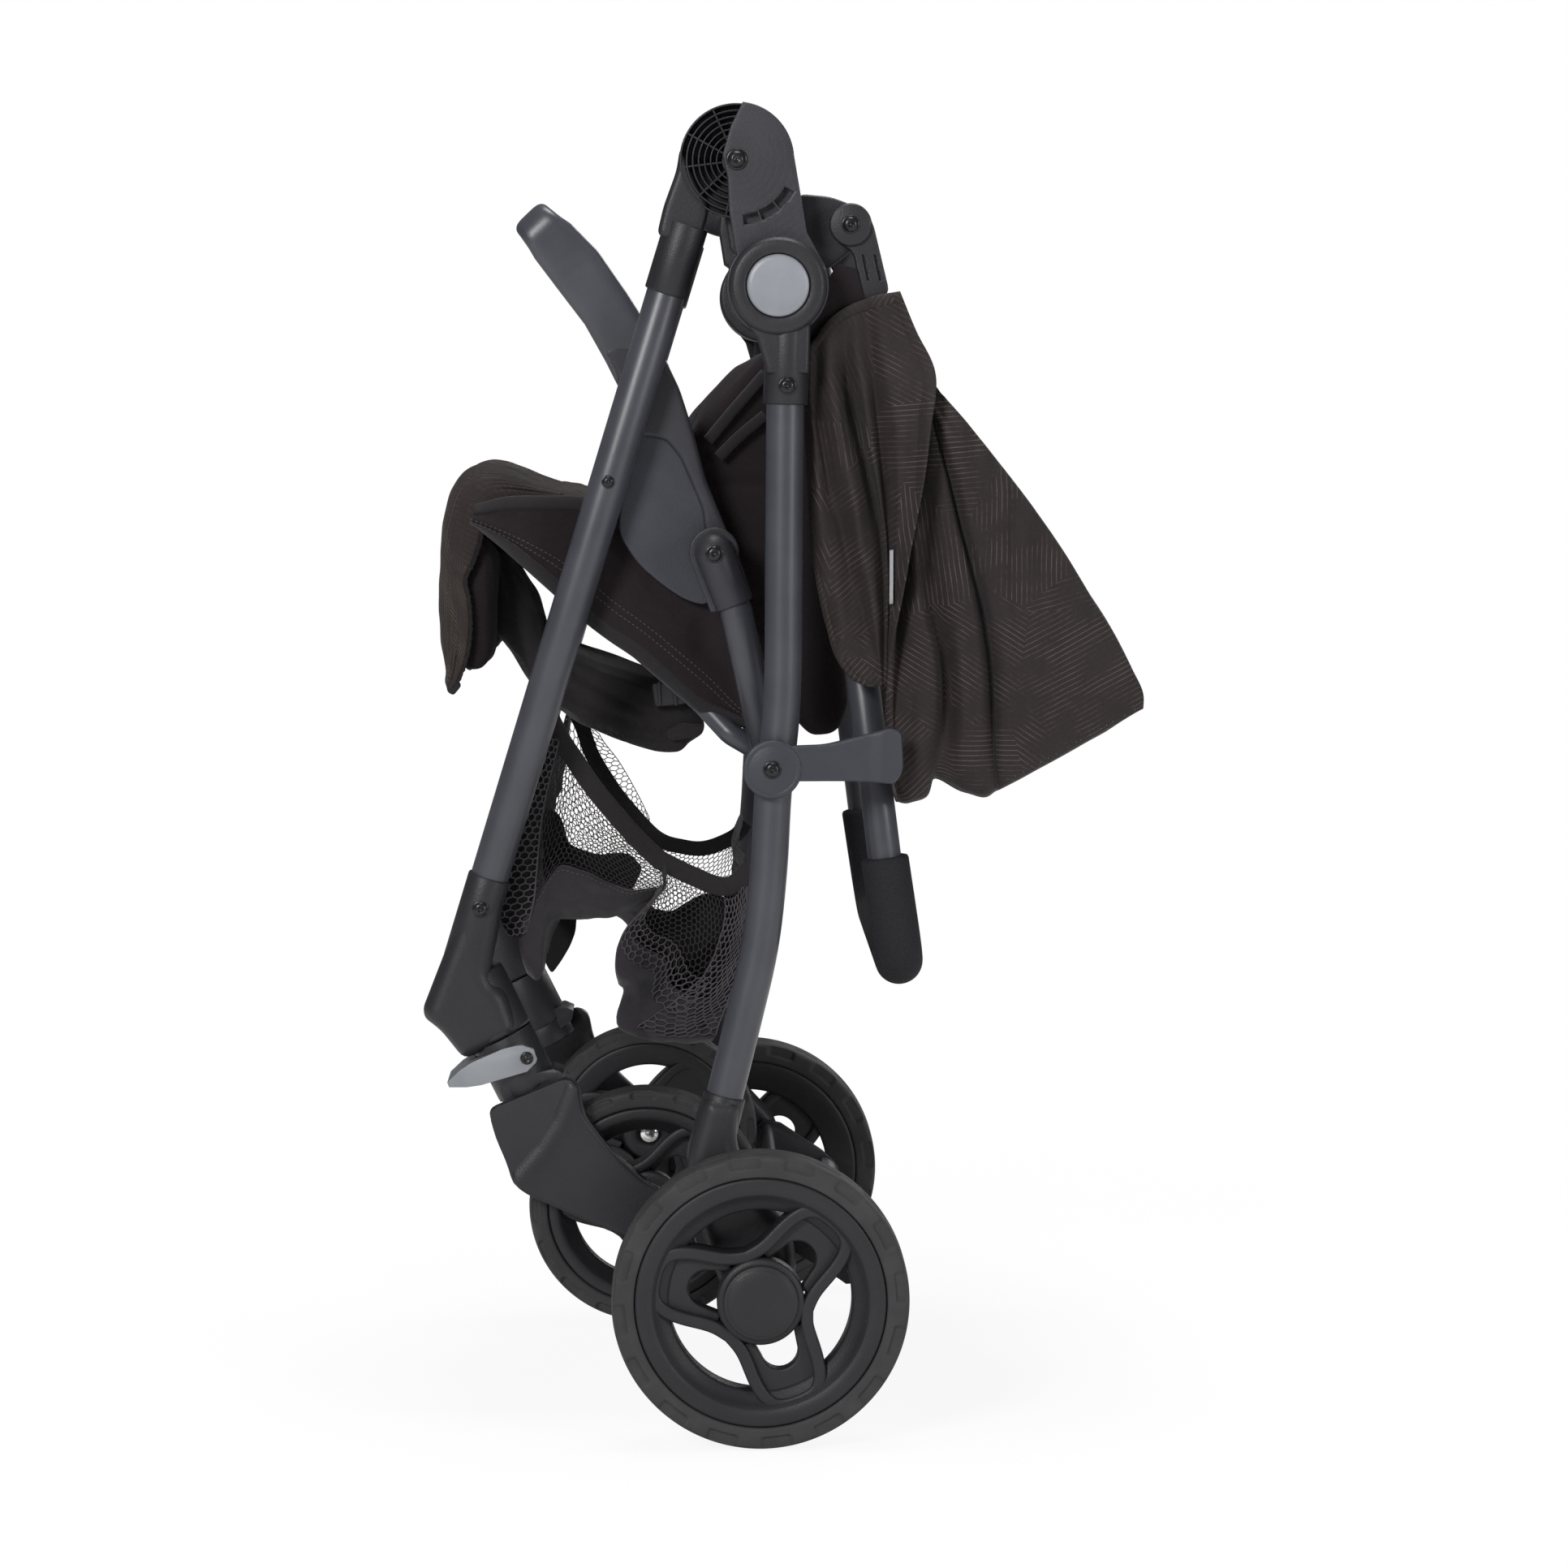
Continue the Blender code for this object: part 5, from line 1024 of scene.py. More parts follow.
def loft(guides, rows, columns):
    # guides run down the cloth; the result is rows by columns of their points
    lines = np.array([curveThrough(g, rows) for g in guides])
    apart = np.linalg.norm(np.diff(lines, axis=0), axis=2).mean(axis=1) + 0.5
    across = curveThrough(lines, columns, np.concatenate([[0], np.cumsum(apart)]))
    return across.transpose(1, 0, 2), np.concatenate([[0], np.cumsum(apart)]) / apart.sum()


def gridFaces(rows, columns, start=0, flip=False):
    faces = []
    for r in range(rows - 1):
        for c in range(columns - 1):
            a = start + r * columns + c
            quad = (a, a + 1, a + columns + 1, a + columns)
            faces.append(quad[::-1] if flip else quad)
    return faces


def unit(rows):
    return rows / np.linalg.norm(rows, axis=1)[:, None]


def ripple(x, z, wide, tall, seed):
    return noise.noise(Vector((x / wide + seed, seed * 3.7, z / tall)))


def mapCloth(obj, place=lambda x, y, z: (x, z)):
    # UV in metres, from each corner's place in millimetres
    layer = obj.data.uv_layers.get("cloth") or obj.data.uv_layers.new(name="cloth")
    points = [v.co / mm for v in obj.data.vertices]
    flat = [place(p.x, p.y, p.z) for p in points]
    for loop in obj.data.loops:
        u, v = flat[loop.vertex_index]
        layer.data[loop.index].uv = (u * mm, v * mm)
    return obj


def thickened(obj, thickness, offset=0.0):
    wall = obj.modifiers.new("wall", "SOLIDIFY")
    wall.thickness, wall.offset, wall.use_even_offset = thickness * mm, offset, False
    return frozen(obj)


def clothGrid(name, points, thickness=1.2, place=None, offset=0.0):
    points = np.array(points, float)
    rows, columns = points.shape[:2]
    obj = addObject(name, [Vector(p) * mm for p in points.reshape(-1, 3)], gridFaces(rows, columns), outward=False)
    if place:
        mapCloth(obj, place)
    else:
        across = np.concatenate([np.zeros((rows, 1)), np.cumsum(np.linalg.norm(np.diff(points, axis=1), axis=2), axis=1)],
            axis=1)
        down = np.concatenate([np.zeros((1, columns)), np.cumsum(np.linalg.norm(np.diff(points, axis=0), axis=2),
            axis=0)], axis=0)
        layer = obj.data.uv_layers.new(name="cloth")
        flat = np.stack([across.reshape(-1), down.reshape(-1)], 1) * mm
        for loop in obj.data.loops:
            layer.data[loop.index].uv = flat[loop.vertex_index]
    return thickened(obj, thickness, offset) if thickness else obj


def tape(name, edge, inward, lift, width, thickness=1.3):
    # a flat strip of binding beside an edge; inward and lift are per point or one vector
    edge = np.array(edge, float)
    inward = np.broadcast_to(np.array(inward, float), edge.shape)
    lift = np.broadcast_to(np.array(lift, float), edge.shape)
    steps = [(0, 0.0), (0.08, 0.6), (0.3, 1.0), (0.7, 1.0), (0.92, 0.6), (1, 0.0)]
    grid = np.array([edge + inward * width * s + lift * h * thickness for s, h in steps]).transpose(1, 0, 2)
    return clothGrid(name, grid, 0.7)


stitchTree = nodeTree("stitch line", [("Pitch", "NodeSocketFloat", 0.004), ("Length", "NodeSocketFloat", 0.0028),
    ("Thread", "NodeSocketFloat", 0.00035), ("Finish", "NodeSocketMaterial", None)])
start = treeNode(stitchTree, "NodeGroupInput")
line = treeNode(stitchTree, "GeometryNodeMeshToCurve", Mesh=start.outputs["Geometry"])
spots = treeNode(stitchTree, "GeometryNodeCurveToPoints", {"mode": "LENGTH"}, Curve=line.outputs[0],
    Length=start.outputs["Pitch"])
bead = treeNode(stitchTree, "GeometryNodeMeshIcoSphere", Radius=1.0, Subdivisions=1)
half = treeNode(stitchTree, "ShaderNodeMath", {"operation": "MULTIPLY"}, _0=start.outputs["Length"], _1=0.5)
shape = treeNode(stitchTree, "ShaderNodeCombineXYZ", X=start.outputs["Thread"], Y=start.outputs["Thread"],
    Z=half.outputs[0])
thread = treeNode(stitchTree, "GeometryNodeTransform", Geometry=bead.outputs[0], Scale=shape.outputs[0])
along = treeNode(stitchTree, "FunctionNodeAlignEulerToVector", {"axis": "Z"}, Vector=spots.outputs["Tangent"])
copies = treeNode(stitchTree, "GeometryNodeInstanceOnPoints", Points=spots.outputs["Points"], Instance=thread.outputs[0],
    Rotation=along.outputs[0])
endTree(stitchTree, start, copies.outputs[0])


def stitches(name, lines, pitch=3.6, length=2.6, thread=0.32):
    # thread along each line of points, in millimetres
    mesh = bpy.data.meshes.new(name)
    points = [tuple(Vector(p) * mm) for line in lines for p in line]
    edges, start = [], 0
    for line in lines:
        edges += [(start + i, start + i + 1) for i in range(len(line) - 1)]
        start += len(line)
    mesh.from_pydata(points, edges, [])
    values = {"Pitch": pitch * mm, "Length": length * mm, "Thread": thread * mm, "Finish": finishes["thread"]}
    return throughTree(name, mesh, stitchTree, values)


# Canopy: one continuous sheet, pleated at its sides, hanging upside down between the arms
canopy = {"half": 207.6, "belly": 3.0, "cloth": 1.1, "rows": 120, "columns": 150, "crownRows": 30, "crownSag": 5.0,
    "pleatGuide": 9, "pipingGuide": 17, "hemGuide": 18}
# each guide runs down the left side as (x, z, outward)
canopyGuides = [
    [(16, 731, -4), (14, 709, -4.5), (15, 681, -4.5), (16.5, 647, -4.5), (22, 578, -3), (29, 546, -2), (38, 520, -1),
     (47, 509.5, -1), (57, 505, -1)],
    [(18, 734, -1), (18, 705, -1), (21, 670, -1.5), (25.5, 625, -0.8), (33, 578, 0), (43, 540, 0.6), (51, 518, 0.5),
     (56, 510, 0), (60, 505, 0)],
    [(21, 737.5, -1.5), (22.6, 705, -2.2), (27, 662, -3), (32, 636, -3), (45, 578, -2.6), (54, 544, -1.6),
     (59.5, 525, -1), (62.5, 510, -1), (63, 505, -1)],
    [(30, 749, 0), (32, 715, 1.6), (37.5, 680, 3.4), (45, 640, 3.4), (54, 595, 2.4), (61, 555, 1.5), (64, 530, 0.8),
     (65.5, 512, 0), (66, 505, 0)],
    [(41, 757.5, -0.5), (42.5, 725, -2.5), (46.5, 697, -6.5), (53, 665, -6.5), (60, 635, -5), (66, 605, -3),
     (68, 560, -1.5), (67.6, 530, -1), (67.5, 505.5, -1)],
    [(48, 761, 0), (50.5, 725, 1.5), (54.5, 697, 2.4), (59, 665, 2.2), (65, 630, 1.5), (68.6, 600, 1), (69.6, 560, 0.6),
     (69, 530, 0), (68.6, 505.5, 0)],
    [(53.5, 763, -1.2), (57.4, 722, -1.2), (61.2, 690, -1.8), (65, 655, -1.6), (69.2, 615, -1.2), (70.6, 585, -1),
     (71, 555, -1), (70.2, 530, -0.5), (70, 505.5, -0.5)],
    [(62, 766, 2), (68.5, 722, 3.6), (74, 690, 4.8), (75.5, 655, 5), (75.6, 615, 4.4), (74, 585, 3.6), (73.2, 555, 2.5),
     (71.8, 530, 1.5), (71, 505.5, 1)],
    [(71.5, 767.5, 2), (79.5, 741, 3), (88, 716, 4), (86.6, 686, 5.2), (84.6, 655, 5.6), (80.6, 620, 5.6), (77.2, 590, 5),
     (75.2, 555, 3.6), (73, 525, 2.2), (72, 505.5, 1.4)],
    [(71.8, 766.5, 0.8), (79.2, 740, 1.4), (87, 715, 1.8), (85.2, 686, 2.8), (83, 655, 3), (79.2, 620, 3), (76, 590, 2.6),
     (74, 555, 1.4), (71.2, 520, 0), (69.6, 485, -1), (75, 441, -1), (77.4, 430, -1)],
    [(71.2, 765.5, -1.6), (77, 740, -1.8), (83, 715, -2.2), (77.5, 686, -2.6), (74, 655, -2.6), (70.6, 620, -2.6),
     (69, 590, -2.8), (70, 555, -3.2), (71.4, 520, -3), (71.8, 485, -2), (76.4, 441, -1.4), (79, 429.6, -1.4)],
    [(71.2, 765, -4), (77.4, 740, -4.6), (83.6, 714, -5.6), (79.6, 686, -7), (76.4, 655, -7.2), (73.4, 620, -7.2),
     (72.2, 590, -7.4), (74, 555, -6), (76, 520, -3.6), (78, 485, -1), (80.6, 445, 0), (82.6, 428.8, 0)],
    [(71.6, 764.5, -5), (78.4, 740, -6), (86, 712, -6.6), (86.4, 686, -8), (84.6, 655, -8.4), (82, 620, -8),
     (82.4, 590, -6), (85, 565, -1.4), (89, 530, 0.6), (89.6, 490, 2.2), (88, 450, 2.4), (88.4, 430, 1.4)],
    [(72, 764, -5.4), (79.2, 739.5, -6.4), (87, 711, -6.8), (89.5, 686, -6.8), (88.5, 655, -6.6), (87, 620, -5),
     (88, 590, -1.4), (93, 555, 1.6), (98.5, 530, 2.2), (100.4, 490, 1.4), (96.6, 450, 0.4), (97, 433, 0)],
    [(72.4, 763.5, -5.8), (79.8, 739, -6.8), (88, 710, -7), (93.4, 686, -4.6), (94.6, 655, -3.2), (94, 620, -3.4),
     (94.6, 590, -5.4), (99, 560, -6.4), (106.5, 525, -6.6), (108.6, 490, -6.2), (105, 455, -5), (103, 446, -4)],
    [(72.8, 763, -6.2), (80.4, 738.5, -7), (89, 709.5, -7), (96.6, 684, -2.6), (101.4, 655, -0.6), (105.4, 620, 0.6),
     (110, 590, 0.2), (116.6, 555, 0.6), (120.4, 520, 1.2), (121.6, 485, 1.4), (121.6, 455, 1), (124, 436.8, 0)],
    [(73, 762.5, -6.4), (80.8, 738, -7.2), (89.8, 709, -7), (99.6, 681, -2.4), (107.4, 650, -0.6), (115.2, 615, 1.4),
     (122, 585, 1.6), (129.2, 550, 1.6), (133.4, 520, 1.8), (135.6, 485, 1.6), (136.4, 455, 1), (138, 433.4, 0)],
    [(73.2, 762, -6.6), (81, 737.6, -7.4), (90.4, 708.6, -7.2), (101.6, 675, -5.6), (110.6, 645, -5), (118.2, 615, -4.8),
     (126.4, 585, -4.8), (135.4, 550, -4.8), (139.6, 520, -4.8), (141.6, 485, -4.6), (142.6, 455, -4), (144.4, 437, -3)],
    [(73.4, 761.5, -6.6), (81.4, 737.4, -7.2), (91, 708.8, -6.4), (104, 676, -0.4), (112.6, 646, 0.8), (120.4, 616, 1.2),
     (128.8, 586, 1.4), (138, 551, 1.4), (142.6, 521, 1.4), (144.8, 485, 1.4), (145.8, 456, 1), (147.4, 438.4, 0.4)],
    [(73.8, 761, -6.4), (81.8, 737, -6.8), (92.4, 709.4, -4.8), (111, 679.5, 2.2), (124, 652, 3.6), (136, 624, 4.2),
     (147, 596, 4.4), (158.4, 562, 4.4), (165.6, 530, 4.2), (170.4, 494, 3.6), (172.4, 468, 2.6), (174.4, 452.6, 1.8)],
    [(74, 760.5, -6), (82.2, 736.6, -6.2), (95, 710.4, -2.8), (119, 680.6, 2), (137, 655, 3), (153.6, 628, 3.6),
     (168.4, 600, 3.6), (184, 568, 3.4), (195.4, 537, 3.2), (203.4, 504, 2.8), (207.4, 482, 2.2), (208.4, 471.6, 1.6)],
    [(74.4, 760, -5.4), (83, 736, -5), (98.6, 709.6, -1), (125.4, 677.4, 0.4), (146, 651.6, 0.8), (165.2, 626.8, 1),
     (181.8, 603.6, 1), (200.6, 573.6, 0.8), (215, 548.6, 0.6), (230.4, 521, 0.4), (238.6, 500, 0), (239.6, 488.8, 0)],
    [(74.5, 759.5, -5), (83.4, 735, -4.4), (100.5, 707.4, -0.6), (127.4, 674.4, -0.6), (148.4, 648, -0.6),
     (168, 622.4, -0.6), (185, 598.8, -0.6), (203.6, 569, -0.6), (218.6, 546, -0.6), (234, 516.6, -0.6),
     (242.4, 498, -0.8), (242.6, 490, -1)],
]
sheetPoints, stops = loft(canopyGuides, canopy["rows"], canopy["columns"])
pleatColumn = int(round(stops[canopy["pleatGuide"]] * (canopy["columns"] - 1)))


def canopySide(r, k):
    x, z, out = sheetPoints[r, k]
    down = r / (canopy["rows"] - 1)
    calm = min(1, down * 5) * min(1, (1 - down) * 12)
    out *= 1 + (1.3 if k < pleatColumn else 0.75) * min(1, down * 4) * min(1, (1 - down) * 6)
    out += calm * (2.8 * ripple(x, z, 9, 80, 3) + 0.9 * ripple(x, z, 24, 24, 7) + 0.35 * ripple(x, z, 5, 9, 11))
    y = canopy["half"] + canopy["belly"] * sin(pi * down) + out
    if k >= pleatColumn:
        y -= 7 * max(0, (down - 0.93) / 0.07) ** 2
    return x, -y, z


half = [[canopySide(r, k) for k in range(canopy["columns"])] for r in range(canopy["rows"])]
hem = np.array(half[-1][pleatColumn:])
crown = []
for s in range(1, canopy["crownRows"] + 1):
    share = s / canopy["crownRows"]
    reach = share ** 1.35
    row = []
    for i, (x, y, z) in enumerate(hem):
        across = i / (len(hem) - 1)
        calm = 1 - 0.55 * reach
        level = z * calm + (1 - calm) * np.interp(across, [0, 0.35, 0.7, 1], [436, 431, 452, 489])
        drop = canopy["crownSag"] * min(1, reach * 9) ** 0.5 + 2.6 * ripple(x, y * (1 - reach), 16, 60, 5) * min(1,
            reach * 4)
        row.append((x + 1.5 * ripple(x, reach * 300, 40, 60, 9) * min(1, reach * 3), y * (1 - reach),
            level - drop * min(1, (1 - across) * 8 + 0.25)))
    crown.append(row)
flap = np.array([row[:pleatColumn + 1] for row in half])
main = np.array([row[pleatColumn:] for row in half] + crown)
far = main[:-1][::-1] * (1, -1, 1)
whole = np.concatenate([main, far])
points, faces = [], []
for grid, flip in ((flap, False), (whole, False), (flap * (1, -1, 1), True)):
    faces += gridFaces(*grid.shape[:2], start=len(points), flip=flip)
    points += [Vector(p) * mm for p in grid.reshape(-1, 3)]
hood = addObject("canopyHood", points, faces, merge=0.02, outward=False)
mapCloth(hood, lambda x, y, z: (x, z - max(0, 203 - abs(y))))
hood = thickened(hood, canopy["cloth"])
dress(hood, "canopy", "canopy", "canopy_fabric", "canopy_hood")


def onCanopy(column, start=0.0, end=1.0, lift=0.0, count=60):
    # a line down the side at a share of its width, lifted outwards
    k = column * (canopy["columns"] - 1)
    low, high, t = int(k), min(int(k) + 1, canopy["columns"] - 1), k - int(k)
    found = []
    for i in range(count):
        r = int(round((start + (end - start) * i / (count - 1)) * (canopy["rows"] - 1)))
        p = np.array(half[r][low]) * (1 - t) + np.array(half[r][high]) * t
        found.append((p[0], p[1] - lift, p[2]))
    return found


piping = tube("canopyPiping", [tuple(p) for p in onCanopy(stops[canopy["pipingGuide"]], 0.24, 1.0, 0.9, 70)], 1.15, 10)
mapCloth(piping)
top, inner = [np.array([half[r][int(i * pleatColumn / 30)] for i in range(31)]) for r in (0, 6)]
bands = [tape("topBand", top, unit(inner - top), (0, -1, 0), 7.5, 1.6)]
rear = np.array(onCanopy(0, 0, 1, 0, 80))
bands.append(tape("rearBand", rear, unit(np.array(onCanopy(stops[1] * 0.9, 0, 1, 0, 80)) - rear), (0, -1, 0), 4.6, 1.4))
hoodPoints = np.array(half).reshape(-1, 3)


def outermost(x, z, reach=3.0):
    close = hoodPoints[np.hypot(hoodPoints[:, 0] - x, hoodPoints[:, 2] - z) < reach]
    return close[:, 1].min()


# a plain tag that stands off the outermost cloth near it
tagRows = [597 - row * 3.6 for row in range(11)]
tagLine = [outermost(71.5, z) for z in tagRows]
tagLine = [min(tagLine[max(0, row - 2):row + 3]) for row in range(11)]
tag = clothGrid("canopyTag", [[(70.6 + a * 0.55, y - 1.2 - a * 0.3, z + a * 0.1) for a in (0, 1.1, 2.2, 3.2, 4.2)]
    for y, z in zip(tagLine, tagRows)], 0.5)
trims = gathered("canopyBinding", *bands)
neck = moulded("canopyNeck", rounded([(12, 727), (19, 752), (25, 768), (36, 787), (49, 784), (54, 765), (70, 764),
    (66, 752), (40, 742), (20, 724)], 2), 199.5, 202, 0.8, 0.4, 2.5)
mapCloth(neck)
hemLine = [Vector(p) for p in half[-1][int(stops[canopy["hemGuide"]] * (canopy["columns"] - 1)):]]
strokes, travelled, strokeGap = [], 0.0, 6.5
for p, nextPoint in zip(hemLine, hemLine[1:]):
    travelled += (nextPoint - p).length
    if travelled > strokeGap:
        travelled -= strokeGap
        inward = Vector((-(nextPoint - p).z, 0, (nextPoint - p).x)).normalized() * 6
        strokes.append([p + inward * t + Vector((0, -1.9, 0)) for t in (0.35, 1.35)])
strokes = stitches("canopyHem", strokes, 3.0, 2.9, 0.42)
hoodTrims = []
for piece, finish in ((trims, "canopy"), (neck, "seat"), (strokes, "thread"), (piping, "binding"), (tag, "tag")):
    hoodTrims += dressPair(piece, "canopy", finish, "canopy_fabric")
print("canopy hung, faces", len(hood.data.polygons))


# Stuffed pieces: an even shell, blown up by cloth pressure, then sewn
def stuffed(obj, voxel, cap, pressure=4.0, steps=20):
    # cap, in millimetres, is the most that a point may move
    even = obj.modifiers.new("even", "REMESH")
    even.mode, even.voxel_size = "VOXEL", voxel * mm
    obj = frozen(obj)
    mesh = obj.data
    before = np.empty(len(mesh.vertices) * 3)
    mesh.vertices.foreach_get("co", before)
    cloth = obj.modifiers.new("stuffing", "CLOTH")
    settings = cloth.settings
    settings.use_pressure, settings.uniform_pressure_force = True, pressure
    settings.effector_weights.gravity = 0
    settings.quality, settings.mass = 5, 0.3
    for frameNumber in range(1, steps + 1):
        scene.frame_set(frameNumber)
    graph = bpy.context.evaluated_depsgraph_get()
    swollen = obj.evaluated_get(graph).to_mesh()
    after = np.empty(len(before))
    swollen.vertices.foreach_get("co", after)
    obj.evaluated_get(graph).to_mesh_clear()
    obj.modifiers.remove(cloth)
    scene.frame_set(1)
    before, after = before.reshape(-1, 3), after.reshape(-1, 3)
    move = after - before
    length = np.linalg.norm(move, axis=1)
    move *= np.minimum(1, cap * mm / np.maximum(length, 1e-9))[:, None]
    mesh.vertices.foreach_set("co", (before + move).reshape(-1))
    mesh.update()
    smooth = obj.modifiers.new("smooth", "SUBSURF")
    smooth.levels = smooth.render_levels = 1
    obj = frozen(obj)
    obj.data.shade_smooth()
    return obj


def sewn(obj, depthAt):
    # sinks each point along its normal by depthAt(x, y, z, normal), in millimetres
    mesh = obj.data
    normals = [Vector(n.vector) for n in mesh.vertex_normals]
    for v, n in zip(mesh.vertices, normals):
        p = v.co / mm
        v.co -= n * depthAt(p.x, p.y, p.z, n) * mm
    mesh.update()
    return obj


def groove(distance, width, depth):
    return depth * max(0.0, 1 - abs(distance) / width) ** 1.5


def cushion(name, sizes, depthAt, place):
    half, edge = sizes["half"], sizes["edge"]
    shape = moulded(name, rounded(sizes["outline"], sizes["corner"]), -half, half, edge, edge, sizes["pitch"])
    return mapCloth(sewn(stuffed(shape, sizes["voxel"], sizes["cap"]), depthAt), place)


def crossing(piece, finish, *places):
    # cloth from one body to another over their joint
    piece.data.materials.clear()
    piece.data.materials.append(finishes[finish])
    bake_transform(piece)


# Quilt of the leg rest: ribbed, crowned at its sides, rolled over the seat's front tube
quiltSizes = {"half": 132.0, "crown": 27.0, "ribPitch": 3.6, "ribDepth": 1.1, "rows": 96, "columns": 330}
quiltOuter = [(-150, 630), (-171, 638), (-185, 643), (-197, 647), (-208, 648), (-217, 643.5), (-223.5, 634),
    (-227.6, 620), (-230.2, 600), (-231.6, 564), (-231, 526), (-228.6, 510), (-228.6, 502), (-226.4, 498.6)]
quiltInner = [(-150, 629.6), (-166, 630), (-178, 630.4), (-186, 630), (-193, 628), (-199, 623.4), (-203.6, 614),
    (-206.6, 600), (-211.4, 586), (-216.6, 575), (-214.4, 558), (-213.4, 545), (-215.6, 524), (-220.4, 509), (-224.6, 500)]
outer, inner = curveThrough(quiltOuter, quiltSizes["rows"]), curveThrough(quiltInner, quiltSizes["rows"])
girth = []
straight, turnLength = quiltSizes["half"] - quiltSizes["crown"], quiltSizes["crown"] * 1.3
total = straight + turnLength
for i in range(quiltSizes["columns"] + 1):
    run = i / quiltSizes["columns"] * 2 - 1
    along = abs(run) * total
    if along <= straight:
        y, rise = along, 1.0
    else:
        turn = (along - straight) / turnLength * pi / 2
        y, rise = straight + quiltSizes["crown"] * sin(turn), cos(turn) ** 0.8 if turn < pi / 2 - 1e-6 else 0.0
    girth.append((y if run > 0 else -y, rise, run * total))
grid = []
for r in range(quiltSizes["rows"]):
    line = []
    span = Vector(outer[r]) - Vector(inner[r])
    out = span.normalized()
    for y, rise, at in girth:
        rib = quiltSizes["ribDepth"] * (abs(cos(pi * at / quiltSizes["ribPitch"])) ** 0.6) * min(1, rise * 3)
        p = Vector(inner[r]) + span * rise + out * (rib + 1.4 * rise * ripple(y, r, 34, 14, 2)
            + 0.9 * rise * ripple(y, r, 12, 6, 4))
        line.append((p.x, y, p.y))
    grid.append(line)
shell = clothGrid("seatQuilt", grid, 0)
shell.data.flip_normals()
quilt = thickened(shell, 2.2, -1.0)
quilt.name = "seatQuilt"
liningSizes = {"outline": [(-203, 607), (-197.5, 588), (-199, 564), (-199.6, 529), (-202, 516), (-208, 509.6),
    (-217, 510), (-221, 518), (-219, 545), (-218, 575), (-212, 590), (-209, 605)], "half": 127, "edge": 5, "pitch": 4,
    "corner": 4, "voxel": 4.5, "cap": 3.5}
lining = cushion("calfLining", liningSizes, lambda x, y, z, n: groove((y + 300) % 62 - 31, 5, 1.6) * (n.x > 0.3)
    - 1.0 * ripple(y, z, 26, 30, 6), lambda x, y, z: (y, z))
dress(lining, "calf_support", "seat", "seat_fabric", "calf_rest")
boundEdge = [(-183, 631), (-193, 628.2), (-199.6, 623.4), (-204, 614), (-206.8, 600), (-211.6, 586), (-216.8, 575),
    (-214.8, 560), (-213.8, 546), (-215.8, 524), (-220.6, 509), (-225.2, 499)]
flatSection = [(2.7 * cos(t), 1.5 * sin(t)) for t in (2 * pi * i / 14 for i in range(14))]
line = curveThrough(boundEdge, 90)
path = [Vector((x + 0.25 * sin(i * 1.9), -quiltSizes["half"] - 0.2 + 0.3 * sin(i * 1.3), z))
    for i, (x, z) in enumerate(line)]
edge = sweep("quiltBinding", path, lambda share: [(a * (1 + 0.12 * sin(share * 260)), b) for a, b in flatSection])
tip = moulded("tab", rounded([(-229.5, 503), (-222.5, 507), (-219, 501), (-224.4, 494.4), (-228.6, 496.6)], 2), 127,
    133.4, 1.4, 1.4, 2)
quiltEdge = gathered("quiltBinding", edge, tip)
far = mirrored(quiltEdge, "quiltBindingRight")
quiltEdge = gathered("quiltBinding", quiltEdge, far)
mapCloth(quiltEdge, lambda x, y, z: (x + z, y))
print("leg rest made")

# Seat pad and the cloth at its sides
padSizes = {"outline": [(-163, 589), (-121, 551), (-62, 500), (-44, 506), (-43, 540), (-86, 592), (-137, 628),
    (-157, 640), (-165, 634)], "half": 132, "edge": 8, "pitch": 5, "corner": 8, "voxel": 5.5, "cap": 5}
pad = cushion("seatPad", padSizes, lambda x, y, z, n: groove((y + 300) % 44 - 22, 5, 2.2) * (n.z > 0.2)
    - 1.2 * ripple(x, y, 30, 30, 8), lambda x, y, z: (y, x - z))
dress(pad, "seat_frame", "calf", "seat_fabric", "seat_pan")
skirtTop = [(-208, 626), (-186, 631), (-160, 631.5), (-136, 631), (-118, 626), (-100, 610), (-80, 594), (-60, 578),
    (-42, 563), (-27, 530), (-18, 494)]
skirtLow = [(-210.5, 613), (-194, 600), (-178, 586), (-158, 568), (-136, 548), (-118, 534), (-99, 521), (-75, 501),
    (-55, 484), (-39, 477), (-19, 473)]
depths = [(0, 154), (0.12, 155), (0.35, 156.5), (0.5, 158), (0.64, 160.4), (0.76, 161.8), (0.9, 161.8), (1.0, 157)]
guides = []
for (x0, z0), (x1, z1) in zip(skirtTop, skirtLow):
    near = min(1, max(0, (-104 - x0) / 16)) if x0 > -125 else 1
    guides.append([(x0 + (x1 - x0) * t, z0 + (z1 - z0) * t, y - (0.6 if near < 1 and t < 0.5 else 0)) for t, y in depths])
skirtSizes = {"rows": 46, "columns": 110, "outermost": 162.4, "seams": (30, 33), "topEnd": 52}
skirtPoints = loft(guides, skirtSizes["rows"], skirtSizes["columns"])[0]
rows = []
for r in range(skirtSizes["rows"]):
    t = r / (skirtSizes["rows"] - 1)
    calm = min(1, t * 4) * min(1, (1 - t) * 5)
    row = []
    for x, z, y in skirtPoints[r]:
        dent = 3.2 * max(0, 1 - ((x + 52) / 13) ** 2 - ((z - 536) / 17) ** 2) if abs(x + 52) < 13 else 0
        y += calm * (1.5 * ripple(x, z, 30, 22, 12) + 0.6 * ripple(x, z, 9, 9, 14)) - dent
        row.append((x, -min(y, skirtSizes["outermost"]), z))
    rows.append(row)
skirt = clothGrid("seatSkirt", rows, 1.2)
rows = np.array(rows)
lowBand = tape("skirtHem", rows[-1], unit(rows[-8] - rows[-1]), (0, -1, 0), 11.5, 1.9)
high, low = [rows[r][:skirtSizes["topEnd"]] for r in (0, 6)]
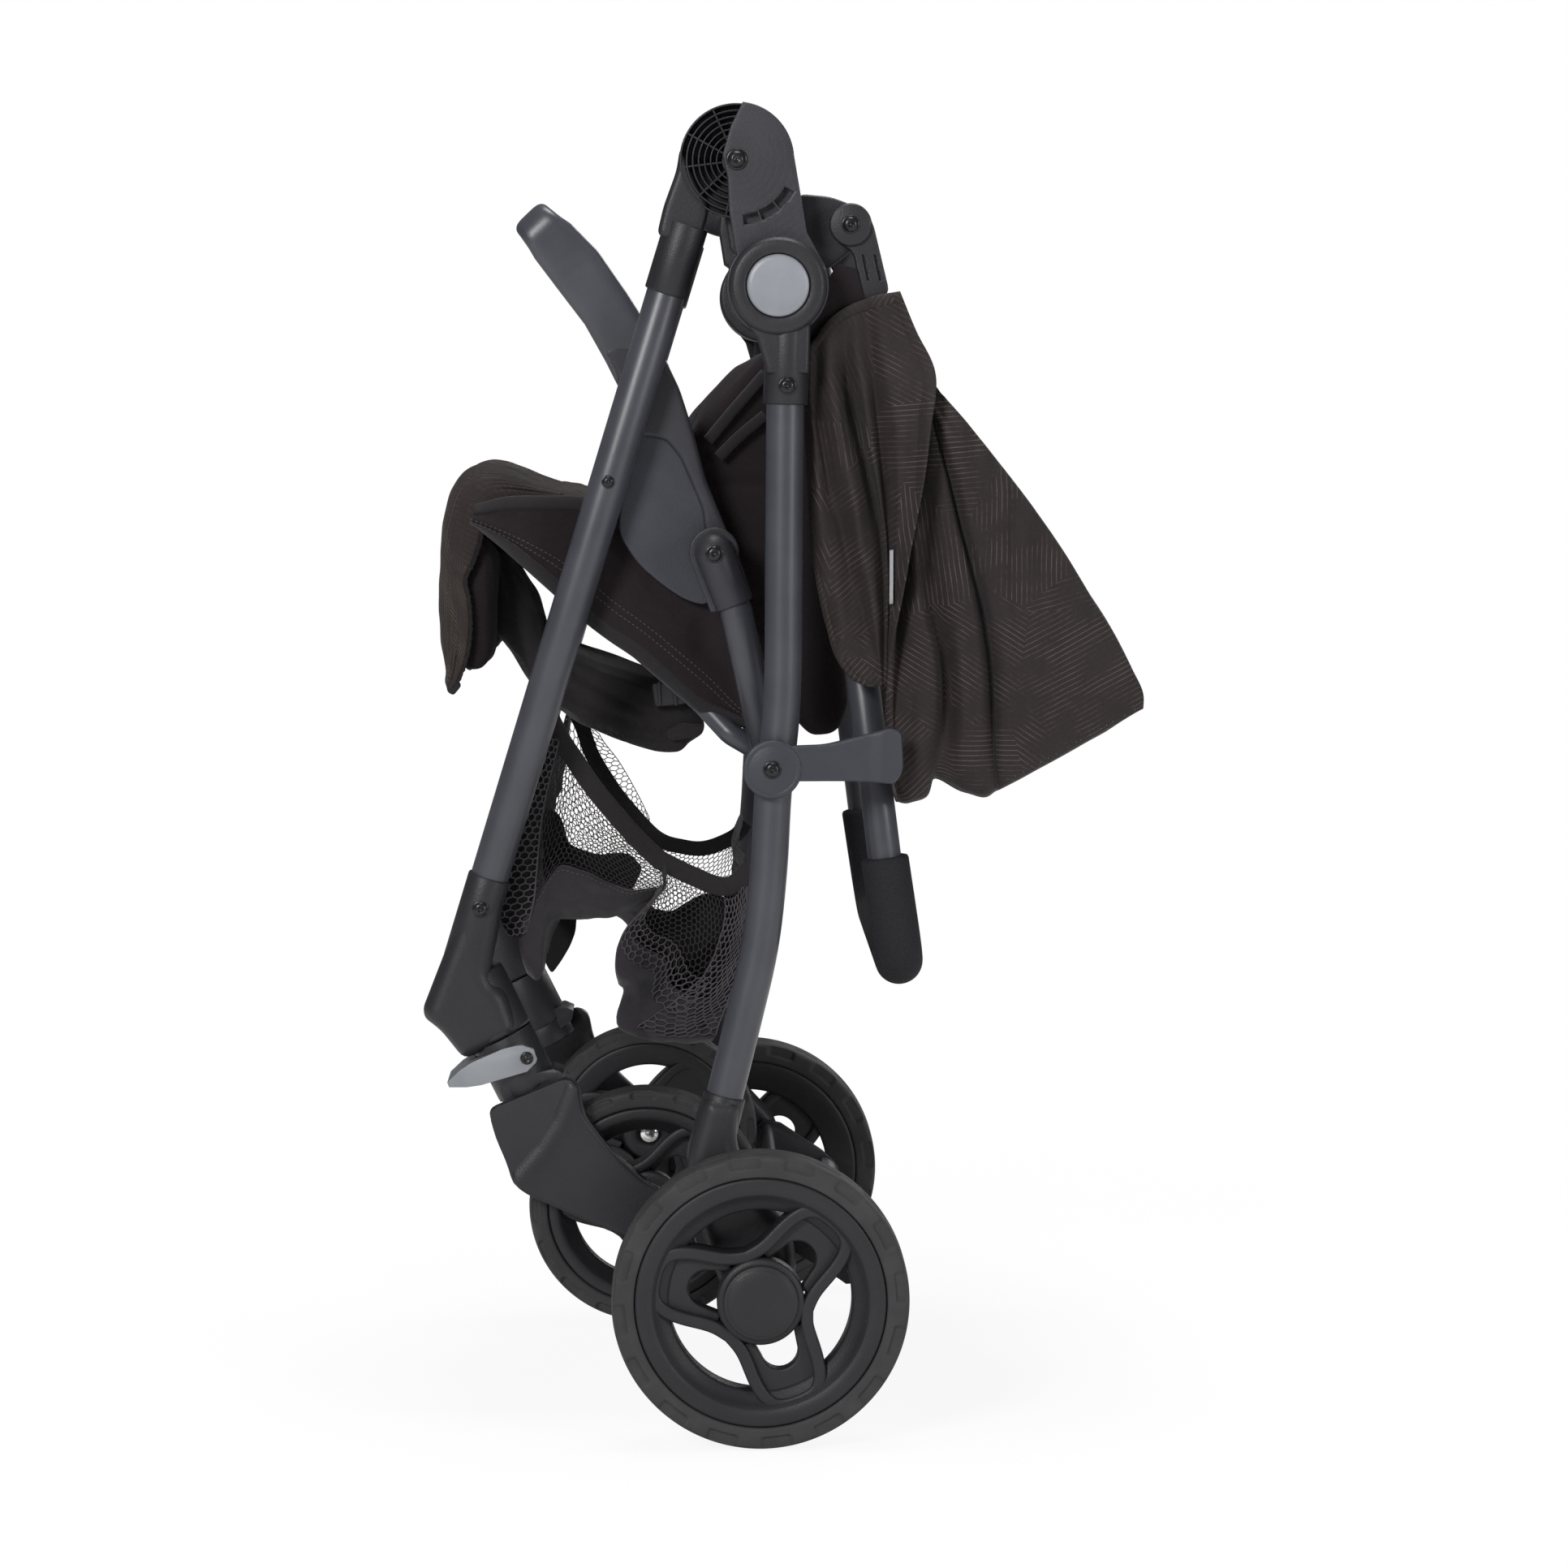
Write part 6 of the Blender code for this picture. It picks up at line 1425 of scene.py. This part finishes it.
topBand = tape("skirtTop", high, unit(low - high), (0, -1, 0), 9.0, 1.9)
seams = stitches("skirtSeams", [rows[r] - (0, 1.0, 0) for r in skirtSizes["seams"]], 3.4, 2.4, 0.3)
for piece in (lowBand, topBand):
    mapCloth(piece)
sides = dressPair(skirt, "seat_frame", "seat", "seat_fabric")
edges = dressPair(gathered("skirtBinding", lowBand, topBand), "seat_frame", "binding", "seat_fabric")
seams = dressPair(seams, "seat_frame", "thread", "seat_fabric")
print("seat cloth made")

# Sling under the seat with its buckle and strap end
slingSizes = {"outline": [(-203, 601), (-198.6, 577), (-198.4, 543), (-188, 527), (-182, 519), (-172, 501), (-160, 488),
    (-150, 481), (-132, 470), (-104, 458), (-70, 450.4), (-62, 453.6), (-63, 458.4), (-52, 462), (-48, 470), (-54, 479),
    (-68, 492), (-77, 497.6), (-88, 497), (-119, 508), (-143, 517), (-157, 520), (-166, 527), (-169, 537), (-174, 553),
    (-183, 570), (-191.6, 584)], "half": 79, "edge": 5, "pitch": 4, "corner": 3, "voxel": 4, "cap": 3.5}
seamLines = [[(-142.4, 505.5), (-119.2, 492.5), (-96, 480)], [(-197.7, 600.2), (-191.6, 577), (-185.6, 553.8),
    (-180.3, 530.5), (-176, 512)], [(-150, 494), (-120, 478), (-80, 463)]]


def slingDepth(x, y, z, n):
    deep = max(groove(nearest((x, z), line)[0], 5, 2.6) for line in seamLines) if abs(n.y) > 0.3 else 0.0
    return deep - 1.5 * ripple(x + y, z, 22, 18, 15)


sling = cushion("seatSling", slingSizes, slingDepth, lambda x, y, z: (x + y * 0.7, z))
dress(sling, "seat_frame", "binding", "seat_fabric")
outline = rounded([(-89, 500), (-67, 500.6), (-64.6, 485), (-86.5, 482.6)], 3)
buckle = [moulded("buckleBody", outline, 81, 88, 1.6, 0.4, 1.6)]
for x in (-85, -74):
    outline = rounded([(x, 500.8), (x + 2.6, 501), (x + 3.4, 484), (x + 0.8, 483.6)], 1)
    buckle.append(moulded("buckleRib", outline, 87, 89.4, 0.8, 0.2, 1.2))
dress(gathered("slingBuckle", *buckle), "seat_frame", "plastic", "frame_plastic")
strapEnd = moulded("strapEnd", rounded([(-79, 466), (-69.5, 471.4), (-51, 470), (-56.6, 462), (-75.6, 458.8)], 3), 81.5,
    85, 1.2, 0.4, 1.6)
mapCloth(strapEnd)
dress(strapEnd, "seat_frame", "binding", "seat_fabric")

# Backrest: the lower half stays with the rear legs, the upper one goes with the handle
lowerSizes = {"outline": [(-9, 735), (-64, 678), (-60, 655), (-50, 625), (-42, 598), (-32, 570), (-26, 540), (-31, 498),
    (-18, 494), (-3, 501), (4, 600), (3, 730)], "half": 141, "edge": 6, "pitch": 5, "corner": 6, "voxel": 5.5, "cap": 4}
lower = cushion("backrestLower", lowerSizes, lambda x, y, z, n: groove(z - 640, 6, 2) + groove(z - 560, 6, 2)
    + groove(abs(y) - 92, 5, 2.2) - 1.4 * ripple(y, z, 40, 34, 18), lambda x, y, z: (y + x, z))
dress(lower, "rear_frame", "seat", "seat_fabric", "backrest_lower")
upperSizes = {"outline": [(9, 713), (9, 600), (9, 478), (20, 465), (40, 468), (44.5, 488), (38, 600), (24.6, 713)],
    "half": 158, "edge": 6, "pitch": 5, "corner": 5, "voxel": 5.5, "cap": 3}
upper = cushion("backrestUpper", upperSizes, lambda x, y, z, n: groove(z - 664, 6, 2) + groove(z - 574, 6, 2)
    - 1.2 * ripple(y, z, 44, 36, 21), lambda x, y, z: (y + x, z))
dress(upper, "handle_frame", "seat", "seat_fabric", "backrest_upper")
# A loop of cloth joins both halves; it is folded at rest
loop = curveThrough([(-5, 702), (-4, 718), (-2, 733), (3, 742), (8, 741), (12, 731), (14, 716), (16, 698)], 44)
join = clothGrid("backrestJoin", [[(x, y, z + 0.8 * ripple(y, x, 26, 9, 25)) for y in np.linspace(-137, 137, 90)]
    for x, z in loop], 1.6, lambda x, y, z: (y + x, z))
crossing(join, "seat", "rear_frame", "handle_frame", (-0.004, 0, 0.72), (0.014, 0, 0.72))
strips = []
for path in ([(-52.5, 671), (-35, 692), (-13, 717)], [(-45, 660), (-31, 674), (-13, 689)]):
    line = curveThrough(path, 30)
    way = np.gradient(line, axis=0)
    away = unit(np.stack([way[:, 1], np.zeros(30), -way[:, 0]], 1))
    strips.append(tape("tapeStrip", [(x, -144.4, z) for x, z in line], away, (0, -1, 0), 7.0, 1.5))
strips = gathered("backrestTapes", *strips)
mapCloth(strips, lambda x, y, z: (x + z, x - z))
dressPair(strips, "rear_frame", "binding", "seat_fabric")
quilt.data.uv_layers.active = quilt.data.uv_layers[0]
for piece, finish in ((quilt, "calf"), (quiltEdge, "binding")):
    crossing(piece, finish, "seat_frame", "calf_support", (-0.188, 0, 0.655), (-0.212, 0, 0.605))
print("pads made")


# Basket: a net bag with a cloth floor, slack between the folded legs
netTree = nodeTree("net strands", [("Strand", "NodeSocketFloat", 0.0004), ("Sides", "NodeSocketInt", 3),
    ("Finish", "NodeSocketMaterial", None)])
start = treeNode(netTree, "NodeGroupInput")
line = treeNode(netTree, "GeometryNodeMeshToCurve", Mesh=start.outputs["Geometry"])
ring = treeNode(netTree, "GeometryNodeCurvePrimitiveCircle", Resolution=start.outputs["Sides"],
    Radius=start.outputs["Strand"])
cords = treeNode(netTree, "GeometryNodeCurveToMesh", Curve=line.outputs[0], Profile_Curve=ring.outputs[0], Fill_Caps=True)
endTree(netTree, start, cords.outputs[0])


def netOver(name, grid, cell, strand, finish="net"):
    # a six-sided mesh laid over a grid of points, in millimetres
    grid = np.array(grid, float)
    rows, columns = grid.shape[:2]
    wide = np.linalg.norm(np.diff(grid, axis=1), axis=2).sum(axis=1).mean()
    tall = np.linalg.norm(np.diff(grid, axis=0), axis=2).sum(axis=0).mean()
    edge = cell / sqrt(3)
    across, down = max(2, int(wide / cell)), max(2, int(tall / (1.5 * edge)))
    points, index, edges = [], {}, set()

    def corner(u, v):
        key = (round(u, 3), round(v, 3))
        if key not in index:
            index[key] = len(points)
            points.append(key)
        return index[key]

    for j in range(down + 1):
        for i in range(across + 1):
            u0, v0 = (i + 0.5 * (j % 2)) * cell, j * 1.5 * edge
            ring = [(u0 + edge * cos(radians(a)), v0 + edge * sin(radians(a))) for a in range(30, 390, 60)]
            if all(-0.6 * cell <= u <= (across + 0.6) * cell and -0.2 * edge <= v <= down * 1.5 * edge + 0.2 * edge
                    for u, v in ring):
                keys = [corner(u, v) for u, v in ring]
                edges |= {tuple(sorted(pair)) for pair in zip(keys, keys[1:] + keys[:1])}
    flat = np.array(points)
    u = np.clip(flat[:, 0] / (across * cell), 0, 1) * (columns - 1)
    v = np.clip(flat[:, 1] / (down * 1.5 * edge), 0, 1) * (rows - 1)
    i, j = np.minimum(u.astype(int), columns - 2), np.minimum(v.astype(int), rows - 2)
    s, t = (u - i)[:, None], (v - j)[:, None]
    laid = (grid[j, i] * (1 - s) + grid[j, i + 1] * s) * (1 - t) + (grid[j + 1, i] * (1 - s) + grid[j + 1, i + 1] * s) * t
    mesh = bpy.data.meshes.new(name)
    mesh.from_pydata([tuple(p) for p in laid * mm], list(edges), [])
    made = throughTree(name, mesh, netTree, {"Strand": strand * mm, "Sides": 3, "Finish": finishes[finish]})
    made.data.shade_smooth()
    return mapCloth(made, lambda x, y, z: (x + y, z))


bag = {"half": 133.0, "rows": 60, "columns": 76, "seam": 38, "cell": 3.9, "coarse": 5.0, "strand": 0.36}
# side guides run from the rim to the lowest edge as (x, z, outward); the seam between net and cloth is near two thirds down
nearGuides = [
    [(-152.6, 478, 0), (-158.6, 449, 2), (-166.4, 408, 4), (-173.4, 372, 5), (-178.6, 345, 5), (-179.6, 322, 3),
     (-174.6, 302, 0)],
    [(-147, 467, 0), (-156, 434, 0), (-161.6, 408, -3), (-164.6, 385, -3), (-168, 362, 4), (-169.6, 330, 5),
     (-167.5, 298, 2)],
    [(-137, 451.6, 0), (-146, 428, 0), (-149, 402, -2), (-149.6, 383, -4), (-156, 366, 2), (-159, 352, 4), (-160, 336, 0)],
    [(-126, 435, 0), (-130.6, 413, 1), (-132.6, 393, 1), (-134.4, 374, 1), (-139, 362, 6), (-142, 352, 5),
     (-143.6, 342, 0)],
    [(-111.6, 417, 0), (-117.6, 400, 0), (-119.4, 383, -1), (-119.8, 364, 0), (-122, 356, 7), (-125, 350, 6),
     (-128, 343, 1)],
    [(-95.4, 398.6, 0), (-99.6, 387, 0), (-100.8, 377, 0), (-100.4, 368, 1), (-102.6, 361, 8), (-107, 352, 6),
     (-112.6, 342, -1)],
    [(-82.4, 386, 0), (-83.4, 380, 1), (-83, 375, 3), (-82, 371.4, 4), (-81, 368, 6), (-84, 361, 2), (-92, 350, -6)],
    [(-75.4, 381.6, 0), (-75, 368, 3), (-79, 354, 5), (-92, 342, 6), (-108.6, 328, 5), (-113, 318, 1), (-107, 312, -8)],
    [(-65.6, 376.6, 0), (-67, 358, -5), (-78.6, 340, 1), (-92, 327, 7), (-104.6, 314, 7), (-113, 304, 5), (-112, 297, -4)],
    [(-54, 371.4, 0), (-54, 353.4, 3), (-62, 333.6, 2), (-75.6, 317, -3), (-83, 306, 0), (-99, 298, 6), (-108, 291, 2)],
    [(-44.4, 367.4, 0), (-42.6, 350, -2), (-49, 325, 3), (-60.6, 304, 3), (-75.4, 293, 0), (-97, 280, 4),
     (-112.6, 266.6, 0)],
    [(-35.4, 367, 0), (-32.8, 342, 2), (-37.6, 317, -2), (-49, 292, 3), (-61, 277, 3), (-78, 266, 6), (-92, 256.6, 2)],
    [(-24.4, 378, 0), (-23.4, 350, 0), (-27.8, 317, 2), (-35, 287, 0), (-44, 264, 2), (-46, 258, 2), (-49, 254, 0)],
]
farGuides = [
    [(-150, 474, 0), (-158, 446, 0), (-166, 412, 0), (-172, 384, 0), (-173, 360, 2), (-169, 338, 1), (-165, 319, 0)],
    [(-140, 458, 0), (-150, 430, 0), (-158, 406, 0), (-163, 388, 0), (-164, 364, 2), (-162, 340, 1), (-161, 319, 0)],
    [(-130, 431, 0), (-140, 411, 0), (-148, 392, 0), (-155, 376, 2), (-154, 356, 2), (-152, 334, 0), (-150, 316, 0)],
    [(-118, 411, 0), (-130, 394, 1), (-142, 376, 0), (-151, 361, 3), (-149, 344, 0), (-147, 328, 2), (-146, 314, 0)],
    [(-101, 389, 0), (-112, 376, 0), (-122, 364, 2), (-130, 353, 4), (-130, 340, 0), (-130, 328, 2), (-131, 317, 0)],
    [(-84, 371.6, 0), (-94, 366, 0), (-103, 361, 0), (-111, 357, 3), (-112, 340, 0), (-114, 323, 2), (-115, 309, 0)],
    [(-66, 365.4, 0), (-76, 358, 0), (-86, 350, 2), (-93, 342, 4), (-96, 325, 0), (-99, 308, 0), (-101, 293, 0)],
    [(-48, 365, 0), (-58, 347, 0), (-67, 330, 0), (-74, 315, 2), (-80, 301, 0), (-87, 286, 0), (-93, 275, 0)],
    [(-32, 371.6, 0), (-38, 356, 0), (-46, 340, 0), (-52, 326, 2), (-61, 304, 0), (-72, 280, 0), (-82, 260, 0)],
    [(-23, 382, 0), (-25, 360, 0), (-27, 338, 0), (-29, 318, 0), (-34, 296, 0), (-41, 272, 0), (-47, 252, 0)],
]


def bagSide(guides, hand, seed):
    rows = []
    for r, line in enumerate(loft(guides, bag["rows"], bag["columns"])[0]):
        t = r / (bag["rows"] - 1)
        calm, limp = min(1, t * 6), 1 + 1.6 * max(0, t - 0.62) / 0.38
        row = []
        for x, z, out in line:
            wave = 2.6 * ripple(x, z, 15, 18, seed) + 1.3 * ripple(x, z, 6, 8, seed + 4)
            row.append((x, hand * (bag["half"] + out * limp + calm * limp * wave),
                z + calm * ripple(x, z, 10, 10, seed + 2)))
        rows.append(row)
    return np.array(rows)


def ruled(first, last, count, depthAt):
    # straight rows from one side line to another, at a depth that varies across
    return np.array([[(x0 + (x1 - x0) * s, depthAt(s), z0 + (z1 - z0) * s) for s in np.linspace(0, 1, count)]
        for (x0, z0), (x1, z1) in zip(first, last)])


def between(first, last, count, sag, seed):
    # cloth spanning from one side of the bag to the other
    made = []
    for a, b in zip(first, last):
        row = []
        for i in range(count):
            s = i / (count - 1)
            p = np.array(a) * (1 - s) + np.array(b) * s
            droop = sin(pi * s)
            wave = droop ** 0.5 * (2.4 * ripple(p[1], p[0] + p[2], 22, 30, seed)
                + 1.2 * ripple(p[1], p[0], 8, 12, seed + 3))
            row.append((p[0] + sag[0] * droop + wave, p[1], p[2] + sag[1] * droop + wave * 0.6))
        made.append(row)
    return np.array(made)


nearSide, farSide = bagSide(nearGuides, -1, 31), bagSide(farGuides, 1, 41)
front = between(nearSide[:, 0], farSide[:, 0], 60, (7, 0), 51)
for axis, dip in ((2, 58), (0, 12)):
    front[:, :, axis] -= np.sin(np.linspace(0, pi, 60)) * np.linspace(dip, 0, bag["rows"])[:, None]
rear = between(nearSide[:, -1], farSide[:, -1], 60, (-7, -4), 61)
floor = between(nearSide[-1], farSide[-1], 60, (0, -3), 71)
seam = bag["seam"]
nets = [netOver("net", grid[:seam + 1], bag["cell"], bag["strand"]) for grid in (nearSide, farSide, front, rear)]
coarseLeft = curveThrough([(-163, 470), (-173, 431), (-183, 395), (-190, 365), (-193, 340), (-186, 328)], 60)
coarseRight = curveThrough([(-151.6, 466), (-161.3, 426), (-164.6, 408), (-167.6, 377), (-170.2, 352), (-176, 330)], 60)
strip = ruled(coarseLeft, coarseRight, 12, lambda s: -(bag["half"] + 9 + 3.4 * sin(pi * s)))
columnOf = [int(round(s * (bag["columns"] - 1))) for s in loft(nearGuides, bag["rows"], bag["columns"])[1]]
rearBand, rearFold = nearSide[5:57, columnOf[10] + 3:], nearSide[30:47, columnOf[6]:columnOf[11]]
coarse = [netOver("coarse", grid - (0, out, 0), bag["coarse"], strand)
    for grid, out, strand in ((strip, 0, 0.62), (rearBand, 1.8, 0.6), (rearFold, 2.0, 0.55))]
liningsAndShade = [clothGrid("lining", grid + (0, back, 0), 0.9) for grid, back in ((strip, 2.6), (rearBand, 2.4))]
# folds seen through the net: their depth and their outline; these sheets take the very dark finish as painted shade
# inside the bag
inside = [
    (-101, [(-166, 404), (-165, 411), (-159, 414), (-152, 408), (-148.7, 397), (-147, 389), (-136.6, 384), (-126, 381),
     (-112, 382.4), (-104, 381.5), (-95, 372), (-102, 357), (-130, 353), (-163, 366)]),
    (-101, [(-75, 341), (-66, 347), (-54, 353.5), (-42, 354), (-34, 346), (-35, 330), (-50, 318), (-57, 312), (-76, 298),
     (-99, 303), (-108, 325), (-92, 344)]),
    (119, [(-178, 355), (-158, 351), (-149, 336), (-146, 313), (-147, 300), (-151, 289.6), (-157.6, 278.4), (-165, 268),
     (-174, 285), (-178, 320)])]
for y, outline in inside:
    liningsAndShade.append(moulded("fold", rounded(outline, 4), -y - 1.5, -y + 1.5, 1.2, 1.2, 3.0,
        lambda x, z, deep: 3.0 * ripple(x, z, 16, 30, 81)))
flapEdge = curveThrough([(-130, 449), (-128.6, 446), (-114.5, 426.3), (-100.3, 401.3), (-91.5, 383.3)], 30)
flapLow = curveThrough([(-140, 455), (-133, 437), (-119, 412), (-102, 390), (-90, 378)], 30)
flap = ruled(flapEdge, flapLow, 6, lambda s: bag["half"] - 1.5 * s)
nets.append(netOver("flapNet", flap, bag["cell"], bag["strand"]))

points, faces = [], []
for number, grid in enumerate((nearSide[seam:], floor, farSide[seam:], front[seam:], rear[seam:])):
    faces += gridFaces(*grid.shape[:2], start=len(points), flip=number in (1, 2, 3))
    points += [Vector(p) * mm for p in grid.reshape(-1, 3)]
cloth = addObject("basketFloor", points, faces, merge=0.05)
mapCloth(cloth, lambda x, y, z: (x + y * 0.8, z + y * 0.5))
cloth = thickened(cloth, 1.0)
nets = gathered("basketNet", *nets)
coarse = gathered("basketCoarse", *coarse)
# the linings behind the coarse net, gathered with the fold sheets whose darkness is painted shade
liningsAndShade = mapCloth(gathered("basketLining", *liningsAndShade))


def hemBand(name, line, depth, lift):
    # a folded band over the rim, both faces
    line = np.array(line)
    way = np.gradient(line, axis=0)
    down = unit(np.stack([way[:, 2], np.zeros(len(line)), -way[:, 0]], 1))
    down[down[:, 2] > 0] *= -1
    steps = [(-0.06, 0), (-0.04, 0.8), (0.1, 1.0), (0.5, 1.15), (0.9, 1.0), (1, 0.7)]
    grid = np.array([line + down * depth * s + np.array([0, lift * h, 0]) for s, h in steps]).transpose(1, 0, 2)
    return mapCloth(clothGrid(name, grid, 1.4))


rimNear, rimFar = [curveThrough(grid[0], 90) + (0, 0, 1) for grid in (nearSide, farSide)]
bands = [hemBand("rim", rim, depth, lift) for rim, depth, lift in (
    (rimNear, 11.5, -1.6), (rimNear, 11.5, 1.2), (rimFar, 9.5, 1.6), (rimFar, 9.5, -1.2))]
roll = [(1.3 * cos(t), 5.4 * sin(t)) for t in (2 * pi * i / 12 for i in range(12))]
for grid in (front, rear):
    bands.append(mapCloth(sweep("rim", curveThrough(grid[0], 60), roll, up=(0, 0, 1)), lambda x, y, z: (y, z)))
bindings = gathered("basketBinding", *bands)
seamThread = stitches("basketSeam", [nearSide[seam + 2] - (0, 1.2, 0), farSide[seam + 2] + (0, 1.2, 0)], 3.6, 2.4, 0.3)
dress(nets, "rear_frame", "net", "basket_net", "basket")
# the dark finish is the lining's own colour, and painted shade on the fold sheets inside the bag
for piece, finish in ((cloth, "floorCloth"), (coarse, "coarse"), (liningsAndShade, "dark"), (bindings, "binding"),
        (seamThread, "thread")):
    dress(piece, "rear_frame", finish, "basket_net")
print("basket made, net faces", len(nets.data.polygons), "cloth faces", len(cloth.data.polygons))


# Stage, light and camera
floor = addObject("stageFloor", [(x, y, -0.0005) for x, y in ((-6, -6), (6, -6), (6, 6), (-6, 6))], [(0, 1, 2, 3)],
    outward=False)
white = bpy.data.materials.new("stageWhite")
floor.data.materials.append(white)
white.use_nodes = True
tree = white.node_tree
tree.nodes.clear()
# the camera sees plain white further out, and the shade under the wheels near the middle
place = treeNode(tree, "ShaderNodeTexCoord")
far = treeNode(tree, "ShaderNodeVectorMath", {"operation": "LENGTH"}, _0=place.outputs["Object"])
reach = treeNode(tree, "ShaderNodeMapRange", _0=far.outputs["Value"], _1=0.45, _2=1.1, _3=0.9, _4=1.0)
ray = treeNode(tree, "ShaderNodeLightPath")
seen = treeNode(tree, "ShaderNodeMath", {"operation": "MULTIPLY"}, _0=ray.outputs["Is Camera Ray"], _1=reach.outputs[0])
diffuse = treeNode(tree, "ShaderNodeBsdfDiffuse", Color=(0.9, 0.9, 0.9, 1))
glow = treeNode(tree, "ShaderNodeEmission", Strength=1.0)
mix = treeNode(tree, "ShaderNodeMixShader", _0=seen.outputs[0], _1=diffuse.outputs[0], _2=glow.outputs[0])
treeNode(tree, "ShaderNodeOutputMaterial", _0=mix.outputs[0])

scene.world = bpy.data.worlds.new("studio")
scene.world.use_nodes = True
tree = scene.world.node_tree
tree.nodes.clear()
ray = treeNode(tree, "ShaderNodeLightPath")
seen = treeNode(tree, "ShaderNodeMath", {"operation": "MAXIMUM"}, _0=ray.outputs["Is Camera Ray"],
    _1=ray.outputs["Is Transmission Ray"])
soft, bright = [treeNode(tree, "ShaderNodeBackground", Color=(1, 1, 1, 1), Strength=strength) for strength in (0.17, 1.0)]
mix = treeNode(tree, "ShaderNodeMixShader", _0=seen.outputs[0], _1=soft.outputs[0], _2=bright.outputs[0])
treeNode(tree, "ShaderNodeOutputWorld", _0=mix.outputs[0])

lamps = {"key": ((-1.5, -3.0, 1.9), 1.0, 88), "fill": ((2.4, -2.4, 1.2), 1.0, 34), "top": ((0.1, 0.0, 3.0), 1.4, 60),
    "back": ((1.5, 2.6, 1.8), 1.4, 26)}
for name, (where, wide, power) in lamps.items():
    data = bpy.data.lights.new(name, "AREA")
    data.shape, data.size, data.energy = "DISK", wide, power
    lamp = bpy.data.objects.new(name, data)
    lamp.location = where
    lamp.rotation_euler = (Vector((0, 0, 0.45)) - Vector(where)).to_track_quat("-Z", "Y").to_euler()
    scene.collection.objects.link(lamp)

shot = {"lens": 102.75, "place": (-0.073, -3.2, 0.709), "down": 5.14, "turn": -1.407}
view = bpy.data.cameras.new("camera")
view.lens, view.sensor_width, view.sensor_fit = shot["lens"], 36, "HORIZONTAL"
camera = bpy.data.objects.new("camera", view)
camera.location = shot["place"]
camera.rotation_euler = (radians(90 - shot["down"]), 0, radians(shot["turn"]))
scene.collection.objects.link(camera)
scene.camera = camera
